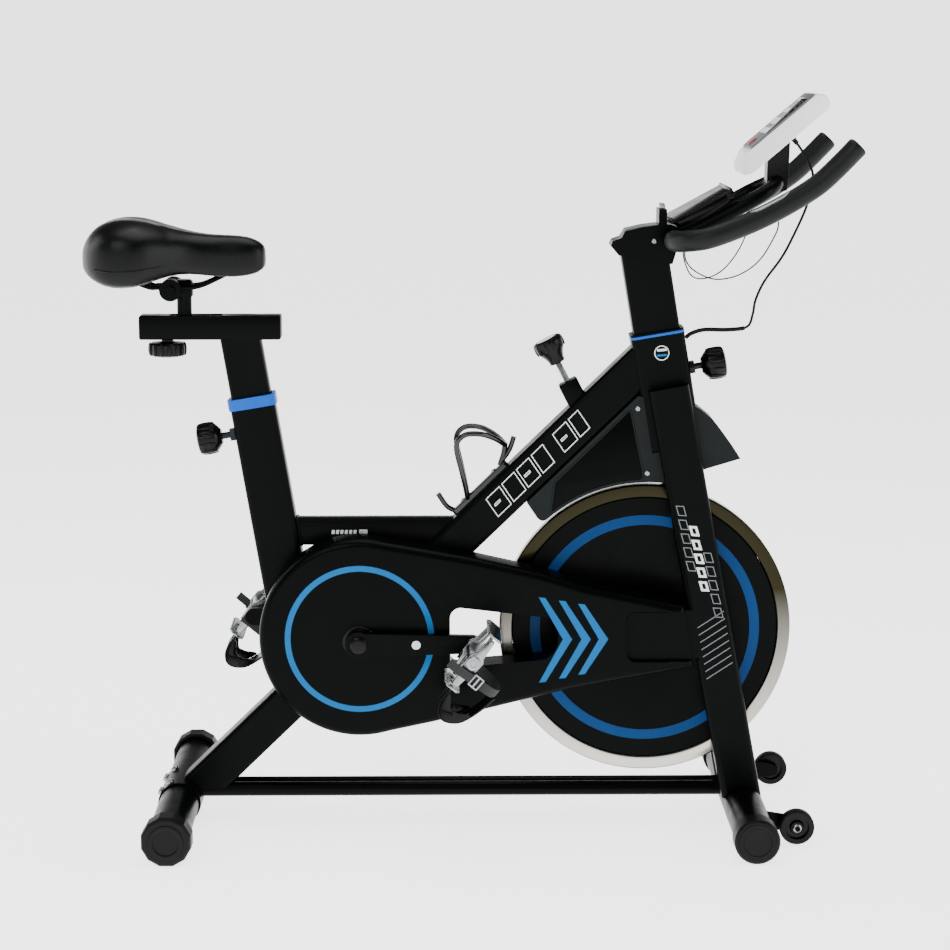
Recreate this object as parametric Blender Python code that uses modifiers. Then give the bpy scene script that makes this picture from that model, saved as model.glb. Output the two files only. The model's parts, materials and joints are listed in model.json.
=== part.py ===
"""Indoor training bike with a belt-driven flywheel, built as separate named parts.

Metres, +Z up. The front of the bike points to +X and the rider's right side to -Y.
The origin is on the floor, under the middle of the bike.
"""

import math

import bmesh
import bpy
from mathutils import Vector

# ---------------------------------------------------------------- driving dimensions
GAP = 0.0003            # between fixed pieces that touch
RUN = 0.0005            # between pieces that turn or slide in each other

CRANK_X = -0.1625
CRANK_Z = 0.2955
CRANK_LENGTH = 0.170
WHEEL_X = 0.271
WHEEL_Z = 0.2995
WHEEL_RADIUS = 0.222
WHEEL_RIM_WIDTH = 0.024
WHEEL_RIM_DEPTH = 0.020
WHEEL_WEB = 0.008

STABILIZER_LENGTH = 0.490
STABILIZER_RADIUS = 0.030
REAR_X = -0.439
REAR_CAP_APOTHEM = 0.0365
REAR_CAP_SIDES = 12
FRONT_X = 0.4206
FRONT_CAP_RADIUS = 0.0335
CAP_LENGTH = 0.034
TUBE_WALL = 0.0025

MAIN_ANGLE = math.radians(44.2)
MAIN_HEIGHT = 0.058
MAIN_WIDTH = 0.050
MAIN_Z_AT_ORIGIN = 0.4506

SEAT_TILT = math.radians(9.5)
SEAT_X_AT_TOP = -0.3210
SEAT_TOP_Z = 0.6400
SEAT_TUBE_LENGTH_X = 0.0675
SEAT_TUBE_WIDTH = 0.044
SEAT_TUBE_WALL = 0.003
SEAT_COLLAR_HEIGHT = 0.017
SEAT_POST_INSERTION = 0.175
BEAM_REAR_X = -0.489
BEAM_FRONT_X = -0.2775
BEAM_BOTTOM_Z = 0.7430
BEAM_TOP_Z = 0.7790
BEAM_WIDTH = 0.040
SADDLE_STEM_X = -0.4220
SLIDER_KNOB_X = -0.4485
SLIDER_BACK = 0.010
SLIDER_FORWARD = 0.045
SADDLE_LENGTH = 0.275
SADDLE_HALF_WIDTH = 0.102
SADDLE_TOP_Z = 0.926

HEAD_TILT = math.radians(9.5)
HEAD_X_AT_TOP = 0.2840
HEAD_TOP_Z = 0.7480
HEAD_BOTTOM_Z = 0.5800
HEAD_LENGTH_X = 0.0805
HEAD_WIDTH = 0.056
HEAD_WALL = 0.0045
HEAD_COLLAR_HEIGHT = 0.007
BAR_POST_TOP_Z = 0.8740
BAR_POST_BOTTOM_Z = 0.6250
LEG_TILT = math.radians(10.7)
LEG_WIDTH_X = 0.060
LEG_WIDTH_Y = 0.030
LEG_TOP_Z = 0.6740

TENSION_TILT = math.radians(27.0)
TENSION_X = 0.1440
TENSION_Z = 0.6920
TENSION_ROD_RADIUS = 0.005
BRAKE_PIVOT_X = 0.1580
BRAKE_PIVOT_Z = 0.5290
BRAKE_GAP = 0.0045

DRIVE_RADIUS = 0.105
PULLEY_RATIO = 3.0
BELT_THICKNESS = 0.003
BELT_WIDTH = 0.012
BELT_Y = -0.0430
COVER_INNER_Y = -0.0265
COVER_FACE_Y = -0.0800
COVER_WALL = 0.003
COVER_RADIUS = 0.1510

ARM_INNER_Y = 0.0900
ARM_THICKNESS = 0.013
PEDAL_CENTRE_Y = 0.1700
PEDAL_WIDTH = 0.096
PEDAL_LENGTH = 0.092
PEDAL_ANGLE = math.radians(230.0)

BAR_RADIUS = 0.0125
BAR_HALF_WIDTH = 0.145
GRIP_RADIUS = 0.0155
LOOP_RADIUS = 0.011
LOOP_HALF_WIDTH = 0.065
MONITOR_X = 0.4590
MONITOR_Z = 1.0480
MONITOR_ANGLE = math.radians(40.5)
MONITOR_LENGTH = 0.165
MONITOR_THICKNESS = 0.028
MONITOR_WIDTH = 0.116

WHEELED_X = 0.489
WHEELED_Z = 0.030
WHEELED_Y = 0.155
WHEELED_RADIUS = 0.026

# ---------------------------------------------------------------- derived places
MAIN_SLOPE = math.tan(MAIN_ANGLE)
LEG_X_AT_FLOOR = FRONT_X + FRONT_CAP_RADIUS * math.tan(LEG_TILT)
PULLEY_RADIUS = DRIVE_RADIUS / PULLEY_RATIO
LEG_INNER_Y = HEAD_WIDTH / 2 + GAP
LEG_Y = LEG_INNER_Y + LEG_WIDTH_Y / 2
BRACKET_THICKNESS = 0.006
BRACKET_OUTER_Y = LEG_INNER_Y + LEG_WIDTH_Y
BRACKET_INNER_Y = BRACKET_OUTER_Y - BRACKET_THICKNESS
REAR_Z = REAR_CAP_APOTHEM
FRONT_Z = FRONT_CAP_RADIUS
BASE_TUBE_RADIUS = 0.011
BASE_TUBE_Y = BASE_TUBE_RADIUS + 0.003
BASE_TUBE_Z = REAR_Z + 0.012


def clear_scene():
    """Empties the start-up scene."""
    for obj in list(bpy.data.objects):
        bpy.data.objects.remove(obj, do_unlink=True)


clear_scene()
PARTS = bpy.data.collections.new("exercise_bike")
CUTTERS = bpy.data.collections.new("cutters")
bpy.context.scene.collection.children.link(PARTS)
bpy.context.scene.collection.children.link(CUTTERS)
CUTTERS.hide_render = True


# ---------------------------------------------------------------- materials
def material(name, colour, roughness, metallic):
    """A Principled material."""
    made = bpy.data.materials.new(name)
    made.use_nodes = True
    shader = made.node_tree.nodes["Principled BSDF"]
    shader.inputs["Base Color"].default_value = (*colour, 1.0)
    shader.inputs["Roughness"].default_value = roughness
    shader.inputs["Metallic"].default_value = metallic
    made.diffuse_color = (*colour, 1.0)
    return made


POWDER = (0.012, 0.014, 0.015)
PLASTIC = (0.018, 0.019, 0.020)
RUBBER = (0.020, 0.020, 0.021)
STEEL = (0.56, 0.56, 0.55)
BLUE = (0.004, 0.200, 0.740)
WHITE = (0.80, 0.80, 0.78)


# ---------------------------------------------------------------- shape helpers
def add(name, mesh, collection=PARTS):
    """A new object with this mesh, linked to the collection."""
    obj = bpy.data.objects.new(name, mesh)
    collection.objects.link(obj)
    return obj


def place(obj, location=(0, 0, 0), rotation=(0, 0, 0)):
    """Moves and turns an object, and returns it."""
    obj.location = location
    obj.rotation_euler = rotation
    return obj


def finish(obj, look, smooth=False):
    """Gives a finished part its own material and its shading."""
    colour, roughness, metallic = look
    obj.data.materials.clear()
    obj.data.materials.append(material(obj.name, colour, roughness, metallic))
    for polygon in obj.data.polygons:
        polygon.use_smooth = smooth
    return obj


def box(name, size, location=(0, 0, 0), rotation=(0, 0, 0), bevel=0.0, segments=2, collection=PARTS):
    """A block centred on its origin, with rounded edges where bevel is above zero."""
    mesh = bpy.data.meshes.new(name)
    work = bmesh.new()
    bmesh.ops.create_cube(work, size=1.0)
    bmesh.ops.scale(work, vec=size, verts=work.verts)
    work.to_mesh(mesh)
    work.free()
    obj = place(add(name, mesh, collection), location, rotation)
    if bevel > 0:
        edge = obj.modifiers.new("edges", "BEVEL")
        edge.width = bevel
        edge.segments = segments
        edge.limit_method = "ANGLE"
    return obj


def cylinder(name, radius, length, location=(0, 0, 0), rotation=(0, 0, 0), sides=24, collection=PARTS):
    """A closed cylinder along its own Z, centred on its origin."""
    mesh = bpy.data.meshes.new(name)
    work = bmesh.new()
    bmesh.ops.create_cone(work, cap_ends=True, segments=sides, radius1=radius, radius2=radius, depth=length)
    work.to_mesh(mesh)
    work.free()
    return place(add(name, mesh, collection), location, rotation)


def turned(name, profile, location=(0, 0, 0), rotation=(0, 0, 0), sides=32, collection=PARTS):
    """A turned solid about its own Z. The profile is (radius, height), running down the outer side."""
    mesh = bpy.data.meshes.new(name)
    work = bmesh.new()
    points = [work.verts.new((radius, 0.0, height)) for radius, height in profile]
    for first, second in zip(points, points[1:]):
        work.edges.new((first, second))
    if profile[0][0] > 0:
        work.edges.new((points[-1], points[0]))
    work.to_mesh(mesh)
    work.free()
    obj = place(add(name, mesh, collection), location, rotation)
    screw = obj.modifiers.new("turned", "SCREW")
    screw.axis = "Z"
    screw.steps = sides
    screw.render_steps = sides
    screw.use_merge_vertices = True
    screw.merge_threshold = 0.00005
    screw.use_normal_calculate = False
    return obj


def solid_from_curve(name, curve, collection):
    """Turns a curve into one welded mesh object."""
    source = bpy.data.objects.new(name + "_curve", curve)
    bpy.context.scene.collection.objects.link(source)
    bpy.context.view_layer.update()
    graph = bpy.context.evaluated_depsgraph_get()
    mesh = bpy.data.meshes.new_from_object(source.evaluated_get(graph))
    mesh.name = name
    bpy.data.objects.remove(source, do_unlink=True)
    work = bmesh.new()
    work.from_mesh(mesh)
    bmesh.ops.remove_doubles(work, verts=work.verts, dist=0.00002)
    bmesh.ops.recalc_face_normals(work, faces=work.faces)
    work.to_mesh(mesh)
    work.free()
    mesh.materials.clear()
    return add(name, mesh, collection)


def prism(name, loops, depth, location=(0, 0, 0), rotation=(0, 0, 0), collection=PARTS):
    """A flat outline, with any holes, made thick along its own Z and centred on it."""
    curve = bpy.data.curves.new(name, "CURVE")
    curve.dimensions = "2D"
    curve.fill_mode = "BOTH"
    curve.extrude = depth / 2
    for loop in loops:
        spline = curve.splines.new("POLY")
        spline.points.add(len(loop) - 1)
        for point, (across, along) in zip(spline.points, loop):
            point.co = (across, along, 0.0, 1.0)
        spline.use_cyclic_u = True
    return place(solid_from_curve(name, curve, collection), location, rotation)


def side_prism(name, loops, y_low, y_high, collection=PARTS):
    """A prism whose outline is given in world X and Z, between two Y values."""
    middle = (0.0, (y_low + y_high) / 2, 0.0)
    return prism(name, loops, y_high - y_low, middle, (math.pi / 2, 0, 0), collection)


def pipe(name, points, radius, resolution=3, cyclic=False, collection=PARTS):
    """A round bar along points, closed at both ends."""
    curve = bpy.data.curves.new(name, "CURVE")
    curve.dimensions = "3D"
    curve.bevel_depth = radius
    curve.bevel_resolution = resolution
    curve.use_fill_caps = not cyclic
    spline = curve.splines.new("POLY")
    spline.points.add(len(points) - 1)
    for point, place_at in zip(spline.points, points):
        point.co = (*place_at, 1.0)
    spline.use_cyclic_u = cyclic
    return solid_from_curve(name, curve, collection)


def smooth_path(route, spacing):
    """Points at an even spacing on a smooth curve through the route points."""
    route = [Vector(point) for point in route]
    ends = [route[0] * 2 - route[1]] + route + [route[-1] * 2 - route[-2]]
    fine = []
    for index in range(1, len(ends) - 2):
        before, start, end, after = ends[index - 1:index + 3]
        for step in range(40):
            t = step / 40
            fine.append(0.5 * (2 * start + (end - before) * t
                               + (2 * before - 5 * start + 4 * end - after) * t * t
                               + (3 * start - before - 3 * end + after) * t * t * t))
    fine.append(route[-1])
    total = sum((b - a).length for a, b in zip(fine, fine[1:]))
    count = max(2, round(total / spacing))
    points = [fine[0]]
    walked = 0.0
    target = total / count
    for a, b in zip(fine, fine[1:]):
        length = (b - a).length
        while walked + length >= target * len(points) and len(points) < count:
            share = (target * len(points) - walked) / length
            points.append(a.lerp(b, share))
        walked += length
    points.append(fine[-1])
    return points


def combine(target, other, operation):
    """Adds an exact Boolean of another object, which goes to the cutters."""
    if other.name in PARTS.objects:
        PARTS.objects.unlink(other)
        CUTTERS.objects.link(other)
    other.hide_render = True
    other.display_type = "WIRE"
    step = target.modifiers.new(operation.lower(), "BOOLEAN")
    step.operation = operation
    step.solver = "EXACT"
    step.object = other
    return target


def cut(target, *others):
    """Takes other objects away from the target."""
    for other in others:
        combine(target, other, "DIFFERENCE")
    return target


def join(target, *others):
    """Adds other objects to the target."""
    for other in others:
        combine(target, other, "UNION")
    return target


def rounded(width, height, radius, steps=3):
    """A rectangle outline with rounded corners, centred on zero."""
    points = []
    for centre_x, centre_y, start in ((1, 1, 0), (-1, 1, 90), (-1, -1, 180), (1, -1, 270)):
        for step in range(steps + 1):
            angle = math.radians(start + 90 * step / steps)
            points.append((centre_x * (width / 2 - radius) + radius * math.cos(angle),
                           centre_y * (height / 2 - radius) + radius * math.sin(angle)))
    return points


def circle(radius, sides=24, centre=(0.0, 0.0)):
    """A circle outline."""
    points = []
    for side in range(sides):
        angle = 2 * math.pi * side / sides
        points.append((centre[0] + radius * math.cos(angle), centre[1] + radius * math.sin(angle)))
    return points


def arc(centre, radius, start, end, steps):
    """Points on an arc, both ends in degrees."""
    points = []
    for step in range(steps + 1):
        angle = math.radians(start + (end - start) * step / steps)
        points.append((centre[0] + radius * math.cos(angle), centre[1] + radius * math.sin(angle)))
    return points


def along(angle):
    """Rotation that lays an object's own Z along a direction in the XZ plane, from +X upwards."""
    return (0.0, math.pi / 2 - angle, 0.0)


ACROSS = (math.pi / 2, 0.0, 0.0)


def bar_between(name, low, high, outlines, collection=PARTS):
    """A straight bar from low to high in the XZ plane, with its outline (across, Y)."""
    run = high[0] - low[0]
    rise = high[1] - low[1]
    length = math.hypot(run, rise)
    middle = ((low[0] + high[0]) / 2, 0.0, (low[1] + high[1]) / 2)
    return prism(name, outlines, length, middle, along(math.atan2(rise, run)), collection)


def seat_point(height):
    """The point of the seat tube's axis at this height."""
    return (SEAT_X_AT_TOP + (SEAT_TOP_Z - height) * math.tan(SEAT_TILT), height)


def head_point(height):
    """The point of the head tube's axis at this height."""
    return (HEAD_X_AT_TOP + (HEAD_TOP_Z + 0.0045 - height) * math.tan(HEAD_TILT), height)


def leg_point(height):
    """The point of the fork legs' axis at this height."""
    return (LEG_X_AT_FLOOR - height * math.tan(LEG_TILT), height)


def main_point(x):
    """The point of the main tube's axis at this X."""
    return (x, MAIN_Z_AT_ORIGIN + x * MAIN_SLOPE)


def tension_point(distance):
    """The point of the tension rod's axis at this distance below its knob end."""
    return (TENSION_X + distance * math.sin(TENSION_TILT), TENSION_Z - distance * math.cos(TENSION_TILT))


TENSION_ROTATION = (0.0, -TENSION_TILT, 0.0)

LOOK_POWDER = (POWDER, 0.42, 0.0)
LOOK_PLASTIC = (PLASTIC, 0.38, 0.0)
LOOK_RUBBER = (RUBBER, 0.70, 0.0)
LOOK_STEEL = (STEEL, 0.30, 1.0)
LOOK_BLUE = (BLUE, 0.40, 0.0)
LOOK_WHITE = (WHITE, 0.45, 0.0)


def member(name, low, high, section, wall, collection=PARTS):
    """A rectangular steel tube, open at both ends. The section is (across, along Y, corner radius)."""
    across, wide, corner = section
    outer = rounded(across, wide, corner)
    inner = rounded(across - 2 * wall, wide - 2 * wall, max(corner - wall, 0.0008))
    return bar_between(name, low, high, [outer, inner], collection)


def solid_member(name, low, high, section, grow, collection=CUTTERS):
    """The filled outline of a tube grown by a little, for cutting the tubes that meet it."""
    across, wide, corner = section
    return bar_between(name, low, high, [rounded(across + 2 * grow, wide + 2 * grow, corner + grow)], collection)


MAIN_SECTION = (MAIN_HEIGHT, MAIN_WIDTH, 0.007)
SEAT_SECTION = (SEAT_TUBE_LENGTH_X, SEAT_TUBE_WIDTH, 0.009)
HEAD_SECTION = (HEAD_LENGTH_X, HEAD_WIDTH, 0.0085)
LEG_SECTION = (LEG_WIDTH_X, LEG_WIDTH_Y, 0.008)


def filled_main(name, grow=GAP):
    """The main tube's outline for cutting its neighbours."""
    return solid_member(name, main_point(-0.46), main_point(0.30), MAIN_SECTION, grow)


def filled_head(name, grow=GAP):
    """The head tube's outline for cutting its neighbours."""
    return solid_member(name, head_point(HEAD_BOTTOM_Z - grow), head_point(HEAD_TOP_Z), HEAD_SECTION, grow)


def filled_stabilizer(name, x, z):
    """A stabilizer's outline for cutting its neighbours."""
    return cylinder(name, STABILIZER_RADIUS + GAP, 0.3, (x, 0, z), ACROSS, 48, CUTTERS)


# ---------------------------------------------------------------- frame
def build_stabilizer(name, x, z):
    """A cross tube on the floor."""
    outline = [circle(STABILIZER_RADIUS, 32), circle(STABILIZER_RADIUS - TUBE_WALL, 16)]
    length = STABILIZER_LENGTH - 0.012
    return finish(prism(name, outline, length, (x, 0, z), ACROSS), LOOK_POWDER, True)


def build_wheel_bracket(side):
    """The plate that holds a transport wheel, as a solid to be joined to the front cross tube."""
    y = side * (WHEELED_Y - 0.016)
    plate = [
        (FRONT_X + 0.020, FRONT_Z + 0.016),
        (FRONT_X + 0.020, FRONT_Z - 0.014),
        (WHEELED_X - 0.004, WHEELED_Z - 0.010),
        (WHEELED_X + 0.009, WHEELED_Z - 0.006),
        (WHEELED_X + 0.010, WHEELED_Z + 0.006),
        (WHEELED_X - 0.002, WHEELED_Z + 0.012),
    ]
    solid = side_prism("bracket_%d" % side, [plate], y - 0.002, y + 0.002)
    pin = cylinder("wheel_pin_%d" % side, 0.004, 0.034, (WHEELED_X, side * (WHEELED_Y - 0.001), WHEELED_Z), ACROSS, 16)
    return [solid, pin]


build_stabilizer("rear_stabilizer", REAR_X, REAR_Z)
front_stabilizer = build_stabilizer("front_stabilizer", FRONT_X, FRONT_Z)
for wheel_side in (-1, 1):
    join(front_stabilizer, *build_wheel_bracket(wheel_side))


def cap_profile(outer, sides):
    """Half section of a cap pushed over a cross tube's end, closed end upwards."""
    bore = (STABILIZER_RADIUS + GAP) / math.cos(math.pi / sides)
    chamfer = 0.003
    return [
        (0.0, CAP_LENGTH),
        (outer - chamfer, CAP_LENGTH),
        (outer, CAP_LENGTH - chamfer),
        (outer, 0.0),
        (bore, 0.0),
        (bore, CAP_LENGTH - 0.006 + GAP),
        (0.0, CAP_LENGTH - 0.006 + GAP),
    ]


def build_cap(name, x, z, side, apothem, sides, smooth):
    """An end cap of a cross tube."""
    outer = apothem / math.cos(math.pi / sides)
    start = side * (STABILIZER_LENGTH / 2 - CAP_LENGTH)
    turn = math.radians(90 + 180 / sides)
    cap = turned(name, cap_profile(outer, sides), (x, start, z), (-side * math.pi / 2, 0, 0), sides)
    for vertex in cap.data.vertices:
        radius = vertex.co.x
        vertex.co.x = radius * math.cos(turn)
        vertex.co.y = radius * math.sin(turn)
    return finish(cap, LOOK_RUBBER, smooth)


for label, side in (("right", -1), ("left", 1)):
    build_cap("rear_cap_" + label, REAR_X, REAR_Z, side, REAR_CAP_APOTHEM, REAR_CAP_SIDES, False)
    build_cap("front_cap_" + label, FRONT_X, FRONT_Z, side, FRONT_CAP_RADIUS, 32, True)
    wheel_profile = [
        (WHEELED_RADIUS - 0.002, 0.009),
        (WHEELED_RADIUS, 0.006),
        (WHEELED_RADIUS, -0.006),
        (WHEELED_RADIUS - 0.002, -0.009),
        (0.004 + RUN, -0.009),
        (0.004 + RUN, 0.009),
    ]
    wheel = turned("transport_wheel_" + label, wheel_profile, (WHEELED_X, side * WHEELED_Y, WHEELED_Z), ACROSS, 20)
    finish(wheel, LOOK_RUBBER, True)

# base tubes
for label, side in (("right", -1), ("left", 1)):
    base_outline = [circle(BASE_TUBE_RADIUS, 20), circle(BASE_TUBE_RADIUS - 0.0015, 12)]
    base = bar_between("base_tube_" + label, (REAR_X, BASE_TUBE_Z), (FRONT_X, BASE_TUBE_Z), base_outline)
    base.location.y = side * BASE_TUBE_Y
    cut(base, filled_stabilizer("rear_end_" + label, REAR_X, REAR_Z),
        filled_stabilizer("front_end_" + label, FRONT_X, FRONT_Z))
    finish(base, LOOK_POWDER, True)

# main tube, with the crank shell, the cable-side boss and the holes through it
MAIN_LOW_X = REAR_X - 0.004
MAIN_HIGH_X = head_point(HEAD_TOP_Z)[0] - 0.015
main_tube = member("main_tube", main_point(MAIN_LOW_X), main_point(MAIN_HIGH_X), MAIN_SECTION, TUBE_WALL)
SHELL_RADIUS = 0.021
SHELL_HALF = 0.0345
AXLE_RADIUS = 0.0085
join(main_tube, cylinder("crank_shell", SHELL_RADIUS, 2 * SHELL_HALF, (CRANK_X, 0, CRANK_Z), ACROSS, 32))
BOSS_TOP = 0.015
BOSS_BOTTOM = 0.094
boss_middle = tension_point((BOSS_TOP + BOSS_BOTTOM) / 2)
boss = box("tension_boss", (0.030, 0.030, BOSS_BOTTOM - BOSS_TOP), (boss_middle[0], 0, boss_middle[1]),
           TENSION_ROTATION, 0.003)
join(main_tube, boss)
cut(main_tube,
    cylinder("axle_bore", AXLE_RADIUS + RUN, 0.1, (CRANK_X, 0, CRANK_Z), ACROSS, 24, CUTTERS),
    filled_head("main_head_end"),
    filled_stabilizer("main_rear_end", REAR_X, REAR_Z),
    box("main_foot", (0.30, 0.10, 0.06), (REAR_X + 0.10, 0, BASE_TUBE_Z - 0.03), collection=CUTTERS))
for side in (-1, 1):
    base_cutter = cylinder("main_base_%d" % side, BASE_TUBE_RADIUS + GAP, 0.4, (REAR_X + 0.15, side * BASE_TUBE_Y,
                           BASE_TUBE_Z), (0, math.pi / 2, 0), 28, CUTTERS)
    cut(main_tube, base_cutter)
rod_middle = tension_point(0.09)
cut(main_tube, cylinder("rod_bore", TENSION_ROD_RADIUS + RUN, 0.26, (rod_middle[0], 0, rod_middle[1]),
                        TENSION_ROTATION, 20, CUTTERS))
finish(main_tube, LOOK_POWDER)

# seat tube and its collar
PIN_RADIUS = 0.005
SEAT_PIN_Z = 0.6045
seat_low = seat_point(0.215)
seat_tube = member("seat_tube", seat_low, seat_point(SEAT_TOP_Z), SEAT_SECTION, SEAT_TUBE_WALL)
seat_pin_at = seat_point(SEAT_PIN_Z)
seat_pin_direction = math.pi + SEAT_TILT
cut(seat_tube,
    filled_main("seat_main_end"),
    cylinder("seat_pin_bore", PIN_RADIUS + RUN, 0.06,
             (seat_pin_at[0] - 0.035 * math.cos(SEAT_TILT), 0, seat_pin_at[1] - 0.035 * math.sin(SEAT_TILT)),
             along(seat_pin_direction), 16, CUTTERS))
finish(seat_tube, LOOK_POWDER)

POST_ACROSS = SEAT_TUBE_LENGTH_X - 2 * SEAT_TUBE_WALL - 0.0016
POST_WIDE = SEAT_TUBE_WIDTH - 2 * SEAT_TUBE_WALL - 0.0016


def collar(name, point, tilt, height, outer, inner):
    """A plastic ring that stands on a tube's open top."""
    middle = (point[0] - (height / 2 + GAP) * math.sin(tilt), 0, point[1] + (height / 2 + GAP) * math.cos(tilt))
    loops = [rounded(*outer), rounded(*inner)]
    ring = prism(name, loops, height, middle, (0, -tilt, 0))
    return finish(ring, LOOK_BLUE)


collar("seat_tube_collar", seat_point(SEAT_TOP_Z), SEAT_TILT, SEAT_COLLAR_HEIGHT,
       (SEAT_TUBE_LENGTH_X + 0.005, SEAT_TUBE_WIDTH + 0.005, 0.010),
       (POST_ACROSS + 0.0012, POST_WIDE + 0.0012, 0.006))

# top tube between the seat tube and the main tube
TOP_TUBE_HEIGHT = 0.042
TOP_TUBE_WIDTH = 0.030
TOP_TUBE_Z = 0.4505
TOP_SECTION = (TOP_TUBE_HEIGHT, TOP_TUBE_WIDTH, 0.006)
TOP_TUBE_END_X = (TOP_TUBE_Z - MAIN_Z_AT_ORIGIN) / MAIN_SLOPE + 0.005
top_tube = member("top_tube", (seat_point(TOP_TUBE_Z)[0], TOP_TUBE_Z), (TOP_TUBE_END_X, TOP_TUBE_Z),
                  TOP_SECTION, 0.002)
cut(top_tube,
    solid_member("top_seat_end", seat_point(0.30), seat_point(0.60), SEAT_SECTION, GAP),
    filled_main("top_main_end"))
finish(top_tube, LOOK_POWDER)

# head tube and its collar
HEAD_PIN_Z = 0.692
head_tube = member("head_tube", head_point(HEAD_BOTTOM_Z), head_point(HEAD_TOP_Z), HEAD_SECTION, HEAD_WALL)
head_pin_at = head_point(HEAD_PIN_Z)
cut(head_tube,
    cylinder("head_pin_bore", PIN_RADIUS + RUN, 0.06,
             (head_pin_at[0] + 0.040 * math.cos(HEAD_TILT), 0, head_pin_at[1] + 0.040 * math.sin(HEAD_TILT)),
             along(HEAD_TILT), 16, CUTTERS))
finish(head_tube, LOOK_POWDER)
BAR_POST_ACROSS = HEAD_LENGTH_X - 2 * HEAD_WALL - 0.0016
BAR_POST_WIDE = HEAD_WIDTH - 2 * HEAD_WALL - 0.0016
collar("head_tube_collar", head_point(HEAD_TOP_Z), HEAD_TILT, HEAD_COLLAR_HEIGHT,
       (HEAD_LENGTH_X + 0.001, HEAD_WIDTH + 0.001, 0.009),
       (BAR_POST_ACROSS + 0.0012, BAR_POST_WIDE + 0.0012, 0.005))

# fork legs, each with the bracket that holds one end of the flywheel axle
AXLE_WHEEL_RADIUS = 0.0075
BRACKET_OUTLINE = [
    (WHEEL_X - 0.030, WHEEL_Z + 0.022),
    (WHEEL_X - 0.030, WHEEL_Z - 0.022),
    (WHEEL_X - 0.018, WHEEL_Z - 0.036),
    (WHEEL_X + 0.110, WHEEL_Z - 0.036),
    (WHEEL_X + 0.110, WHEEL_Z + 0.038),
    (WHEEL_X - 0.018, WHEEL_Z + 0.038),
]
for label, side in (("right", -1), ("left", 1)):
    leg = member("fork_leg_" + label, leg_point(FRONT_Z), leg_point(LEG_TOP_Z), LEG_SECTION, TUBE_WALL)
    leg.location.y = side * LEG_Y
    y_values = sorted((side * BRACKET_INNER_Y, side * BRACKET_OUTER_Y))
    bracket = side_prism("axle_bracket_" + label, [BRACKET_OUTLINE], y_values[0], y_values[1])
    join(leg, bracket)
    cut(leg,
        filled_stabilizer("leg_foot_" + label, FRONT_X, FRONT_Z),
        box("leg_below_" + label, (0.12, 0.08, 0.05), (FRONT_X, side * LEG_Y, FRONT_Z - 0.015), collection=CUTTERS),
        cylinder("leg_axle_" + label, AXLE_WHEEL_RADIUS + GAP, 0.04, (WHEEL_X, side * BRACKET_INNER_Y, WHEEL_Z),
                 ACROSS, 20, CUTTERS))
    finish(leg, LOOK_POWDER)

AXLE_HALF = BRACKET_OUTER_Y + 0.0075
axle = cylinder("flywheel_axle", AXLE_WHEEL_RADIUS, 2 * AXLE_HALF, (WHEEL_X, 0, WHEEL_Z), ACROSS, 20)
finish(axle, LOOK_STEEL, True)

# flywheel and its pulley
HUB_RADIUS = 0.024
HUB_HALF = 0.0255
web_radius = WHEEL_RADIUS - WHEEL_RIM_DEPTH
flywheel_profile = [
    (HUB_RADIUS, HUB_HALF),
    (HUB_RADIUS, WHEEL_WEB / 2),
    (web_radius, WHEEL_WEB / 2),
    (web_radius, WHEEL_RIM_WIDTH / 2),
    (WHEEL_RADIUS - 0.0015, WHEEL_RIM_WIDTH / 2),
    (WHEEL_RADIUS, WHEEL_RIM_WIDTH / 2 - 0.0015),
    (WHEEL_RADIUS, -WHEEL_RIM_WIDTH / 2 + 0.0015),
    (WHEEL_RADIUS - 0.0015, -WHEEL_RIM_WIDTH / 2),
    (web_radius, -WHEEL_RIM_WIDTH / 2),
    (web_radius, -WHEEL_WEB / 2),
    (HUB_RADIUS, -WHEEL_WEB / 2),
    (HUB_RADIUS, -HUB_HALF),
    (AXLE_WHEEL_RADIUS + RUN, -HUB_HALF),
    (AXLE_WHEEL_RADIUS + RUN, HUB_HALF),
]
flywheel = turned("flywheel", flywheel_profile, (WHEEL_X, 0, WHEEL_Z), ACROSS, 64)
finish(flywheel, (STEEL, 0.22, 1.0), True)

BELT_INNER = abs(BELT_Y) - BELT_WIDTH / 2
BELT_OUTER = abs(BELT_Y) + BELT_WIDTH / 2


def pulley_profile(radius, bore, hub, web, hub_inner, hub_outer):
    """Half section of a pulley about the belt's middle plane, +Z towards -Y."""
    half = BELT_WIDTH / 2 + 0.0005
    return [
        (hub, hub_outer),
        (hub, web / 2),
        (radius - 0.006, web / 2),
        (radius - 0.006, half),
        (radius, half),
        (radius, -half),
        (radius - 0.006, -half),
        (radius - 0.006, -web / 2),
        (hub, -web / 2),
        (hub, -hub_inner),
        (bore, -hub_inner),
        (bore, hub_outer),
    ]


small_hub_inner = abs(BELT_Y) - HUB_HALF - GAP
small = pulley_profile(PULLEY_RADIUS, AXLE_WHEEL_RADIUS + RUN, 0.018, 0.006, small_hub_inner, 0.0085)
finish(turned("flywheel_pulley", small, (WHEEL_X, BELT_Y, WHEEL_Z), ACROSS, 28), LOOK_STEEL, True)
large = pulley_profile(DRIVE_RADIUS, AXLE_RADIUS + GAP, 0.020, 0.005, 0.0075, 0.012)
finish(turned("drive_pulley", large, (CRANK_X, BELT_Y, CRANK_Z), ACROSS, 44), LOOK_PLASTIC, True)

centre_run = math.hypot(WHEEL_X - CRANK_X, WHEEL_Z - CRANK_Z)
centre_angle = math.degrees(math.atan2(WHEEL_Z - CRANK_Z, WHEEL_X - CRANK_X))
wrap_angle = math.degrees(math.acos((DRIVE_RADIUS - PULLEY_RADIUS) / centre_run))


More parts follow.
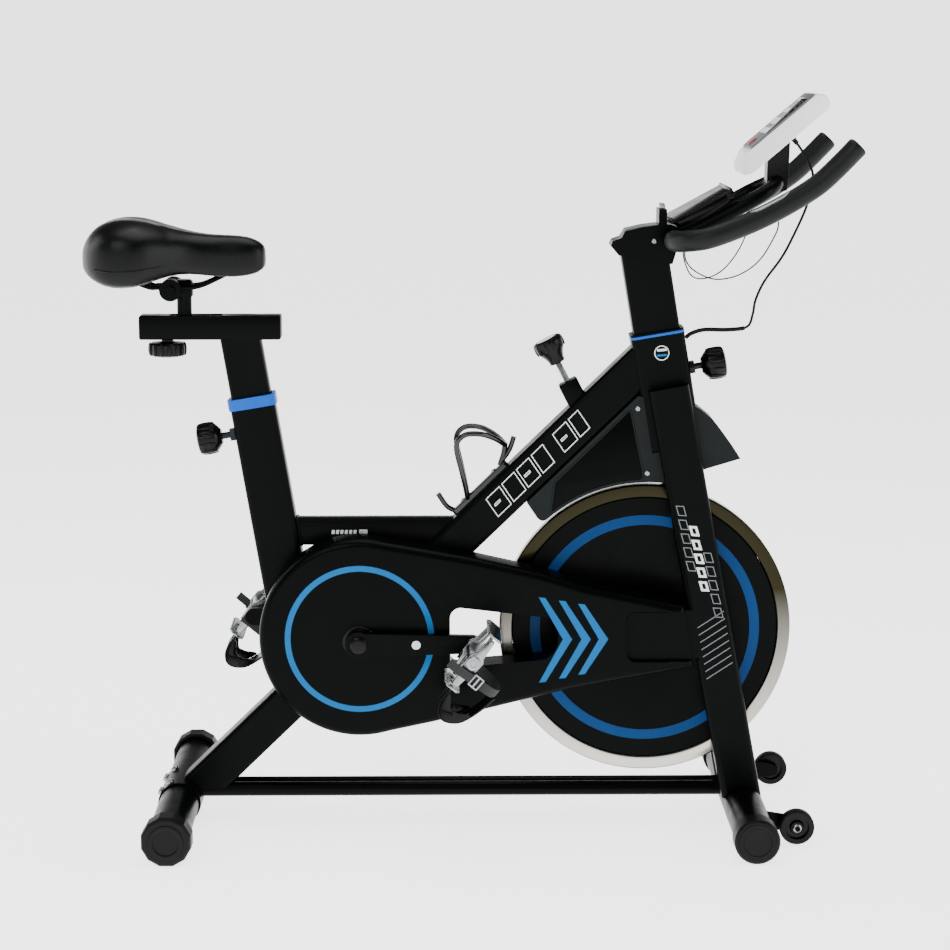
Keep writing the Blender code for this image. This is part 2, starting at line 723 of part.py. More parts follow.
def belt_loop(offset):
    """The belt's outline around both pulleys, this far outside them."""
    large_arc = arc((CRANK_X, CRANK_Z), DRIVE_RADIUS + offset, centre_angle + wrap_angle,
                    centre_angle + 360 - wrap_angle, 44)
    small_arc = arc((WHEEL_X, WHEEL_Z), PULLEY_RADIUS + offset, centre_angle - wrap_angle,
                    centre_angle + wrap_angle, 16)
    return large_arc + small_arc


BELT_LIFT = 0.0006
belt = side_prism("drive_belt", [belt_loop(BELT_LIFT + BELT_THICKNESS), belt_loop(BELT_LIFT)],
                  BELT_Y - BELT_WIDTH / 2, BELT_Y + BELT_WIDTH / 2)
finish(belt, LOOK_RUBBER)


# ---------------------------------------------------------------- belt cover
COVER_FRONT_TOP = (0.3250, 0.3480)
COVER_FRONT_LOW = (0.3410, 0.2540)
COVER_CENTRE = (CRANK_X + 0.001, CRANK_Z + 0.004)
COVER_OUTLINE = (
    arc(COVER_CENTRE, COVER_RADIUS, 76, 287, 36)
    + [(-0.052, 0.1690), (0.092, 0.2045), (0.152, 0.2195), COVER_FRONT_LOW, COVER_FRONT_TOP,
       (0.306, 0.3520), (0.181, 0.3780), (0.108, 0.4000), (0.008, 0.4225)]
)
WINDOW = (
    arc((-0.010, 0.331), 0.016, 180, 90, 3)
    + arc((0.116, 0.3120), 0.020, 82, 0, 4)
    + arc((0.106, 0.2960), 0.030, -8, -82, 3)
    + [(0.033, 0.2600), (-0.012, 0.2545)]
    + arc((-0.014, 0.2665), 0.012, 265, 180, 2)
)
POCKET = (
    arc((WHEEL_X - 0.019, WHEEL_Z + 0.026), 0.012, 90, 180, 3)
    + arc((WHEEL_X - 0.019, WHEEL_Z - 0.024), 0.012, 180, 270, 3)
    + [(COVER_FRONT_LOW[0] + 0.03, WHEEL_Z - 0.036), (COVER_FRONT_TOP[0] + 0.03, WHEEL_Z + 0.038)]
)


def shifted(loop, offset):
    """The loop moved outwards by offset, or inwards where it is below zero."""
    points = []
    count = len(loop)
    area = sum(loop[i][0] * loop[(i + 1) % count][1] - loop[(i + 1) % count][0] * loop[i][1] for i in range(count))
    sign = 1 if area > 0 else -1
    for index in range(count):
        before = Vector(loop[index - 1])
        here = Vector(loop[index])
        after = Vector(loop[(index + 1) % count])
        first = (here - before).normalized()
        second = (after - here).normalized()
        normal = Vector((first.y + second.y, -first.x - second.x)) * sign
        normal.normalize()
        edge = Vector((first.y, -first.x)) * sign
        move = offset / max(normal.dot(edge), 0.5)
        points.append((here.x + normal.x * move, here.y + normal.y * move))
    return points


SEAM = COVER_INNER_Y - 0.003
cover_outer = side_prism("belt_cover_outer", [COVER_OUTLINE, WINDOW], COVER_FACE_Y, SEAM - GAP)
hollow = side_prism("cover_hollow", [shifted(COVER_OUTLINE, -COVER_WALL), shifted(WINDOW, COVER_WALL)],
                    COVER_FACE_Y + COVER_WALL, SEAM + 0.01, CUTTERS)
POCKET_FLOOR_Y = -(AXLE_HALF + 0.0012)
pocket_floor = side_prism("pocket_floor", [shifted(POCKET, COVER_WALL)], COVER_FACE_Y + 0.0005,
                          POCKET_FLOOR_Y, CUTTERS)
pocket = side_prism("cover_pocket", [POCKET], COVER_FACE_Y - 0.01, POCKET_FLOOR_Y - COVER_WALL, CUTTERS)
cover_limit = side_prism("cover_limit", [shifted(COVER_OUTLINE, -0.0001)], COVER_FACE_Y - 0.001, SEAM, CUTTERS)
combine(pocket_floor, cover_limit, "INTERSECT")
cut(cover_outer, hollow)
join(cover_outer, pocket_floor)
cut(cover_outer, pocket,
    box("cover_bracket_slot", (0.050, BRACKET_THICKNESS + 0.003, 0.078),
        (COVER_FRONT_TOP[0] + 0.004, -(BRACKET_INNER_Y + BRACKET_OUTER_Y) / 2, WHEEL_Z + 0.001), collection=CUTTERS),
    cylinder("cover_axle_hole", AXLE_RADIUS + 0.004, 0.02, (CRANK_X, COVER_FACE_Y, CRANK_Z), ACROSS, 28, CUTTERS))
finish(cover_outer, LOOK_PLASTIC)

cover_inner = side_prism("belt_cover_inner", [COVER_OUTLINE, WINDOW, circle(SHELL_RADIUS + 0.001, 28, (CRANK_X, CRANK_Z)),
                         circle(HUB_RADIUS + 0.003, 28, (WHEEL_X, WHEEL_Z))], SEAM, COVER_INNER_Y)
finish(cover_inner, LOOK_PLASTIC)

# ---------------------------------------------------------------- flywheel guard
GUARD_RADIUS = WHEEL_RADIUS + 0.0065
GUARD_HALF = HEAD_WIDTH / 2 - 0.0005
GUARD_WALL = 0.0025


def under_main(x, drop):
    """A point this far below the main tube's lower face, square to it."""
    z = MAIN_Z_AT_ORIGIN + x * MAIN_SLOPE - (MAIN_HEIGHT / 2 + drop) / math.cos(MAIN_ANGLE)
    return (x, z)


def guard_outline():
    """The guard's side outline: along the main tube, over the front of the flywheel and back down its rim."""
    points = [under_main(0.090, GAP), under_main(0.256, GAP), (0.330, 0.6500), (0.350, 0.6385),
              (0.367, 0.6246), (0.382, 0.6060), (0.398, 0.5840), (0.411, 0.5636), (0.354, 0.5465)]
    return points + arc((WHEEL_X, WHEEL_Z), GUARD_RADIUS, 69, 134, 22)


guard = side_prism("flywheel_guard", [guard_outline()], -GUARD_HALF, GUARD_HALF)
guard_hollow = side_prism("guard_hollow", [shifted(guard_outline(), -GUARD_WALL)], -GUARD_HALF + GUARD_WALL,
                          GUARD_HALF - GUARD_WALL, CUTTERS)
mouth_outline = arc((WHEEL_X, WHEEL_Z), GUARD_RADIUS + 0.006, 69.8, 133.0, 22)
mouth_outline += arc((WHEEL_X, WHEEL_Z), GUARD_RADIUS - 0.010, 133.0, 69.8, 22)
guard_mouth = side_prism("guard_mouth", [mouth_outline], -GUARD_HALF + GUARD_WALL, GUARD_HALF - GUARD_WALL, CUTTERS)
cut(guard, guard_hollow, guard_mouth,
    solid_member("guard_head", head_point(HEAD_BOTTOM_Z - 0.002), head_point(0.72), HEAD_SECTION, RUN))
rod_hole = tension_point(0.12)
cut(guard, cylinder("guard_rod_hole", TENSION_ROD_RADIUS + 0.002, 0.08, (rod_hole[0], 0, rod_hole[1]),
                    TENSION_ROTATION, 20, CUTTERS))
BRAKE_PIN_RADIUS = 0.004
cut(guard, cylinder("guard_pin_hole", BRAKE_PIN_RADIUS + RUN, 0.1, (BRAKE_PIVOT_X, 0, BRAKE_PIVOT_Z), ACROSS, 16,
                    CUTTERS))
finish(guard, LOOK_PLASTIC)

# ---------------------------------------------------------------- bottle cage
offset = MAIN_HEIGHT / 2 + GAP


def above_main(x, lift):
    """A point this far above the main tube's upper face, square to it."""
    at = main_point(x)
    return (at[0] - (offset + lift) * math.sin(MAIN_ANGLE), at[1] + (offset + lift) * math.cos(MAIN_ANGLE))


spine_middle = above_main(0.043, 0.004)
spine = box("bottle_cage", (0.112, 0.018, 0.008), (spine_middle[0], 0, spine_middle[1]), (0, -MAIN_ANGLE, 0),
            0.002)
cage_hoop = [
    (0.001, 0.006, 0.5000),
    (-0.002, 0.014, 0.5180),
    (-0.008, 0.026, 0.5450),
    (-0.016, 0.037, 0.5850),
    (-0.004, 0.040, 0.6020),
    (0.020, 0.036, 0.6030),
    (0.042, 0.022, 0.5940),
    (0.056, 0.006, 0.5830),
]
hoop_route = cage_hoop + [(x, -y, z) for x, y, z in reversed(cage_hoop)]
hoop = pipe("cage_hoop", smooth_path(hoop_route, 0.020), 0.0042, 1)
stem = pipe("cage_stem", smooth_path([(0.0575, 0, 0.585), (0.0560, 0, 0.570), (0.0500, 0, 0.550)], 0.016), 0.0042, 1)
rear_hook = pipe("cage_rear_hook", smooth_path([(-0.018, 0, 0.4800), (-0.031, 0, 0.4880), (-0.044, 0, 0.5070)],
                                               0.012), 0.004, 1)
front_hook = pipe("cage_front_hook", smooth_path([(0.0520, 0, 0.5560), (0.0640, 0, 0.5740), (0.0710, 0, 0.5940)],
                                                 0.012), 0.004, 1)
join(spine, hoop, stem, rear_hook, front_hook)
finish(spine, (PLASTIC, 0.25, 0.0))

# ---------------------------------------------------------------- cranks
AXLE_END = ARM_INNER_Y + ARM_THICKNESS + 0.001
finish(cylinder("crank_axle", AXLE_RADIUS, 2 * AXLE_END, (CRANK_X, 0, CRANK_Z), ACROSS, 28), LOOK_STEEL, True)
ARM_BOSS = 0.020
ARM_END = 0.0135
PIN_HALF = 0.006
PEDAL_PIN_END = PEDAL_CENTRE_Y + PEDAL_WIDTH / 2 - 0.007


def build_crank_arm(label, side, direction):
    """A crank arm; direction is 1 where it points to the front and -1 where it points to the rear."""
    outline = arc((0, 0), ARM_BOSS, 60, 300, 14) + arc((CRANK_LENGTH, 0), ARM_END, -84, 84, 10)
    outline = [(CRANK_X + direction * x, CRANK_Z + z) for x, z in outline]
    inner = side * ARM_INNER_Y
    outer = side * (ARM_INNER_Y + ARM_THICKNESS)
    arm = side_prism("crank_arm_" + label, [outline], min(inner, outer), max(inner, outer))
    pedal_x = CRANK_X + direction * CRANK_LENGTH
    start = ARM_INNER_Y + 0.002
    pin_length = PEDAL_PIN_END - start
    pin = cylinder("pedal_pin_" + label, PIN_HALF, pin_length, (pedal_x, side * (start + pin_length / 2), CRANK_Z),
                   ACROSS, 20)
    join(arm, pin)
    cut(arm, cylinder("arm_bore_" + label, AXLE_RADIUS + GAP, 0.03,
                      (CRANK_X, side * (ARM_INNER_Y + ARM_THICKNESS / 2), CRANK_Z), ACROSS, 28, CUTTERS))
    return finish(arm, LOOK_POWDER)


build_crank_arm("right", -1, 1)
build_crank_arm("left", 1, -1)


# ---------------------------------------------------------------- pedals, built in their own frame
# own X runs to the toe end, own Z to the foot side, own Y along the pedal pin
PEDAL_HUB = 0.0115
PLATE = 0.004
PLATE_HALF_HEIGHT = 0.012


def pedal_outline():
    """The pedal's side outline."""
    half = PEDAL_LENGTH / 2
    upper = [
        (half, PLATE_HALF_HEIGHT),
        (half - PLATE, PLATE_HALF_HEIGHT),
        (half - PLATE, 0.0045),
        (0.014, 0.0075),
        (0.0085, PEDAL_HUB),
    ]
    corner = upper + [(-x, z) for x, z in reversed(upper)]
    return corner + [(x, -z) for x, z in reversed(corner)]


def turned_about(loop_point, angle):
    """A point of a pedal's own X and Z turned about the pin."""
    x, z = loop_point
    return (x * math.cos(angle) - z * math.sin(angle), x * math.sin(angle) + z * math.cos(angle))


CLIP_THICKNESS = 0.003
CLIP_PATH = [
    (PEDAL_LENGTH / 2 + GAP, -0.006),
    (PEDAL_LENGTH / 2 + GAP, 0.004),
    (0.066, 0.0045),
    (0.086, 0.0080),
    (0.0960, 0.0180),
    (0.0940, 0.0310),
    (0.0830, 0.0440),
    (0.0660, 0.0520),
    (0.0440, 0.0570),
    (0.0100, 0.0600),
]


def clip_band():
    """The toe clip's side outline, a band of one thickness."""
    outer = []
    for index, point in enumerate(CLIP_PATH):
        before = Vector(CLIP_PATH[max(index - 1, 0)])
        after = Vector(CLIP_PATH[min(index + 1, len(CLIP_PATH) - 1)])
        way = (after - before).normalized()
        outer.append((point[0] + way.y * CLIP_THICKNESS, point[1] - way.x * CLIP_THICKNESS))
    return CLIP_PATH + list(reversed(outer))


def strap_loop():
    """The strap's outline across the pedal, in own Y and Z, a band of one thickness."""
    half = PEDAL_WIDTH / 2 + GAP
    inside = [(half, -0.006), (half, 0.030), (0.040, 0.050), (0.030, 0.0565), (0.015, 0.0600)]
    thick = 0.0022
    outside = [(half + thick, -0.006), (half + thick, 0.0310), (0.0420, 0.0515), (0.0312, 0.0588), (0.0152, 0.0622)]
    inner = inside + [(-y, z) for y, z in reversed(inside)]
    outer = outside + [(-y, z) for y, z in reversed(outside)]
    return inner + list(reversed(outer))


def build_pedal(label, side, direction):
    """A pedal and its toe clip."""
    x = CRANK_X + direction * CRANK_LENGTH
    y = side * PEDAL_CENTRE_Y
    turn = (math.pi / 2, -PEDAL_ANGLE, 0)
    pedal = prism("pedal_" + label, [pedal_outline()], PEDAL_WIDTH)
    pedal.rotation_mode = "XYZ"
    pedal = place(pedal, (x, y, CRANK_Z), turn)
    for end in (-1, 1):
        window = box("pedal_window_%s_%d" % (label, end), (0.022, PEDAL_WIDTH - 0.020, 0.04),
                     collection=CUTTERS)
        centre = turned_about((end * 0.0275, 0), PEDAL_ANGLE)
        place(window, (x + centre[0], y, CRANK_Z + centre[1]), (0, -PEDAL_ANGLE, 0))
        cut(pedal, window)
    bore_length = PEDAL_WIDTH - 0.004
    cut(pedal, cylinder("pedal_bore_" + label, PIN_HALF + RUN, bore_length,
                        (x, y - side * 0.004, CRANK_Z), ACROSS, 20, CUTTERS))
    finish(pedal, (STEEL, 0.35, 1.0))
    clip = prism("toe_clip_" + label, [clip_band()], 0.056)
    place(clip, (x, y, CRANK_Z), turn)
    strap = prism("strap_" + label, [strap_loop()], 0.014)
    for vertex in strap.data.vertices:
        across, high, lengthways = vertex.co
        vertex.co = (0.018 + lengthways, high, -across)
    place(strap, (x, y, CRANK_Z), turn)
    join(clip, strap)
    finish(clip, LOOK_PLASTIC)


build_pedal("right", -1, 1)
build_pedal("left", 1, -1)


# ---------------------------------------------------------------- seat post and beam
def hole_row(name, point, tilt, first, count, pitch, face, sign, collection=CUTTERS):
    """A row of round holes down one wall of a post, as one closed cutter for each hole."""
    holes = []
    for index in range(count):
        down = first + index * pitch
        x = point[0] + down * math.sin(tilt) + sign * face * math.cos(tilt)
        z = point[1] - down * math.cos(tilt) + sign * face * math.sin(tilt)
        holes.append(cylinder("%s_%d" % (name, index), 0.0045, 0.012, (x, 0, z), along(tilt), 12, collection))
    return holes


SEAT_POST_LOW_Z = SEAT_TOP_Z - SEAT_POST_INSERTION * math.cos(SEAT_TILT)
seat_post = member("seat_post", seat_point(SEAT_POST_LOW_Z), seat_point(BEAM_BOTTOM_Z + 0.004),
                   (POST_ACROSS, POST_WIDE, 0.007), 0.002)
BEAM_LENGTH = BEAM_FRONT_X - BEAM_REAR_X
BEAM_MIDDLE_X = (BEAM_FRONT_X + BEAM_REAR_X) / 2
BEAM_HEIGHT = BEAM_TOP_Z - BEAM_BOTTOM_Z
BEAM_MIDDLE_Z = (BEAM_TOP_Z + BEAM_BOTTOM_Z) / 2
BEAM_END = 0.004
beam = box("beam", (BEAM_LENGTH, BEAM_WIDTH, BEAM_HEIGHT), (BEAM_MIDDLE_X, 0, BEAM_MIDDLE_Z), bevel=0.003)
join(seat_post, beam)
STEM_RADIUS = 0.011
stem_low = SADDLE_STEM_X - SLIDER_BACK - STEM_RADIUS - RUN
stem_high = SADDLE_STEM_X + SLIDER_FORWARD + STEM_RADIUS + RUN
SCREW_RADIUS = 0.005
screw_low = SLIDER_KNOB_X - SLIDER_BACK - SCREW_RADIUS - RUN
screw_high = SLIDER_KNOB_X + SLIDER_FORWARD + SCREW_RADIUS + RUN
cut(seat_post,
    box("beam_hollow", (BEAM_LENGTH - 2 * BEAM_END, BEAM_WIDTH - 2 * TUBE_WALL, BEAM_HEIGHT - 2 * TUBE_WALL),
        (BEAM_MIDDLE_X, 0, BEAM_MIDDLE_Z), collection=CUTTERS),
    box("stem_slot", (stem_high - stem_low, 2 * (STEM_RADIUS + RUN), 0.012),
        ((stem_high + stem_low) / 2, 0, BEAM_TOP_Z), collection=CUTTERS),
    box("screw_slot", (screw_high - screw_low, 2 * (SCREW_RADIUS + RUN), 0.012),
        ((screw_high + screw_low) / 2, 0, BEAM_BOTTOM_Z), collection=CUTTERS))
cut(seat_post, *hole_row("seat_hole", seat_point(SEAT_PIN_Z - 0.030), SEAT_TILT, 0.0, 5, 0.022,
                         POST_ACROSS / 2, -1))
finish(seat_post, LOOK_POWDER)

# slider with the saddle stem and the clamp's middle block
BLOCK_LENGTH = 0.074
BLOCK_MIDDLE_X = SLIDER_KNOB_X + 0.012
CLAMP_X = -0.4400
CLAMP_Z = 0.8180
slider = box("saddle_slider", (BLOCK_LENGTH, BEAM_WIDTH - 2 * TUBE_WALL - 2 * RUN, BEAM_HEIGHT - 2 * TUBE_WALL - 2 * RUN),
             (BLOCK_MIDDLE_X, 0, BEAM_MIDDLE_Z))
STEM_TOP_Z = 0.832
stem_start = BEAM_MIDDLE_Z
join(slider,
     cylinder("saddle_stem", STEM_RADIUS, STEM_TOP_Z - stem_start, (SADDLE_STEM_X, 0, (STEM_TOP_Z + stem_start) / 2),
              sides=28),
     box("clamp_block", (0.044, 0.024, 0.026), ((CLAMP_X + SADDLE_STEM_X) / 2, 0, CLAMP_Z), bevel=0.004))
cut(slider,
    cylinder("screw_hole", SCREW_RADIUS + RUN, 0.022, (SLIDER_KNOB_X, 0, BEAM_BOTTOM_Z + 0.0), sides=20,
             collection=CUTTERS),
    cylinder("clamp_bore", 0.0045, 0.04, (CLAMP_X, 0, CLAMP_Z), ACROSS, 20, CUTTERS))
finish(slider, LOOK_STEEL)

# knob under the beam
KNOB_HEIGHT = 0.0215
knob_top = BEAM_BOTTOM_Z - 0.0045
SLIDER_KNOB_RADIUS = 0.029


def lobed(radius, depth, lobes, steps):
    """A hand knob's outline with shallow flutes."""
    points = []
    for step in range(steps):
        angle = 2 * math.pi * step / steps
        points.append(((radius - depth * (0.5 - 0.5 * math.cos(lobes * angle))) * math.cos(angle),
                       (radius - depth * (0.5 - 0.5 * math.cos(lobes * angle))) * math.sin(angle)))
    return points


slider_knob = prism("slider_knob", [lobed(SLIDER_KNOB_RADIUS, 0.0022, 10, 80)], KNOB_HEIGHT,
                    (SLIDER_KNOB_X, 0, knob_top - KNOB_HEIGHT / 2))
screw_top = BEAM_BOTTOM_Z + 0.0085
join(slider_knob,
     cylinder("knob_collar", 0.0088, 0.006, (SLIDER_KNOB_X, 0, knob_top + 0.0012), sides=24),
     cylinder("knob_screw", SCREW_RADIUS, screw_top - knob_top + 0.004,
              (SLIDER_KNOB_X, 0, (screw_top + knob_top - 0.004) / 2), sides=20))
finish(slider_knob, LOOK_PLASTIC)

# clamp cheeks on their bolt
CHEEK_IN = 0.0125
CHEEK_OUT = 0.0290
RAIL_Y = 0.0210
RAIL_RADIUS = 0.0035
RAIL_Z = 0.8215
clamp = cylinder("saddle_clamp", 0.004, 0.068, (CLAMP_X, 0, CLAMP_Z), ACROSS, 20)
for side in (-1, 1):
    cheek = cylinder("cheek_%d" % side, 0.0165, CHEEK_OUT - CHEEK_IN,
                     (CLAMP_X, side * (CHEEK_IN + CHEEK_OUT) / 2, CLAMP_Z), ACROSS, 32)
    nut = cylinder("clamp_nut_%d" % side, 0.0075, 0.008, (CLAMP_X, side * 0.0325, CLAMP_Z), ACROSS, 6)
    join(clamp, cheek, nut)


def rail_route(side):
    """Half of the saddle rail, from its rear end to the nose."""
    return [
        (-0.5120, side * 0.0300, 0.8560),
        (-0.5040, side * 0.0290, 0.8430),
        (-0.4880, side * 0.0250, 0.8290),
        (-0.4700, side * RAIL_Y, RAIL_Z),
        (-0.4600, side * RAIL_Y, RAIL_Z),
        (-0.4200, side * RAIL_Y, RAIL_Z),
        (-0.4100, side * RAIL_Y, RAIL_Z),
        (-0.3900, side * 0.0180, 0.8260),
        (-0.3520, side * 0.0120, 0.8440),
        (-0.3300, side * 0.0080, 0.8560),
    ]


rail_points = smooth_path(rail_route(-1) + [(-0.3230, 0.0, 0.8590)] + list(reversed(rail_route(1))), 0.013)
for side in (-1, 1):
    cut(clamp, cylinder("rail_hole_%d" % side, RAIL_RADIUS + 0.0004, 0.06, (CLAMP_X, side * RAIL_Y, RAIL_Z),
                        (0, math.pi / 2, 0), 20, CUTTERS))
finish(clamp, LOOK_STEEL)
finish(pipe("saddle_rails", rail_points, RAIL_RADIUS, 2), LOOK_STEEL, True)

# saddle pad: x, half width, top, bottom at the edge, crown
SADDLE_STATIONS = [
    (-0.5715, 0.040, 0.8840, 0.8600),
    (-0.5480, 0.085, 0.9080, 0.8420),
    (-0.5160, 0.107, 0.9280, 0.8330),
    (-0.4800, 0.107, 0.9280, 0.8400),
    (-0.4450, 0.082, 0.9160, 0.8460),
    (-0.4100, 0.046, 0.9030, 0.8440),
    (-0.3700, 0.033, 0.9000, 0.8400),
    (-0.3300, 0.030, 0.8980, 0.8430),
    (-0.3020, 0.022, 0.8880, 0.8490),
]


def build_saddle():
    """The padded saddle as a soft closed form."""
    work = bmesh.new()
    rings = []
    for x, half, top, bottom in SADDLE_STATIONS:
        middle = (top + bottom) / 2
        section = [
            (-0.98, middle - 0.004), (-0.80, top - 0.012), (-0.36, top), (0.36, top), (0.80, top - 0.012),
            (0.98, middle - 0.004), (0.90, bottom), (0.36, bottom + 0.006), (-0.36, bottom + 0.006),
            (-0.90, bottom),
        ]
        rings.append([work.verts.new((x, share * half, z)) for share, z in section])
    for first, second in zip(rings, rings[1:]):
        for index in range(len(first)):
            after = (index + 1) % len(first)
            work.faces.new((first[index], first[after], second[after], second[index]))
    work.faces.new(list(reversed(rings[0])))
    work.faces.new(rings[-1])
    bmesh.ops.recalc_face_normals(work, faces=work.faces)
    mesh = bpy.data.meshes.new("saddle_pad")
    work.to_mesh(mesh)
    work.free()
    pad = add("saddle_pad", mesh)
    soft = pad.modifiers.new("soft", "SUBSURF")
    soft.levels = 1
    soft.render_levels = 1
    start_way = (rail_points[0] - rail_points[1]).normalized()
    end_way = (rail_points[-1] - rail_points[-2]).normalized()
    pocket_path = [rail_points[0] + start_way * 0.0006] + rail_points[1:-1] + [rail_points[-1] + end_way * 0.0006]
    cut(pad, pipe("rail_pocket", pocket_path, RAIL_RADIUS + 0.0006, 2, collection=CUTTERS))
    return finish(pad, (RUBBER, 0.50, 0.0), True)


build_saddle()


# ---------------------------------------------------------------- pull pins and their knobs
def pull_knob(prefix, start, angle, face, length):
    """A pull pin through a tube wall and the ribbed knob on it, both along one direction."""
    direction = Vector((math.cos(angle), 0, math.sin(angle)))
    origin = Vector((start[0], 0, start[1]))
    tip = face["tip"]
    knob_start = face["wall"] + face["shaft"]
    knob_end = knob_start + length
    pin_end = knob_end - 0.010
    pin_middle = origin + direction * ((tip + pin_end) / 2)
    pin = cylinder(prefix + "_pin", PIN_RADIUS, pin_end - tip, pin_middle, along(angle), 20)
    nut_middle = origin + direction * (face["wall"] + RUN + 0.004)
    nut = cylinder(prefix + "_nut", 0.0105, 0.008, nut_middle, along(angle), 6)
    join(pin, nut)
    finish(pin, LOOK_STEEL)
    profile = [
        (0.0, length),
        (0.0180, length),
        (0.0215, length - 0.003),
        (0.0250, length - 0.007),
        (0.0250, 0.014),
        (0.0150, 0.006),
        (0.0120, 0.0),
        (PIN_RADIUS + RUN, 0.0),
        (PIN_RADIUS + RUN, length - 0.010 + RUN),
        (0.0, length - 0.010 + RUN),
    ]
    knob = turned(prefix + "_knob", profile, origin + direction * knob_start, along(angle), 20)
    for index in range(10):
        turn = 2 * math.pi * index / 10
        side = Vector((-math.sin(angle), 0, math.cos(angle))) * math.cos(turn) + Vector((0, 1, 0)) * math.sin(turn)
        at = origin + direction * (knob_start + length / 2 + 0.004) + side * 0.0268
        cut(knob, cylinder("%s_flute_%d" % (prefix, index), 0.0034, length, at, along(angle), 8, CUTTERS))
    return finish(knob, LOOK_PLASTIC)


pull_knob("seat_post", seat_pin_at, seat_pin_direction,
          {"tip": POST_ACROSS / 2 + 0.0005, "wall": SEAT_TUBE_LENGTH_X / 2, "shaft": 0.021}, 0.037)
pull_knob("head", head_pin_at, HEAD_TILT,
          {"tip": BAR_POST_ACROSS / 2 + 0.0005, "wall": HEAD_LENGTH_X / 2, "shaft": 0.019}, 0.038)

# ---------------------------------------------------------------- handlebar post and head
bar_post = member("handlebar_post", head_point(BAR_POST_BOTTOM_Z), head_point(BAR_POST_TOP_Z),
                  (BAR_POST_ACROSS, BAR_POST_WIDE, 0.006), 0.002)
cut(bar_post, *hole_row("bar_hole", head_point(HEAD_PIN_Z - 0.030), HEAD_TILT, -0.075, 5, 0.020,
                        BAR_POST_ACROSS / 2, 1))
finish(bar_post, LOOK_POWDER)
HEAD_CAP_HALF = BAR_POST_WIDE / 2 + 0.0040
BAR_X = 0.3020
BAR_Z = 0.8950
head_cap = side_prism("post_head", [[
    (0.2130, 0.8830), (0.2160, 0.8900), (0.2290, 0.8950), (0.2340, 0.9040), (0.2600, 0.9100), (0.2840, 0.9130),
    (0.2840, 0.9370), (0.2960, 0.9370), (0.2960, 0.9150), (0.3120, 0.9110), (0.3190, 0.9000), (0.3190, 0.8880),
    (0.3110, 0.8760), (0.3050, 0.8560), (0.2800, 0.8590), (0.2420, 0.8660), (0.2250, 0.8690), (0.2190, 0.8760),
]], -HEAD_CAP_HALF, HEAD_CAP_HALF)
cut(head_cap,
    solid_member("cap_socket", head_point(0.80), head_point(BAR_POST_TOP_Z + 0.0003),
                 (BAR_POST_ACROSS, BAR_POST_WIDE, 0.006), GAP),
    cylinder("bar_clamp_bore", BAR_RADIUS + GAP, 0.1, (BAR_X, 0, BAR_Z), ACROSS, 32, CUTTERS))
finish(head_cap, LOOK_PLASTIC)

# ---------------------------------------------------------------- handlebar
OUTER_BAR = [
    (BAR_X, 0.000, BAR_Z),
    (BAR_X, 0.040, BAR_Z),
    (BAR_X, 0.080, BAR_Z),
    (0.3060, 0.1120, 0.8960),
    (0.3220, 0.1350, 0.8985),
    (0.3450, 0.1450, 0.9030),
    (0.3800, BAR_HALF_WIDTH, 0.9150),
    (0.4220, BAR_HALF_WIDTH, 0.9330),
    (0.4650, BAR_HALF_WIDTH, 0.9560),
    (0.5020, BAR_HALF_WIDTH, 0.9800),
    (0.5300, BAR_HALF_WIDTH, 1.0060),
    (0.5560, BAR_HALF_WIDTH, 1.0330),
]
half_bar = smooth_path([(x, -y, z) for x, y, z in OUTER_BAR], 0.020)
mirror_bar = [Vector((point.x, -point.y, point.z)) for point in half_bar]
whole_bar = list(reversed(mirror_bar)) + half_bar[1:]
handlebar = pipe("handlebar", whole_bar, BAR_RADIUS, 3)
LOOP_START_X = BAR_X + 0.006
LOOP_ROUTE = [
    (LOOP_START_X, LOOP_HALF_WIDTH, BAR_Z + 0.003),
    (0.3400, LOOP_HALF_WIDTH, 0.9110),
    (0.3800, LOOP_HALF_WIDTH, 0.9320),
    (0.4180, LOOP_HALF_WIDTH, 0.9530),
    (0.4380, 0.0580, 0.9640),
    (0.4520, 0.0400, 0.9720),
    (0.4580, 0.0180, 0.9755),
    (0.4590, 0.0000, 0.9760),
]
half_loop = smooth_path([(x, -y, z) for x, y, z in LOOP_ROUTE], 0.018)
whole_loop = half_loop + [Vector((p.x, -p.y, p.z)) for p in reversed(half_loop[:-1])]
join(handlebar, pipe("inner_loop", whole_loop, LOOP_RADIUS, 2))
finish(handlebar, LOOK_POWDER, True)

right_way = (half_bar[-1] - half_bar[-2]).normalized()
left_way = Vector((right_way.x, -right_way.y, right_way.z))
core_path = [whole_bar[0] + left_way * GAP] + whole_bar[1:-1] + [whole_bar[-1] + right_way * GAP]
for label, side in (("right", 1), ("left", -1)):
    points = [Vector((p.x, side * p.y, p.z)) for p in half_bar]
    tip_way = (points[-1] - points[-2]).normalized()
    first = 0
    while abs(points[first].y) < LOOP_HALF_WIDTH + LOOP_RADIUS + 0.006:
        first += 1
    skin = points[first:] + [points[-1] + tip_way * 0.004]
    grip = pipe("grip_" + label, skin, GRIP_RADIUS, 3)
    core = pipe("grip_core_" + label, core_path, BAR_RADIUS + GAP, 3, collection=CUTTERS)
    cut(grip, core)
    finish(grip, (RUBBER, 0.62, 0.0), True)

# ---------------------------------------------------------------- device tray over the inner loop
TRAY_ANGLE = math.atan2(LOOP_ROUTE[3][2] - LOOP_ROUTE[1][2], LOOP_ROUTE[3][0] - LOOP_ROUTE[1][0])
TRAY_LENGTH = 0.100
TRAY_WIDTH = 0.150
TRAY_LIFT = 0.029
TRAY_THICKNESS = 0.006


def over_loop(distance, lift):
    """A point this far up the inner loop's straight part and this far above its centre line."""
    start = LOOP_ROUTE[1]
    x = start[0] + distance * math.cos(TRAY_ANGLE) - lift * math.sin(TRAY_ANGLE)
    z = start[2] + distance * math.sin(TRAY_ANGLE) + lift * math.cos(TRAY_ANGLE)
    return (x, z)


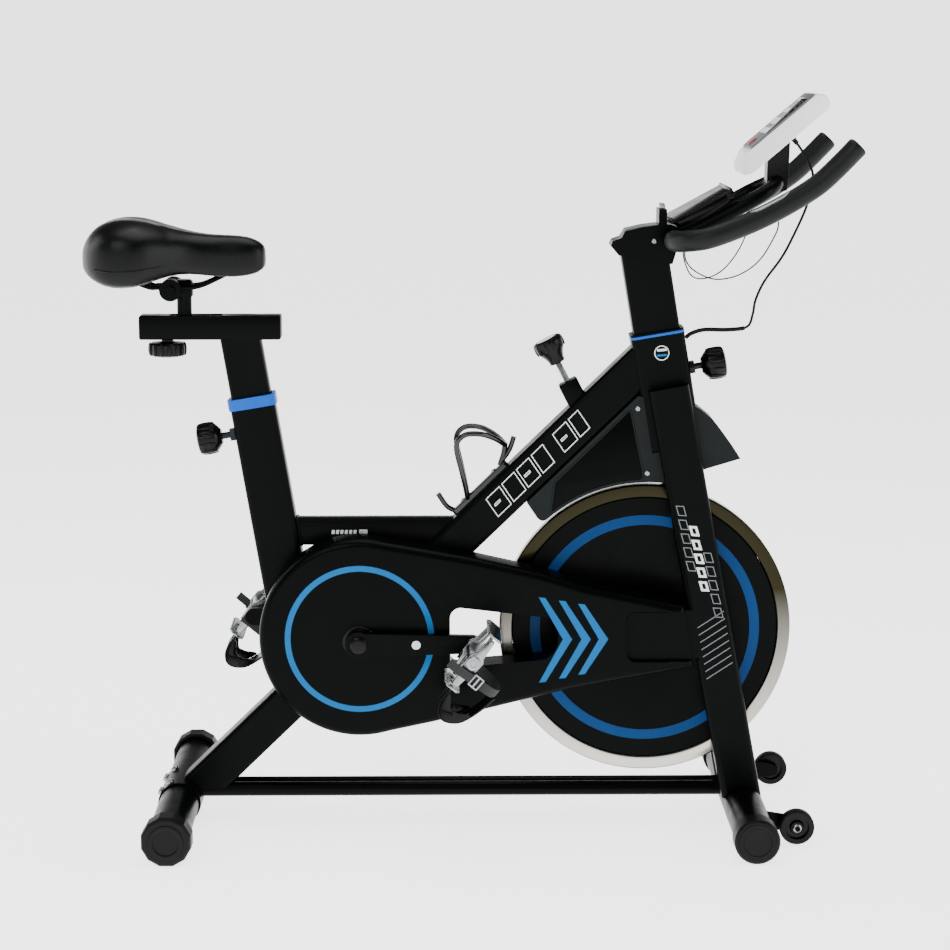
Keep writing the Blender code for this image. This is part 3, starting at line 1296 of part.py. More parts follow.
tray_at = over_loop(0.019, TRAY_LIFT)
tray = box("device_tray", (TRAY_LENGTH, TRAY_WIDTH, TRAY_THICKNESS), (tray_at[0], 0, tray_at[1]),
           (0, -TRAY_ANGLE, 0), 0.0015)
for side in (-1, 1):
    cheek_outline = [over_loop(-0.020, LOOP_RADIUS + 0.0055), over_loop(0.010, LOOP_RADIUS + 0.0008),
                     over_loop(0.056, LOOP_RADIUS + 0.0008), over_loop(0.062, TRAY_LIFT),
                     over_loop(-0.026, TRAY_LIFT)]
    cheek_y = side * LOOP_HALF_WIDTH
    join(tray, side_prism("tray_cheek_%d" % side, [cheek_outline], cheek_y - 0.003, cheek_y + 0.003))
lip_at = over_loop(0.063, TRAY_LIFT - 0.006)
join(tray, cylinder("tray_lip", 0.0065, TRAY_WIDTH - 0.006, (lip_at[0], 0, lip_at[1]), ACROSS, 20))
finish(tray, LOOK_PLASTIC)

# ---------------------------------------------------------------- monitor


def on_monitor(along_face, out):
    """A point on the monitor, measured up its face and out of it, from its middle."""
    x = MONITOR_X + along_face * math.cos(MONITOR_ANGLE) - out * math.sin(MONITOR_ANGLE)
    z = MONITOR_Z + along_face * math.sin(MONITOR_ANGLE) + out * math.cos(MONITOR_ANGLE)
    return (x, z)


half_length = MONITOR_LENGTH / 2
half_thick = MONITOR_THICKNESS / 2
MONITOR_OUTLINE = [
    (-half_length, -0.0080), (-half_length + 0.0130, -half_thick), (half_length - 0.0080, -half_thick),
    (half_length, -half_thick + 0.0080), (half_length, half_thick - 0.0080), (half_length - 0.0080, half_thick),
    (-half_length + 0.0260, half_thick), (-half_length + 0.0060, half_thick - 0.0100),
]
housing = side_prism("monitor_housing", [[on_monitor(a, b) for a, b in MONITOR_OUTLINE]],
                     -MONITOR_WIDTH / 2, MONITOR_WIDTH / 2)
soft_edges = housing.modifiers.new("edges", "BEVEL")
soft_edges.width = 0.004
soft_edges.segments = 2
soft_edges.limit_method = "ANGLE"
BUTTON_ALONG = -0.036
BUTTON_RADIUS = 0.0065
button_bore = on_monitor(BUTTON_ALONG, half_thick)
cut(housing, cylinder("button_bore", BUTTON_RADIUS + RUN, 0.008, (button_bore[0], 0, button_bore[1]),
                      (0, -MONITOR_ANGLE, 0), 24, CUTTERS))
finish(housing, LOOK_WHITE)
BUTTON_HEIGHT = 0.0045
BUTTON_REST = 0.0013
button_at = on_monitor(BUTTON_ALONG, half_thick + BUTTON_REST - BUTTON_HEIGHT / 2)
button = cylinder("monitor_button", BUTTON_RADIUS, BUTTON_HEIGHT, (button_at[0], 0, button_at[1]),
                  (0, -MONITOR_ANGLE, 0), 24)
finish(button, ((0.55, 0.01, 0.015), 0.40, 0.0), False)

loop_front = LOOP_ROUTE[-1]
BRACKET_PLATE = [
    on_monitor(-0.050, -half_thick - GAP),
    on_monitor(0.030, -half_thick - GAP),
    on_monitor(0.030, -half_thick - 0.0050),
    on_monitor(0.006, -half_thick - 0.0070),
    (loop_front[0] + 0.0170, loop_front[2] + 0.0120),
    (loop_front[0] + 0.0150, loop_front[2] - 0.0120),
    (loop_front[0] - 0.0040, loop_front[2] - 0.0155),
    (loop_front[0] - 0.0150, loop_front[2] - 0.0040),
    (loop_front[0] - 0.0150, loop_front[2] + 0.0120),
    on_monitor(-0.036, -half_thick - 0.0060),
    on_monitor(-0.050, -half_thick - 0.0040),
]
monitor_bracket = side_prism("monitor_bracket", [BRACKET_PLATE], -0.017, 0.017)
cut(monitor_bracket, pipe("bracket_bore", whole_loop, LOOP_RADIUS + GAP, 2, collection=CUTTERS))
finish(monitor_bracket, LOOK_PLASTIC)

# ---------------------------------------------------------------- tension knob, rod and brake
ARM_THICK = 0.008
BRAKE_ARM_LENGTH = 0.096
BRAKE_ARM_ANGLE = math.radians(9.0)
BRAKE_ARM_WIDTH = 0.020


def on_arm(distance, lift):
    """A point along the brake arm from its pivot, and above its middle line."""
    x = BRAKE_PIVOT_X + distance * math.cos(BRAKE_ARM_ANGLE) - lift * math.sin(BRAKE_ARM_ANGLE)
    z = BRAKE_PIVOT_Z + distance * math.sin(BRAKE_ARM_ANGLE) + lift * math.cos(BRAKE_ARM_ANGLE)
    return (x, z)


arm_middle = on_arm(BRAKE_ARM_LENGTH / 2, 0)
brake_arm = box("brake_arm", (BRAKE_ARM_LENGTH, BRAKE_ARM_WIDTH, ARM_THICK), (arm_middle[0], 0, arm_middle[1]),
                (0, -BRAKE_ARM_ANGLE, 0))
join(brake_arm, cylinder("brake_pin", BRAKE_PIN_RADIUS, 2 * GUARD_HALF - 0.001, (BRAKE_PIVOT_X, 0, BRAKE_PIVOT_Z),
                         ACROSS, 20),
     cylinder("brake_eye", 0.0075, BRAKE_ARM_WIDTH, (BRAKE_PIVOT_X, 0, BRAKE_PIVOT_Z), ACROSS, 24))
finish(brake_arm, LOOK_STEEL)
PAD_LENGTH = 0.052
PAD_HEIGHT = 0.024
pad_at = on_arm(BRAKE_ARM_LENGTH - 0.004 - PAD_LENGTH / 2, -ARM_THICK / 2 - GAP - PAD_HEIGHT / 2)
brake_pad = box("brake_pad", (PAD_LENGTH, BRAKE_ARM_WIDTH, PAD_HEIGHT), (pad_at[0], 0, pad_at[1]),
                (0, -BRAKE_ARM_ANGLE, 0))
cut(brake_pad, cylinder("pad_curve", WHEEL_RADIUS + BRAKE_GAP, 0.08, (WHEEL_X, 0, WHEEL_Z), ACROSS, 128, CUTTERS))
finish(brake_pad, ((0.10, 0.075, 0.045), 0.9, 0.0))

# the rod ends just above the arm
tan_arm = math.tan(BRAKE_ARM_ANGLE)
arm_top_z = BRAKE_PIVOT_Z + ARM_THICK / 2 / math.cos(BRAKE_ARM_ANGLE) - BRAKE_PIVOT_X * tan_arm
rod_reach = (TENSION_Z - arm_top_z - TENSION_X * tan_arm) / (math.cos(TENSION_TILT) + math.sin(TENSION_TILT) * tan_arm)
ROD_CLEARANCE = 0.0032
rod_end = rod_reach - ROD_CLEARANCE
ROD_START = -0.030
rod_at = tension_point((ROD_START + rod_end) / 2)
tension_rod = cylinder("tension_rod", TENSION_ROD_RADIUS, rod_end - ROD_START, (rod_at[0], 0, rod_at[1]),
                       TENSION_ROTATION, 24)
finish(tension_rod, LOOK_STEEL, True)
KNOB_BOTTOM = -0.016
KNOB_TALL = 0.040
knob_profile = [
    (0.0, KNOB_TALL),
    (0.0190, KNOB_TALL),
    (0.0225, KNOB_TALL - 0.0020),
    (0.0237, KNOB_TALL - 0.0060),
    (0.0230, 0.0250),
    (0.0170, 0.0140),
    (0.0120, 0.0060),
    (0.0110, 0.0),
    (TENSION_ROD_RADIUS + RUN, 0.0),
    (TENSION_ROD_RADIUS + RUN, KNOB_BOTTOM - ROD_START + RUN),
    (0.0, KNOB_BOTTOM - ROD_START + RUN),
]
knob_base = tension_point(KNOB_BOTTOM)
tension_knob = turned("tension_knob", knob_profile, (knob_base[0], 0, knob_base[1]), TENSION_ROTATION, 28)
finish(tension_knob, LOOK_PLASTIC, True)

# ---------------------------------------------------------------- cords
SENSOR_ROUTE = [
    (0.3282, 0.000, 0.7432),
    (0.3370, 0.000, 0.7500),
    (0.3560, -0.004, 0.7560),
    (0.3900, -0.014, 0.7570),
    (0.4180, -0.020, 0.7620),
    (0.4260, -0.020, 0.7800),
    (0.4300, -0.020, 0.8020),
    (0.4430, -0.018, 0.8300),
    (0.4680, -0.014, 0.8640),
    (0.4850, -0.010, 0.8950),
    (0.5050, -0.006, 0.9400),
    (0.5140, -0.004, 0.9800),
    (0.5080, -0.002, 1.0050),
    (0.4980, 0.000, 1.0210),
    (0.4905, 0.000, 1.0318),
]
sensor = pipe("sensor_cable", smooth_path(SENSOR_ROUTE, 0.012), 0.0020, 1)
finish(sensor, LOOK_RUBBER, True)


def pulse_route(side, low):
    """A pulse wire from beside the post to the underside of one grip."""
    return [
        (0.3235, side * 0.010, 0.8850),
        (0.3260, side * 0.018, 0.8600),
        (0.3400, side * 0.040, 0.8450 - low),
        (0.3650, side * 0.075, 0.8380 - low),
        (0.3950, side * 0.110, 0.8480 - low),
        (0.4220, side * 0.132, 0.8720 - low / 2),
        (0.4420, side * BAR_HALF_WIDTH, 0.9100),
        (0.4460, side * BAR_HALF_WIDTH, 0.9272),
    ]


for label, side, low in (("right", -1, 0.0), ("left", 1, 0.012)):
    wire = pipe("pulse_cable_" + label, smooth_path(pulse_route(side, low), 0.010), 0.0011, 1)
    finish(wire, LOOK_RUBBER, True)
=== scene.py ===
"""Visual model of an indoor training bike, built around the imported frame."""

import json
import logging
import math
from collections.abc import Callable, Iterable, Sequence
from dataclasses import dataclass
from enum import Enum
from typing import Any

import bmesh
import bpy
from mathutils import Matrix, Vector

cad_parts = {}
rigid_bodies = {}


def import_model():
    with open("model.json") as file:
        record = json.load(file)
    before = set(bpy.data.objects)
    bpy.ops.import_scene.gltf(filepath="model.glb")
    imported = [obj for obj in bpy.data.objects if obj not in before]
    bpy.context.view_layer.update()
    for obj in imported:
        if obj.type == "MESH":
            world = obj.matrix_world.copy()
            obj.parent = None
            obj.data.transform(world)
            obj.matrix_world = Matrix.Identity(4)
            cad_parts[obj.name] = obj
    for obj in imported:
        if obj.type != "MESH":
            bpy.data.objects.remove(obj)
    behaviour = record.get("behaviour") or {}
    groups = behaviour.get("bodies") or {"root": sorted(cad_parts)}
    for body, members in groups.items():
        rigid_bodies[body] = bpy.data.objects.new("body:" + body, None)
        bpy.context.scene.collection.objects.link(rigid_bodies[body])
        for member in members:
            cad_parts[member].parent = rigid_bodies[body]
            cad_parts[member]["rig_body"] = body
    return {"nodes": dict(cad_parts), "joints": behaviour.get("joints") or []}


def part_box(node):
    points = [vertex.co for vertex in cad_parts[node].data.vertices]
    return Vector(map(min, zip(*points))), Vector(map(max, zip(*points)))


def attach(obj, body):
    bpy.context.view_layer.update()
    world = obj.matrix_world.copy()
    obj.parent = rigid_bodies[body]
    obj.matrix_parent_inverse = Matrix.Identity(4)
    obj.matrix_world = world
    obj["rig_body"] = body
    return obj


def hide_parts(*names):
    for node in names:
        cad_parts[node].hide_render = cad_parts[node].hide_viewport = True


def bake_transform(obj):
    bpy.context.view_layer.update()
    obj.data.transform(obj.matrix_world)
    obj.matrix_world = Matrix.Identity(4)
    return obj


LOG = logging.getLogger("training_bike")
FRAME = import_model()
Flat = tuple[float, float]
Node = bpy.types.Node
Object = bpy.types.Object
Socket = bpy.types.NodeSocket

MM = 0.001
FORWARD = Vector((1, 0, 0))
LEFT = Vector((0, 1, 0))
UP = Vector((0, 0, 1))


class Slot(Enum):
    """The record's material slots."""

    POWDER = "powder_black"
    BAR = "bar_black"
    PLASTIC = "black_plastic"
    BLUE = "blue_plastic"
    WHITE = "white_plastic"
    RED = "red_plastic"
    RUBBER = "black_rubber"
    SADDLE = "saddle_cover"
    IRON = "flywheel_iron"
    STEEL = "bright_steel"
    FELT = "pad_felt"


# ------------------------------------------------------------------ nodes and finishes
def linear(code: str) -> tuple[float, float, float, float]:
    """Turns an sRGB hex colour into a linear one with alpha.

    Args:
        code: The colour as #rrggbb.

    Returns:
        Red, green, blue and alpha, as the shader takes them.
    """
    shares = [int(code[start:start + 2], 16) / 255 for start in (1, 3, 5)]
    red, green, blue = (s / 12.92 if s <= 0.04045 else ((s + 0.055) / 1.055) ** 2.4 for s in shares)
    return red, green, blue, 1.0


def add_node(tree: bpy.types.NodeTree, kind: str, inputs: dict[Any, Any] | None = None,
             **settings: Any) -> Node:
    """Adds a node with its settings, values and links.

    Args:
        tree: The shader or geometry tree.
        kind: Blender's identifier of the node type.
        inputs: Socket name or number to a value, or to the output socket that feeds it.
        settings: The node's own properties.

    Returns:
        The new node.
    """
    made = tree.nodes.new(kind)
    for key, value in settings.items():
        setattr(made, key, value)
    for key, value in (inputs or {}).items():
        if isinstance(value, Socket):
            tree.links.new(value, made.inputs[key])
        else:
            made.inputs[key].default_value = value
    return made


@dataclass(frozen=True)
class Finish:
    """A surface with fine grain: the shader's main values, and the size and depth of its grain.

    grain_mm is the real spacing of the grain, drawn no finer than shows. mottle is how far the
    colour wanders between its two shades, and patchy how far the roughness does.
    """

    name: str
    colour: str
    second: str
    roughness: float
    metallic: float = 0.0
    ior: float = 1.5
    specular: float = 0.5
    coat: float = 0.0
    grain_mm: float = 2.0
    depth_mm: float = 0.02
    mottle_mm: float = 60.0
    patchy: float = 0.05

    def material(self) -> bpy.types.Material:
        """Gives this finish's material, which is built once.

        Returns:
            The material, built once and then reused.
        """
        return bpy.data.materials.get(self.name) or self.build()

    def build(self) -> bpy.types.Material:
        """Builds the material.

        Returns:
            The new material.
        """
        made = bpy.data.materials.new(self.name)
        made.use_nodes = True
        made.diffuse_color = linear(self.colour)
        tree = made.node_tree
        shader = tree.nodes["Principled BSDF"]
        shader.inputs["Metallic"].default_value = self.metallic
        shader.inputs["IOR"].default_value = self.ior
        shader.inputs["Specular IOR Level"].default_value = self.specular
        shader.inputs["Coat Weight"].default_value = self.coat
        shader.inputs["Coat Roughness"].default_value = 0.12
        place = add_node(tree, "ShaderNodeTexCoord").outputs["Object"]
        tree.links.new(self.colour_of(tree, place), shader.inputs["Base Color"])
        tree.links.new(self.roughness_of(tree, place), shader.inputs["Roughness"])
        relief = add_node(tree, "ShaderNodeBump", {"Strength": 1.0, "Distance": self.depth_mm * MM,
                                                   "Height": self.relief_of(tree, place)})
        tree.links.new(relief.outputs["Normal"], shader.inputs["Normal"])
        return made

    def colour_of(self, tree: bpy.types.NodeTree, place: Socket) -> Socket:
        """Makes the colour, which wanders slowly between the two shades.

        Args:
            tree: The material's tree.
            place: The point on the object.

        Returns:
            The colour socket.
        """
        cloud = add_node(tree, "ShaderNodeTexNoise", {"Vector": place, "Scale": 1 / (self.mottle_mm * MM),
                                                      "Detail": 3.0, "Roughness": 0.55})
        mixed = add_node(tree, "ShaderNodeMix", {0: cloud.outputs[0], 6: linear(self.colour),
                                                 7: linear(self.second)}, data_type="RGBA")
        return mixed.outputs[2]

    def roughness_of(self, tree: bpy.types.NodeTree, place: Socket) -> Socket:
        """Makes the roughness, which is a little uneven, as handled surfaces are.

        Args:
            tree: The material's tree.
            place: The point on the object.

        Returns:
            The roughness socket.
        """
        cloud = add_node(tree, "ShaderNodeTexNoise",
                         {"Vector": place, "Scale": 1 / (self.mottle_mm * 0.4 * MM),
                          "Detail": 4.0})
        spread = add_node(tree, "ShaderNodeMapRange",
                          {"Value": cloud.outputs[0], "From Min": 0.3, "From Max": 0.7,
                           "To Min": self.roughness - self.patchy,
                           "To Max": self.roughness + self.patchy})
        return spread.outputs[0]

    def relief_of(self, tree: bpy.types.NodeTree, place: Socket) -> Socket:
        """Makes the fine relief of the surface.

        Args:
            tree: The material's tree.
            place: The point on the object.

        Returns:
            The height socket.
        """
        grain = add_node(tree, "ShaderNodeTexNoise", {"Vector": place, "Scale": 1 / (self.grain_mm * MM),
                                                      "Detail": 2.0, "Roughness": 0.5})
        return grain.outputs[0]


@dataclass(frozen=True)
class GrainedVinyl(Finish):
    """Embossed vinyl: cells with creases between them, as on a saddle cover."""

    def relief_of(self, tree: bpy.types.NodeTree, place: Socket) -> Socket:
        """Makes the leather-like cells of the embossing.

        Args:
            tree: The material's tree.
            place: The point on the object.

        Returns:
            The height socket.
        """
        wander = add_node(tree, "ShaderNodeTexNoise",
                          {"Vector": place, "Scale": 1 / (self.grain_mm * 2 * MM)})
        bent = add_node(tree, "ShaderNodeVectorMath",
                        {0: wander.outputs["Color"], "Scale": self.grain_mm * MM},
                        operation="SCALE")
        moved = add_node(tree, "ShaderNodeVectorMath", {0: place, 1: bent.outputs[0]}, operation="ADD")
        cells = add_node(tree, "ShaderNodeTexVoronoi", {"Vector": moved.outputs[0],
                                                        "Scale": 1 / (self.grain_mm * MM)},
                         feature="DISTANCE_TO_EDGE")
        crease = add_node(tree, "ShaderNodeMapRange",
                          {"Value": cells.outputs[0], "From Min": 0.0, "From Max": 0.18})
        return crease.outputs[0]


@dataclass(frozen=True)
class TurnedMetal(Finish):
    """Metal finished on a lathe: fine rings round an axle that runs along Y, and a colour that paints a
    reflection, pale low on the wheel and dark high up.
    """

    axle_x: float = 0.0
    axle_z: float = 0.0
    # reach sets how far below the axle the painted reflection starts to fade from pale to dark
    reach: float = 0.2

    def colour_of(self, tree: bpy.types.NodeTree, place: Socket) -> Socket:
        """Makes the colour, a painted reflection that is pale at the bottom of the wheel and darkens towards
        its top.

        Args:
            tree: The material's tree.
            place: The point on the object.

        Returns:
            The colour socket.
        """
        parts = add_node(tree, "ShaderNodeSeparateXYZ", {0: place})
        # painted reflection: the colour goes from the pale shade low on the wheel to the dark shade high up
        rise = add_node(tree, "ShaderNodeMapRange",
                        {"Value": parts.outputs["Z"], "From Min": self.axle_z - self.reach,
                         "From Max": self.axle_z + self.reach * 0.3})
        mixed = add_node(tree, "ShaderNodeMix", {0: rise.outputs[0], 6: linear(self.colour),
                                                 7: linear(self.second)},
                         data_type="RGBA")
        return mixed.outputs[2]

    def relief_of(self, tree: bpy.types.NodeTree, place: Socket) -> Socket:
        """Makes the rings of the cutting tool.

        Args:
            tree: The material's tree.
            place: The point on the object.

        Returns:
            The height socket.
        """
        centred = add_node(tree, "ShaderNodeMapping",
                           {"Vector": place, "Location": (-self.axle_x, 0, -self.axle_z)})
        flat = add_node(tree, "ShaderNodeVectorMath", {0: centred.outputs[0], 1: (1, 0, 1)},
                        operation="MULTIPLY")
        radius = add_node(tree, "ShaderNodeVectorMath", {0: flat.outputs[0]}, operation="LENGTH")
        along = add_node(tree, "ShaderNodeCombineXYZ", {"X": radius.outputs["Value"]})
        rings = add_node(tree, "ShaderNodeTexNoise",
                         {"Vector": along.outputs[0], "Scale": 1 / (self.grain_mm * MM),
                          "Detail": 3.0})
        return rings.outputs[0]


# Powder coat on steel: baked satin paint, with the slight orange peel that breaks up its highlights.
POWDER = Finish("satin_powder_coat", "#030404", "#050606", 0.32, specular=0.035, grain_mm=2.2, depth_mm=0.025)
# Moulded ABS with a light spark texture: dull black that goes soft grey along its edges.
COVER = Finish("moulded_abs", "#020303", "#040505", 0.30, specular=0.035, grain_mm=1.6, depth_mm=0.02)
# Polypropylene with a heavier texture, greyer than the covers.
GUARD = Finish("textured_polypropylene", "#060c0c", "#0a1212", 0.46, specular=0.12, grain_mm=1.6,
               depth_mm=0.05)
# Injection-moulded nylon of knobs and clips.
NYLON = Finish("moulded_nylon", "#030303", "#050606", 0.28, specular=0.12, grain_mm=2.5, depth_mm=0.015)
# Nitrile foam sleeve: closed cells leave a dull, faintly pitted skin.
FOAM = Finish("nitrile_foam", "#060808", "#0a0c0c", 0.48, specular=0.14, grain_mm=1.4, depth_mm=0.10)
# Moulded rubber of caps, wheels and cords.
RUBBER = Finish("moulded_rubber", "#040404", "#070707", 0.48, specular=0.12, grain_mm=1.8, depth_mm=0.04)
# Expanded vinyl over foam, embossed like leather.
VINYL = GrainedVinyl("saddle_vinyl", "#020303", "#040505", 0.32, specular=0.14, grain_mm=2.6, depth_mm=0.07)
# Zinc-plated steel of fasteners and pins: bright, slightly blue, softly brushed.
ZINC = Finish("zinc_plated_steel", "#8f9294", "#7c8082", 0.28, metallic=1.0, grain_mm=1.2, depth_mm=0.015)
# Cast aluminium of the pedal bodies, tumbled bright.
CAST = Finish("tumbled_cast_aluminium", "#989b9b", "#6f7373", 0.26, metallic=1.0, grain_mm=2.4, depth_mm=0.05,
              mottle_mm=12.0)
# Steel blackened in an oil bath: dark, with a soft sheen.
BLACKENED = Finish("blackened_steel", "#26292b", "#1b1e20", 0.34, metallic=1.0, grain_mm=1.2, depth_mm=0.012)
# Satin stainless of the pulse sensor plates.
STAINLESS = Finish("satin_stainless", "#7c8484", "#6c7474", 0.24, metallic=1.0, grain_mm=1.2, depth_mm=0.008)
# Screen-printed and moulded blue.
BLUE_INK = Finish("blue_screen_ink", "#00568e", "#005e98", 0.42, specular=0.10, grain_mm=2.0, depth_mm=0.008)
BLUE_COLLAR = Finish("blue_polypropylene", "#0048a4", "#0050ae", 0.38, specular=0.14, grain_mm=1.6,
                     depth_mm=0.02)
# White ABS of the monitor, with its grey bezel and dark acrylic window.
WHITE = Finish("white_abs", "#e9e9e7", "#e2e2e0", 0.34, specular=0.5, grain_mm=1.5, depth_mm=0.01)
BEZEL = Finish("grey_bezel_print", "#55585a", "#4c4f51", 0.38, grain_mm=1.5, depth_mm=0.008)
WINDOW = Finish("smoked_acrylic", "#050606", "#070808", 0.12, specular=0.12, grain_mm=30, depth_mm=0.002,
                patchy=0.01)
SEGMENTS = Finish("grey_display_segments", "#2c332c", "#313931", 0.3, grain_mm=3, depth_mm=0.002)
RED = Finish("red_abs", "#b81c28", "#a31722", 0.36, grain_mm=1.5, depth_mm=0.01)
# White vinyl lettering film, used for plain marks.
FILM = Finish("white_vinyl_film", "#dcdfe0", "#d0d4d5", 0.45, grain_mm=2.0, depth_mm=0.006)
GREY_FILM = Finish("grey_vinyl_film", "#5d6466", "#555c5e", 0.45, grain_mm=2.0, depth_mm=0.006)
FELT = Finish("pressed_felt", "#6b5a44", "#574935", 0.92, specular=0.2, grain_mm=1.0, depth_mm=0.25)


# ------------------------------------------------------------------ mesh helpers
def size_of(node: str) -> Vector:
    """Gives a CAD node's overall size.

    Args:
        node: The CAD node's name.

    Returns:
        Its extent along each axis.
    """
    low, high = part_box(node)
    return high - low


def middle_of(node: str) -> Vector:
    """Gives the middle of a CAD node's box.

    Args:
        node: The CAD node's name.

    Returns:
        The middle of its box.
    """
    low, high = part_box(node)
    return (low + high) / 2


def mesh_object(name: str, work: bmesh.types.BMesh) -> Object:
    """Turns a bmesh into a linked object and frees it.

    Args:
        name: The new object's name.
        work: The bmesh, in world coordinates.

    Returns:
        The object.
    """
    mesh = bpy.data.meshes.new(name)
    work.to_mesh(mesh)
    work.free()
    made = bpy.data.objects.new(name, mesh)
    bpy.context.scene.collection.objects.link(made)
    return made


def soften(piece: Object, sharp_deg: float = 35.0) -> Object:
    """Shades a piece smooth, with its edges above an angle kept sharp.

    Args:
        piece: The mesh to shade.
        sharp_deg: Edges sharper than this stay crisp.

    Returns:
        The same piece.
    """
    for polygon in piece.data.polygons:
        polygon.use_smooth = True
    piece.data.set_sharp_from_angle(angle=math.radians(sharp_deg))
    return piece


def rounded_edges(piece: Object, width: float, segments: int = 3, angle_deg: float = 40.0) -> Object:
    """Adds a live rounding to a piece's edges.

    Args:
        piece: The piece.
        width: The rounding's width in metres.
        segments: Its number of steps.
        angle_deg: The edges above this angle are rounded.

    Returns:
        The piece.
    """
    bevel = piece.modifiers.new("rounded_edges", "BEVEL")
    bevel.width = width
    bevel.segments = segments
    bevel.limit_method = "ANGLE"
    bevel.angle_limit = math.radians(angle_deg)
    bevel.harden_normals = True
    return piece


def settle(piece: Object, body: str, finish: Finish, slot: Slot, *nodes: str) -> Object:
    """Gives a finished piece its material and body, and hides the CAD nodes that it stands for.

    Args:
        piece: The piece, in its place.
        body: The CAD body that it rides on.
        finish: Its surface.
        slot: Not used.
        nodes: The CAD nodes that it replaces.

    Returns:
        The piece.
    """
    piece.data.materials.clear()
    piece.data.materials.append(finish.material())
    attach(piece, body)
    if nodes:
        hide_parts(*nodes)
    LOG.info("%s rides on %s", piece.name, body)
    return piece


def refined(node: str, rounding: float = 0.0, sharp_deg: float = 35.0) -> Object:
    """Copies a CAD node as a clean shape, shaded smooth and with its edges rounded.

    Args:
        node: The CAD node.
        rounding: The width of the edge rounding, in metres.
        sharp_deg: The angle above which an edge stays sharp.

    Returns:
        The copy.
    """
    work = bmesh.new()
    work.from_mesh(FRAME["nodes"][node].data)
    bmesh.ops.remove_doubles(work, verts=work.verts, dist=0.00001)
    bmesh.ops.dissolve_limit(work, angle_limit=math.radians(0.6), verts=work.verts, edges=work.edges)
    copy = soften(mesh_object(node + "_shape", work), sharp_deg)
    if rounding:
        rounded_edges(copy, rounding)
    return copy


def arc(centre: Flat, radius: float, start: float, end: float, steps: int) -> list[Flat]:
    """Gives points on an arc, both ends included, with its angles in degrees.

    Args:
        centre: The arc's centre.
        radius: Its radius.
        start: Its first angle in degrees.
        end: Its last angle in degrees.
        steps: How many chords it has.

    Returns:
        The points along it.
    """
    angles = [math.radians(start + (end - start) * step / steps) for step in range(steps + 1)]
    return [(centre[0] + radius * math.cos(a), centre[1] + radius * math.sin(a)) for a in angles]


def shifted(loop: Sequence[Flat], offset: float) -> list[Flat]:
    """Moves a closed outline outwards by offset, or inwards where it is below zero.

    Args:
        loop: The outline.
        offset: The distance.

    Returns:
        As many points as the outline has.
    """
    count = len(loop)
    area = sum(loop[i][0] * loop[(i + 1) % count][1] - loop[(i + 1) % count][0] * loop[i][1]
               for i in range(count))
    sign = 1 if area > 0 else -1
    moved = []
    for index in range(count):
        before, here, after = (Vector(loop[(index + step) % count]) for step in (-1, 0, 1))
        first, second = (here - before).normalized(), (after - here).normalized()
        normal = (Vector((first.y + second.y, -first.x - second.x)) * sign).normalized()
        edge = Vector((first.y, -first.x)) * sign
        move = offset / max(normal.dot(edge), 0.5)
        moved.append((here.x + normal.x * move, here.y + normal.y * move))
    return moved


def rounded_corners(loop: Sequence[Flat], radius: float, steps: int = 5) -> list[Flat]:
    """Rounds every corner of an outline.

    Args:
        loop: The outline.
        radius: How far from the corner the rounding starts, at most half of the shorter side.
        steps: The steps of each corner.

    Returns:
        The rounded outline.
    """
    points = []
    count = len(loop)
    for index in range(count):
        before, here, after = (Vector(loop[(index + step) % count]) for step in (-1, 0, 1))
        reach = min(radius, (before - here).length * 0.49, (after - here).length * 0.49)
        start = here + (before - here).normalized() * reach
        end = here + (after - here).normalized() * reach
        for step in range(steps + 1):
            t = step / steps
            point = start * (1 - t) ** 2 + here * 2 * t * (1 - t) + end * t ** 2
            points.append((point.x, point.y))
    return points


@dataclass(frozen=True)
class Plane:
    """A flat place on the bike: where flat outlines are drawn, and the way out of it."""

    origin: Vector
    across: Vector
    along: Vector

    @property
    def out(self) -> Vector:
        """The way out of the plane.

        Returns:
            The unit normal.
        """
        return self.across.cross(self.along).normalized()

    def point(self, flat: Flat, height: float = 0.0) -> Vector:
        """Gives the world point of a flat point at a height above the plane.

        Args:
            flat: The place in the plane.
            height: How far it stands off the plane.

        Returns:
            The place in space.
        """
        return self.origin + self.across * flat[0] + self.along * flat[1] + self.out * height


def side_plane(y: float, side: int = -1) -> Plane:
    """Gives a plane whose flat points are world X and Z, facing the given side.

    Args:
        y: Where the plane stands.
        side: Negative to face right, positive to face left.

    Returns:
        The plane.
    """
    if side < 0:
        return Plane(Vector((0, y, 0)), FORWARD.copy(), UP.copy())
    return Plane(Vector((0, y, 0)), -FORWARD, UP.copy())


def lofted(name: str, rings: Sequence[Sequence[Vector]], closed_ends: bool = True,
           cyclic: bool = False) -> Object:
    """Joins rings of points with faces.

    Args:
        name: The piece's name.
        rings: Rings with equal counts.
        closed_ends: Whether the first and last ring are filled.
        cyclic: Whether the last ring joins the first.

    Returns:
        The piece.
    """
    work = bmesh.new()
    made = [[work.verts.new(point) for point in ring] for ring in rings]
    pairs = list(zip(made, made[1:])) + ([(made[-1], made[0])] if cyclic else [])
    for first, second in pairs:
        for index in range(len(first)):
            after = (index + 1) % len(first)
            work.faces.new((first[index], first[after], second[after], second[index]))
    if closed_ends and not cyclic:
        work.faces.new(list(reversed(made[0])))
        work.faces.new(made[-1])
    bmesh.ops.remove_doubles(work, verts=work.verts, dist=0.000001)
    bmesh.ops.recalc_face_normals(work, faces=work.faces)
    return mesh_object(name, work)


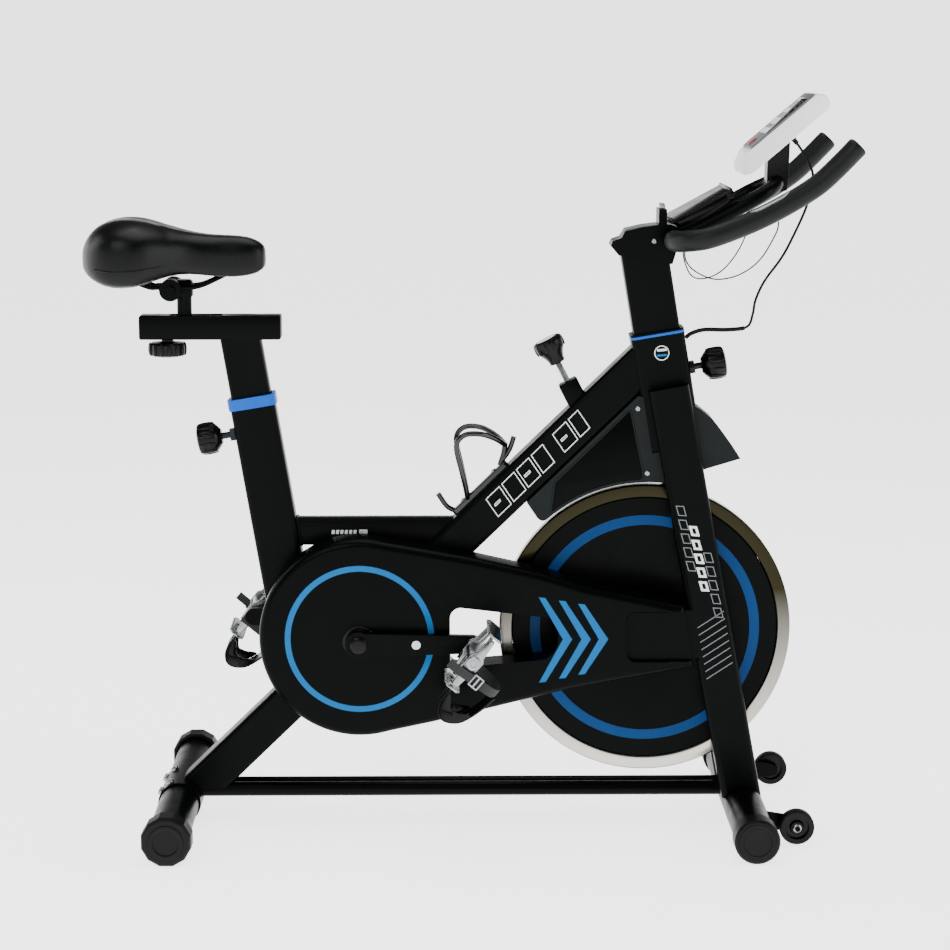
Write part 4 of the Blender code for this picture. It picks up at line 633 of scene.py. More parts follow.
def slab(name: str, plane: Plane, loop: Sequence[Flat], low: float, high: float, edge: float = 0.0,
         steps: int = 4, inner: Sequence[Flat] | None = None) -> Object:
    """Makes a thick flat shape with a rounded upper edge.

    Args:
        name: The piece's name.
        plane: Where the outline lies.
        loop: The outline.
        low: The height of its underside.
        high: The height of its top.
        edge: The radius of the rounding round the top.
        steps: The steps of that rounding.
        inner: An inner outline with as many points, for a band instead of a full shape.

    Returns:
        The piece.
    """
    levels = [(0.0, low)]
    for step in range(steps + 1 if edge else 1):
        turn = math.pi / 2 * step / steps
        levels.append((edge * (1 - math.cos(turn)), high - edge * (1 - math.sin(turn))))
    rings = [[plane.point(p, height) for p in shifted(loop, -inset)] for inset, height in levels]
    if inner is None:
        return lofted(name, rings)
    rings += [[plane.point(p, height) for p in shifted(inner, inset)] for inset, height in reversed(levels)]
    return lofted(name, rings, cyclic=True)


def turned(name: str, profile: Sequence[Flat], centre: Vector, axis: Vector, sides: int = 64) -> Object:
    """Turns a profile of (radius, height) round an axis, closed where it does not reach the axis.

    Args:
        name: The piece's name.
        profile: The half section.
        centre: The point of height zero on the axis.
        axis: The way of growing height.
        sides: The number of sides.

    Returns:
        The piece.
    """
    turn = UP.rotation_difference(axis.normalized()).to_matrix()
    rings = []
    for side in range(sides):
        angle = 2 * math.pi * side / sides
        way = Vector((math.cos(angle), math.sin(angle), 0))
        rings.append([centre + turn @ (way * radius + UP * height) for radius, height in profile])
    work = bmesh.new()
    made = [[work.verts.new(point) for point in ring] for ring in rings]
    whole = profile[0][0] > 0 and profile[-1][0] > 0
    count = len(profile)
    for first, second in zip(made, made[1:] + made[:1]):
        for index in range(count if whole else count - 1):
            after = (index + 1) % count
            work.faces.new((first[index], first[after], second[after], second[index]))
    bmesh.ops.remove_doubles(work, verts=work.verts, dist=0.0000005)
    bmesh.ops.recalc_face_normals(work, faces=work.faces)
    return mesh_object(name, work)


def smooth_path(route: Iterable[Sequence[float]], spacing: float) -> list[Vector]:
    """Gives points at an even spacing on a smooth curve through the route points.

    Args:
        route: The points to pass through.
        spacing: The distance between the points given.

    Returns:
        The points.
    """
    points = [Vector(point) for point in route]
    ends = [points[0] * 2 - points[1]] + points + [points[-1] * 2 - points[-2]]
    fine = []
    for index in range(1, len(ends) - 2):
        before, start, end, after = ends[index - 1:index + 3]
        for step in range(40):
            t = step / 40
            fine.append(0.5 * (2 * start + (end - before) * t
                               + (2 * before - 5 * start + 4 * end - after) * t * t
                               + (3 * start - before - 3 * end + after) * t ** 3))
    fine.append(points[-1])
    total = sum((b - a).length for a, b in zip(fine, fine[1:]))
    count = max(2, round(total / spacing))
    even = [fine[0]]
    walked = 0.0
    for a, b in zip(fine, fine[1:]):
        length = (b - a).length
        while walked + length >= total / count * len(even) and len(even) < count:
            even.append(a.lerp(b, (total / count * len(even) - walked) / length))
        walked += length
    return even + [fine[-1]]


def path_length(points: Sequence[Vector]) -> float:
    """Gives the length of a line of points.

    Args:
        points: The points along the path.

    Returns:
        The sum of its steps.
    """
    return sum((b - a).length for a, b in zip(points, points[1:]))


def swept(name: str, points: Sequence[Vector], radius: float | Callable[[float], float], sides: int = 20,
          flatness: float = 1.0) -> Object:
    """Makes a closed round bar along a line of points.

    Args:
        name: The piece's name.
        points: The centre line.
        radius: The bar's radius, or its radius for each share of the way.
        sides: The number of sides.
        flatness: The height of the section as a share of its width.

    Returns:
        The piece.
    """
    rings = []
    side_way = Vector((0, 1, 0))
    for index, point in enumerate(points):
        before, after = points[max(index - 1, 0)], points[min(index + 1, len(points) - 1)]
        way = (after - before).normalized()
        side_way = (side_way - way * side_way.dot(way)).normalized()
        high_way = way.cross(side_way)
        share = index / (len(points) - 1)
        reach = radius(share) if callable(radius) else radius
        angles = [2 * math.pi * side / sides for side in range(sides)]
        rings.append([point + (side_way * math.cos(a) + high_way * math.sin(a) * flatness) * reach
                      for a in angles])
    return lofted(name, rings)


def joined(name: str, pieces: Sequence[Object]) -> Object:
    """Joins meshes into one piece.

    Args:
        name: The joined piece's name.
        pieces: The pieces, whose modifiers are applied first.

    Returns:
        The joined piece.
    """
    graph = bpy.context.evaluated_depsgraph_get()
    work = bmesh.new()
    for piece in pieces:
        mesh = bpy.data.meshes.new_from_object(piece.evaluated_get(graph))
        work.from_mesh(mesh)
        bpy.data.meshes.remove(mesh)
    for piece in pieces:
        bpy.data.objects.remove(piece, do_unlink=True)
    return mesh_object(name, work)


# ------------------------------------------------------------------ geometry node trees
class GrowingTree:
    """A Geometry Nodes tree with named inputs, which ends in Realize Instances and Set Material."""

    SOCKETS = {float: "NodeSocketFloat", int: "NodeSocketInt", Vector: "NodeSocketVector",
               Object: "NodeSocketObject", bpy.types.Material: "NodeSocketMaterial"}

    def __init__(self, name: str, **inputs: type) -> None:
        """Starts a tree.

        Args:
            name: The tree's name.
            inputs: The kind of value of each named input.
        """
        self.tree = bpy.data.node_groups.new(name, "GeometryNodeTree")
        sockets = self.tree.interface
        sockets.new_socket("Geometry", in_out="INPUT", socket_type="NodeSocketGeometry")
        for label, kind in {**inputs, "material": bpy.types.Material}.items():
            sockets.new_socket(label, in_out="INPUT", socket_type=self.SOCKETS[kind])
        sockets.new_socket("Geometry", in_out="OUTPUT", socket_type="NodeSocketGeometry")
        self.start = self.tree.nodes.new("NodeGroupInput")

    def given(self, name: str) -> Socket:
        """Gives the socket of a named input.

        Args:
            name: The input's name.

        Returns:
            Its socket inside the tree.
        """
        return self.start.outputs[name]

    def add(self, kind: str, inputs: dict[Any, Any] | None = None, **settings: Any) -> Node:
        """Adds a node to the tree.

        Args:
            kind: The node's type.
            inputs: Values and links for its inputs.
            settings: Its other properties.

        Returns:
            The node.
        """
        return add_node(self.tree, kind, inputs, **settings)

    def close(self, geometry: Socket) -> None:
        """Ends the tree with this geometry.

        Args:
            geometry: The socket that holds the finished geometry.
        """
        real = self.add("GeometryNodeRealizeInstances", {0: geometry})
        dressed = self.add("GeometryNodeSetMaterial",
                           {0: real.outputs[0], "Material": self.given("material")})
        self.add("NodeGroupOutput", {0: dressed.outputs[0]})

    def grow(self, name: str, host: Object, finish: Finish, **values: Any) -> Object:
        """Runs the tree on a host object and keeps the result as a plain mesh.

        Args:
            name: The new piece's name.
            host: The object that the tree runs on, which is removed.
            finish: The surface of the result.
            values: The tree's inputs by name.

        Returns:
            The piece.
        """
        modifier = host.modifiers.new(self.tree.name, "NODES")
        modifier.node_group = self.tree
        given = {**values, "material": finish.material()}
        for item in self.tree.interface.items_tree:
            if item.in_out == "INPUT" and item.name in given:
                modifier[item.identifier] = given[item.name]
        bpy.context.view_layer.update()
        graph = bpy.context.evaluated_depsgraph_get()
        mesh = bpy.data.meshes.new_from_object(host.evaluated_get(graph))
        bpy.data.objects.remove(host, do_unlink=True)
        mesh.name = name
        made = bpy.data.objects.new(name, mesh)
        bpy.context.scene.collection.objects.link(made)
        return made


class PartSet(GrowingTree):
    """Copies of one small part on points, each turned to face its point's own way."""

    def __init__(self) -> None:
        """Builds the tree."""
        super().__init__("part_set", part=Object, size=float)
        part = self.add("GeometryNodeObjectInfo", {"Object": self.given("part")})
        facing = self.add("GeometryNodeInputNamedAttribute", {"Name": "facing"}, data_type="FLOAT_VECTOR")
        turn = self.add("FunctionNodeAlignRotationToVector", {"Vector": facing.outputs[0]}, axis="Z")
        copies = self.add("GeometryNodeInstanceOnPoints", {"Points": self.given("Geometry"),
                                                           "Instance": part.outputs["Geometry"],
                                                           "Rotation": turn.outputs[0],
                                                           "Scale": self.given("size")})
        self.close(copies.outputs[0])

    def place(self, name: str, part: Object, spots: Sequence[tuple[Vector, Vector]], finish: Finish,
              size: float = 1.0) -> Object:
        """Puts copies of a part on spots.

        Args:
            name: The new piece's name.
            part: The part, made at the origin facing +Z.
            spots: Each copy's place and the way that it faces.
            finish: The surface.
            size: The scale of the copies.

        Returns:
            The piece.
        """
        work = bmesh.new()
        for place, _ in spots:
            work.verts.new(place)
        host = mesh_object(name + "_spots", work)
        facing = host.data.attributes.new("facing", "FLOAT_VECTOR", "POINT")
        for index, (_, way) in enumerate(spots):
            facing.data[index].vector = way.normalized()
        return self.grow(name, host, finish, part=part, size=size)


class RibRing(GrowingTree):
    """Ribs round an axis, for hand knobs and wheel treads."""

    def __init__(self) -> None:
        """Builds the tree."""
        super().__init__("rib_ring", count=int, ring_radius=float, rib_size=Vector, place=Vector, turn=Vector)
        ring = self.add("GeometryNodeMeshCircle", {"Vertices": self.given("count"),
                                                   "Radius": self.given("ring_radius")})
        rib = self.add("GeometryNodeMeshUVSphere", {"Segments": 10, "Rings": 8, "Radius": 0.5})
        where = self.add("GeometryNodeInputPosition")
        turn = self.add("FunctionNodeAlignRotationToVector", {"Vector": where.outputs[0]}, axis="X")
        ribs = self.add("GeometryNodeInstanceOnPoints",
                        {"Points": ring.outputs[0], "Instance": rib.outputs[0],
                         "Rotation": turn.outputs[0],
                         "Scale": self.given("rib_size")})
        placed = self.add("GeometryNodeTransform", {0: ribs.outputs[0], "Translation": self.given("place"),
                                                    "Rotation": self.given("turn")})
        self.close(placed.outputs[0])


def empty_host(name: str) -> Object:
    """Makes an object with an empty mesh for a tree that needs no input geometry.

    Args:
        name: What the tree's result is called.

    Returns:
        An object without any geometry.
    """
    return mesh_object(name + "_host", bmesh.new())


def socket_screw(name: str, radius: float, height: float) -> Object:
    """Makes a domed screw head with a hexagonal socket, at the origin facing +Z.

    Args:
        name: The part's name.
        radius: The head's radius.
        height: The head's height.

    Returns:
        The part.
    """
    work = bmesh.new()
    sides = 24
    levels = [(radius, 0.0), (radius, height * 0.45), (radius * 0.93, height * 0.75), (radius * 0.72, height),
              (radius * 0.5, height)]
    rings = []
    for reach, level in levels:
        angles = [2 * math.pi * side / sides for side in range(sides)]
        rings.append([work.verts.new((reach * math.cos(a), reach * math.sin(a), level)) for a in angles])
    for level in (height, height * 0.35):
        ring = []
        for side in range(sides):
            angle = 2 * math.pi * side / sides
            flat = radius * 0.42 * math.cos(math.pi / 6) / math.cos((angle % (math.pi / 3)) - math.pi / 6)
            ring.append(work.verts.new((flat * math.cos(angle), flat * math.sin(angle), level)))
        rings.append(ring)
    for first, second in zip(rings, rings[1:]):
        for index in range(sides):
            after = (index + 1) % sides
            work.faces.new((first[index], first[after], second[after], second[index]))
    work.faces.new(list(reversed(rings[0])))
    work.faces.new(rings[-1])
    bmesh.ops.recalc_face_normals(work, faces=work.faces)
    return soften(mesh_object(name, work), 40)


@dataclass
class Workshop:
    """The trees that the sub-assemblies share."""

    parts: PartSet
    ribs: RibRing

    def screws(self, name: str, body: str, spots: Sequence[tuple[Vector, Vector]], radius: float,
               height: float, finish: Finish = ZINC, slot: Slot = Slot.STEEL) -> Object:
        """Sets screws with hexagonal sockets.

        Args:
            name: The new piece's name.
            body: The CAD body that they ride on.
            spots: Each screw's place and the way that it faces.
            radius: The head's radius.
            height: The head's height.
            finish: The surface.
            slot: The record's material slot.

        Returns:
            The piece.
        """
        part = socket_screw(name + "_part", radius, height)
        made = self.parts.place(name, part, spots, finish)
        bpy.data.objects.remove(part, do_unlink=True)
        return settle(soften(made, 40), body, finish, slot)


# ------------------------------------------------------------------ cords
@dataclass
class Cords:
    """The sensor cable and the two hand-pulse wires."""

    sensor_diameter: float = 0.0040
    sleeve_diameter: float = 0.0064
    sleeve_length: float = 0.096
    pulse_diameter: float = 0.0022
    sensor_route: tuple[tuple[float, float, float], ...] = (
        (0.3282, 0.000, 0.7432),
        (0.3370, 0.000, 0.7500),
        (0.3560, -0.004, 0.7560),
        (0.3900, -0.014, 0.7570),
        (0.4180, -0.020, 0.7620),
        (0.4260, -0.020, 0.7800),
        (0.4300, -0.020, 0.8020),
        (0.4430, -0.018, 0.8300),
        (0.4680, -0.014, 0.8640),
        (0.4850, -0.010, 0.8950),
        (0.5050, -0.006, 0.9400),
        (0.5140, -0.004, 0.9800),
        (0.5080, -0.002, 1.0050),
        (0.4980, 0.000, 1.0210),
        (0.4905, 0.000, 1.0318),
    )
    bar_half_width: float = 0.145

    def build(self) -> None:
        self.sensor_cable()
        for label, side, low in (("right", -1, 0.0), ("left", 1, 0.012)):
            self.pulse_wire(label, side, low)

    def sensor_cable(self) -> None:
        """Builds the sensor cable: its sleeve stays with the frame and its plug rides on the bar, while the
        cable line itself rides on no body.
        """
        points = smooth_path(self.sensor_route, 0.004)
        sleeve_points = [p for i, p in enumerate(points) if path_length(points[:i + 1]) < self.sleeve_length]
        sleeve = soften(swept("sensor_sleeve", sleeve_points, self.sleeve_diameter / 2, 16), 50)
        settle(sleeve, "frame", RUBBER, Slot.RUBBER)
        cable = soften(swept("sensor_cable_line", points, self.sensor_diameter / 2, 14), 50)
        cable.data.materials.append(RUBBER.material())
        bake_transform(cable)
        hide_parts("sensor_cable")
        angle = math.radians(40.5)
        out = Vector((-math.sin(angle), 0, math.cos(angle)))
        end = points[-1] + out * 0.0004
        profile = [(0, 0), (0.0028, 0), (0.0034, 0.0010), (0.0036, 0.0075), (0.0050, 0.0090),
                   (0.0052, 0.0130),
                   (0.0078, 0.0160), (0.0080, 0.0176), (0, 0.0176)]
        plug = soften(turned("sensor_plug", profile, end, out, 32), 35)
        settle(plug, "handlebar", NYLON, Slot.PLASTIC)

    def pulse_wire(self, label: str, side: int, low: float) -> None:
        """Builds one hand-pulse wire.

        Args:
            label: right or left.
            side: -1 for the right and 1 for the left.
            low: How much further than the other wire it hangs down.
        """
        route = [
            (0.3235, side * 0.010, 0.8850),
            (0.3260, side * 0.018, 0.8600),
            (0.3400, side * 0.040, 0.8450 - low),
            (0.3650, side * 0.075, 0.8380 - low),
            (0.3950, side * 0.110, 0.8480 - low),
            (0.4220, side * 0.132, 0.8720 - low / 2),
            (0.4420, side * self.bar_half_width, 0.9100),
            (0.4460, side * self.bar_half_width, 0.9272),
        ]
        points = smooth_path(route, 0.003)
        wire = soften(swept("pulse_wire_" + label, points, self.pulse_diameter / 2, 10), 50)
        settle(wire, "handlebar", RUBBER, Slot.RUBBER, "pulse_cable_" + label)


# ------------------------------------------------------------------ studio
@dataclass
class Studio:
    """The camera, the lights and the pale floor."""

    camera_place: tuple[float, float, float] = (-0.031, -3.754, 1.172)
    camera_pitch_deg: float = 9.63
    camera_yaw_deg: float = 0.66
    lens_mm: float = 95.34
    floor_size: float = 60.0
    wall_light: float = 2.74
    ceiling_light: float = 0.10

    def build(self) -> None:
        """Builds the studio."""
        self.camera()
        self.floor()
        self.world()
        self.light("key_softbox", (-1.6, -3.2, 3.4), (0.0, 0.0, 0.5), 2.2, 90)
        self.light("top_softbox", (0.2, 0.3, 3.6), (0.0, 0.0, 0.5), 2.6, 80)
        self.light("front_softbox", (3.2, -1.2, 1.8), (0.2, 0.0, 0.6), 1.6, 46)
        self.light("rear_softbox", (-3.2, 0.8, 2.0), (-0.2, 0.0, 0.6), 1.6, 40)

    def camera(self) -> None:
        """Sets the camera."""
        lens = bpy.data.cameras.new("camera")
        lens.lens = self.lens_mm
        lens.sensor_width = 36.0
        lens.clip_end = 100.0
        camera = bpy.data.objects.new("camera", lens)
        camera.location = self.camera_place
        camera.rotation_euler = (math.radians(90 - self.camera_pitch_deg), 0,
                                 math.radians(-self.camera_yaw_deg))
        bpy.context.scene.collection.objects.link(camera)
        bpy.context.scene.camera = camera

    def light(self, name: str, place: tuple[float, float, float], aim: tuple[float, float, float],
              size: float,
              watts: float) -> None:
        """Hangs a softbox.

        Args:
            name: The light's name.
            place: Where it hangs.
            aim: The point that it faces.
            size: The length of its sides.
            watts: Its power.
        """
        lamp = bpy.data.lights.new(name, "AREA")
        lamp.size = size
        lamp.energy = watts
        made = bpy.data.objects.new(name, lamp)
        made.location = place
        made.rotation_euler = (Vector(aim) - Vector(place)).to_track_quat("-Z", "Y").to_euler()
        bpy.context.scene.collection.objects.link(made)

    def floor(self) -> None:
        """Lays the pale floor."""
        work = bmesh.new()
        bmesh.ops.create_grid(work, x_segments=1, y_segments=1, size=self.floor_size / 2)
        floor = mesh_object("floor", work)
        made = bpy.data.materials.new("pale_floor")
        made.use_nodes = True
        shader = made.node_tree.nodes["Principled BSDF"]
        shader.inputs["Base Color"].default_value = linear("#f4f4f4")
        shader.inputs["Roughness"].default_value = 0.9
        shader.inputs["Specular IOR Level"].default_value = 0.1
        shader.inputs["Emission Color"].default_value = (1, 1, 1, 1)
        shader.inputs["Emission Strength"].default_value = 2.6
        floor.data.materials.append(made)
        floor.location.z = -0.0005

    def world(self) -> None:
        """Surrounds the bike with a white wall that darkens towards the ceiling."""
        room = bpy.data.worlds.new("pale_room")
        room.use_nodes = True
        tree = room.node_tree
        way = add_node(tree, "ShaderNodeTexCoord").outputs["Generated"]
        parts = add_node(tree, "ShaderNodeSeparateXYZ", {0: way})
        rise = add_node(tree, "ShaderNodeMapRange",
                        {"Value": parts.outputs["Z"], "From Min": 0.08, "From Max": 0.22,
                         "To Min": self.wall_light, "To Max": self.ceiling_light},
                        interpolation_type="SMOOTHSTEP")
        light = tree.nodes["Background"]
        light.inputs["Color"].default_value = (1, 1, 1, 1)
        tree.links.new(rise.outputs[0], light.inputs["Strength"])
        bpy.context.scene.world = room


# ------------------------------------------------------------------ places read from the frame
def pivot(joint: str) -> Vector:
    """Gives the point that a joint's axis goes through.

    Args:
        joint: The joint's name.

    Returns:
        Its anchor.
    """
    found = next(j for j in FRAME["joints"] if j["name"] == joint)
    return Vector(found["pos_m"])


def heading(joint: str) -> Vector:
    """Gives the direction of a joint's axis.

    Args:
        joint: The joint's name.

    Returns:
        Its axis as a unit vector.
    """
    found = next(j for j in FRAME["joints"] if j["name"] == joint)
    return Vector(found["axis"]).normalized()


def circle(centre: Flat, radius: float, sides: int = 96) -> list[Flat]:
    """Gives a circle's points, without repeating the first.

    Args:
        centre: The circle's centre.
        radius: Its radius.
        sides: How many points it has.

    Returns:
        Its points.
    """
    return arc(centre, radius, 0, 360, sides)[:-1]


def round_bar(name: str, start: Vector, end: Vector, radius: float, sides: int = 32,
              edge: float = 0.0006) -> Object:
    """Makes a straight round bar with rounded ends.

    Args:
        name: The piece's name.
        start: The middle of one end.
        end: The middle of the other end.
        radius: The bar's radius.
        sides: The number of sides.
        edge: The rounding of the ends.

    Returns:
        The piece.
    """
    length = (end - start).length
    profile = [(0, 0), (radius - edge, 0), (radius, edge), (radius, length - edge), (radius - edge, length),
               (0, length)]
    return turned(name, profile, start, end - start, sides)


def carve(target: Object, tool: Object, operation: str = "DIFFERENCE") -> Object:
    """Applies an exact Boolean and removes the tool.

    Args:
        target: The mesh that is changed.
        tool: The other mesh.
        operation: DIFFERENCE, UNION or INTERSECT.

    Returns:
        The target.
    """
    step = target.modifiers.new("carve", "BOOLEAN")
    step.operation = operation
    step.solver = "EXACT"
    step.object = tool
    bpy.context.view_layer.update()
    mesh = bpy.data.meshes.new_from_object(target.evaluated_get(bpy.context.evaluated_depsgraph_get()))
    target.modifiers.remove(step)
    target.data = mesh
    bpy.data.objects.remove(tool, do_unlink=True)
    return target


# ------------------------------------------------------------------ belt cover
@dataclass
class BeltCover:
    """The moulded cover over the belt: a rounded outer shell, its back plate and its printed marks."""

    shop: Workshop
    radius: float = 0.1510
    edge: float = 0.0125
    wall: float = 0.0030
    seam_gap: float = 0.0003
    axle_room: float = 0.0012
    ring_radius: float = 0.1120
    ring_width: float = 0.0088
    chevron_stroke: float = 0.0118

    def __post_init__(self) -> None:
        """Reads the cover's places from the frame."""
        low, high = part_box("belt_cover_outer")
        self.face = -low.y
        self.seam = -high.y
        self.back = -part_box("belt_cover_inner")[1].y
        self.crank = pivot("crank_spin")
        self.wheel = pivot("flywheel_spin")
        self.middle = (self.crank.x + 0.001, self.crank.z + 0.004)
        self.plane = side_plane(0.0)

    def outline(self) -> list[Flat]:
        """Gives the cover's outline: a large round at the crank, tapering towards the flywheel's axle.

        Returns:
            The points, seen from the right.
        """
        return (arc(self.middle, self.radius, 76, 287, 110)
                + [(-0.052, 0.1690), (0.092, 0.2045), (0.152, 0.2195), (0.3410, 0.2540), (0.3250, 0.3480),
                   (0.306, 0.3520), (0.181, 0.3780), (0.108, 0.4000), (0.008, 0.4225)])

    def window(self) -> list[Flat]:
        """Gives the see-through window's outline.

        Returns:
            The points, seen from the right.
        """
        return (arc((-0.010, 0.331), 0.016, 180, 90, 8) + arc((0.116, 0.3120), 0.020, 82, 0, 8)
                + arc((0.106, 0.2960), 0.030, -8, -82, 8) + [(0.033, 0.2600), (-0.012, 0.2545)]
                + arc((-0.014, 0.2665), 0.012, 265, 180, 6))

    def pocket(self) -> list[Flat]:
        """Gives the outline of the pocket in front of the flywheel's axle.

        Returns:
            The points, seen from the right.
        """
        return (arc((self.wheel.x - 0.019, self.wheel.z + 0.026), 0.012, 90, 180, 8)
                + arc((self.wheel.x - 0.019, self.wheel.z - 0.024), 0.012, 180, 270, 8)
                + [(0.371, self.wheel.z - 0.036), (0.355, self.wheel.z + 0.038)])

    def build(self) -> None:
        """Builds the cover."""
        self.shell()
        self.plate()
        self.axle_ring()
        self.ring()
        self.chevrons()
        self.pocket_rim()
        self.fasteners()

    def shell(self) -> None:
        """Builds the outer shell with its rounded rim, window and pocket."""
        body = slab("belt_cover_shell", self.plane, self.outline(), self.seam, self.face, self.edge, 7)
        carve(body, slab("hollow", self.plane, shifted(self.outline(), -self.wall), self.seam - 0.01,
                         self.face - self.wall, self.edge - self.wall, 5))
        collar = slab("collar", self.plane, shifted(self.window(), self.wall), self.seam, self.face - 0.0005)
        carve(body, collar, "UNION")
        floor = self.axle_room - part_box("flywheel_axle")[0].y
        tub = slab("tub", self.plane, shifted(self.pocket(), self.wall), floor, self.face - 0.0005)
        carve(tub, slab("limit", self.plane, shifted(self.outline(), -0.0001), floor - 0.01, self.face,
                        self.edge, 7),
              "INTERSECT")
        carve(body, tub, "UNION")
        carve(body, slab("mouth", self.plane, self.pocket(), floor + self.wall, self.face + 0.01))
        carve(body, slab("opening", self.plane, self.window(), self.seam - 0.01, self.face + 0.01))
        carve(body, slab("axle_hole", self.plane, circle((self.crank.x, self.crank.z), 0.0125, 48),
                         self.face - 0.01, self.face + 0.01))
        cad_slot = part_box("fork_leg_right")
        slot_loop = [(0.304, self.wheel.z - 0.038), (0.360, self.wheel.z - 0.038),
                     (0.360, self.wheel.z + 0.040), (0.304, self.wheel.z + 0.040)]
        carve(body, slab("slot", self.plane, slot_loop, -cad_slot[1].y + 0.0225, -cad_slot[0].y + 0.0015))
        rounded_edges(soften(body, 30), 0.0007, 2, 50)
        settle(body, "frame", COVER, Slot.PLASTIC, "belt_cover_outer")

    def plate(self) -> None:
        """Builds the plate that closes the cover's back."""
        body = slab("belt_cover_back", self.plane, self.outline(), self.back, self.seam - self.seam_gap)
        for loop in (self.window(), circle((self.crank.x, self.crank.z), 0.022, 48),
                     circle((self.wheel.x, self.wheel.z), 0.027, 48)):
            carve(body, slab("hole", self.plane, loop, self.back - 0.01, self.seam + 0.01))
        rounded_edges(soften(body, 30), 0.0006, 2, 50)
        settle(body, "frame", COVER, Slot.PLASTIC, "belt_cover_inner")

    def axle_ring(self) -> None:
        """Builds the stepped dust ring round the crank axle."""
        profile = [(0.0130, 0.0), (0.0245, 0.0), (0.0245, 0.0006), (0.0238, 0.0012), (0.0190, 0.0014),
                   (0.0182, 0.0026), (0.0136, 0.0030), (0.0130, 0.0026)]
        ring = soften(turned("crank_dust_ring", profile, Vector((self.crank.x, -self.face, self.crank.z)),
                             -LEFT, 72), 30)
        settle(ring, "frame", NYLON, Slot.PLASTIC)

    def ring(self) -> None:
        """Builds the blue ring round the crank axle."""
        outer = circle(self.middle, self.ring_radius, 160)
        inner = circle(self.middle, self.ring_radius - self.ring_width, 160)
        band = soften(slab("cover_ring", side_plane(-self.face), outer, -0.0001, 0.00022, inner=inner), 40)
        settle(band, "frame", BLUE_INK, Slot.BLUE)

    def chevrons(self) -> None:
        """Builds the three blue chevrons that point to the front."""
        tips = (((0.1165, 0.362), (0.1570, 0.2985), (0.1175, 0.233)),
                ((0.1465, 0.357), (0.1850, 0.2985), (0.1475, 0.239)),
                ((0.1755, 0.352), (0.2110, 0.2985), (0.1765, 0.245)))
        pieces = []
        for index, (top, tip, low) in enumerate(tips):
            shift = self.chevron_stroke
            loop = [top, (tip[0], tip[1]), low, (low[0] - shift * 0.85, low[1] - 0.001),
                    (tip[0] - shift * 1.2, tip[1]), (top[0] - shift * 0.85, top[1] + 0.001)]
            pieces.append(slab(f"chevron_{index}", side_plane(-self.face), loop, -0.0001, 0.00022))
        settle(soften(joined("cover_chevrons", pieces), 40), "frame", BLUE_INK, Slot.BLUE)

    def pocket_rim(self) -> None:
        """Builds the soft raised rim round the pocket, up to the fork leg."""
        line = [(x, z) for x, z in shifted(self.pocket(), 0.0012)[:-2]]
        line = [(0.3020, line[0][1])] + line + [(0.3020, line[-1][1])]
        route = smooth_path([(x, -self.face + 0.0004, z) for x, z in line], 0.002)
        settle(soften(swept("cover_pocket_rim", route, 0.0013, 10), 60), "frame", COVER, Slot.PLASTIC)

    def fasteners(self) -> None:
        """Sets the small screws round the cover's rim."""
        spots = []
        for angle in (118, 165, 212, 256):
            flat = arc(self.middle, self.radius - 0.0075, angle, angle, 1)[0]
            spots.append((Vector((flat[0], -self.back + 0.0002, flat[1])), LEFT))
        self.shop.screws("cover_screws", "frame", spots, 0.0042, 0.0024)


# ------------------------------------------------------------------ cranks
@dataclass
class Cranks:
    """The small things on the crank arms: the caps over the axle's ends and a plain white dot."""

    cap_radius: float = 0.0125
    dot_radius: float = 0.0066
    dot_out: float = 0.0860

    def build(self) -> None:
        """Builds the caps and the dot."""
        low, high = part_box("crank_axle")
        centre = pivot("crank_spin")
        profile = [(0, 0), (self.cap_radius, 0), (self.cap_radius, 0.0010), (self.cap_radius * 0.9, 0.0022),
                   (self.cap_radius * 0.5, 0.0030), (0, 0.0032)]
        caps = [turned(f"cap_{side}", profile, Vector((centre.x, at, centre.z)), LEFT * side, 64)
                for side, at in ((-1, low.y), (1, high.y))]
        settle(soften(joined("crank_axle_caps", caps), 35), "crankset", NYLON, Slot.PLASTIC)
        arm = FRAME["nodes"]["crank_arm_right"].data
        face = min(vertex.co.y for vertex in arm.vertices if vertex.co.x < centre.x)
        place = Vector((centre.x + self.dot_out, face, centre.z))
        disc = turned("crank_dot", [(0, 0), (self.dot_radius, 0), (self.dot_radius, 0.0002), (0, 0.0002)],
                      place, -LEFT,
                      48)
        settle(soften(disc, 35), "crankset", FILM, Slot.WHITE)


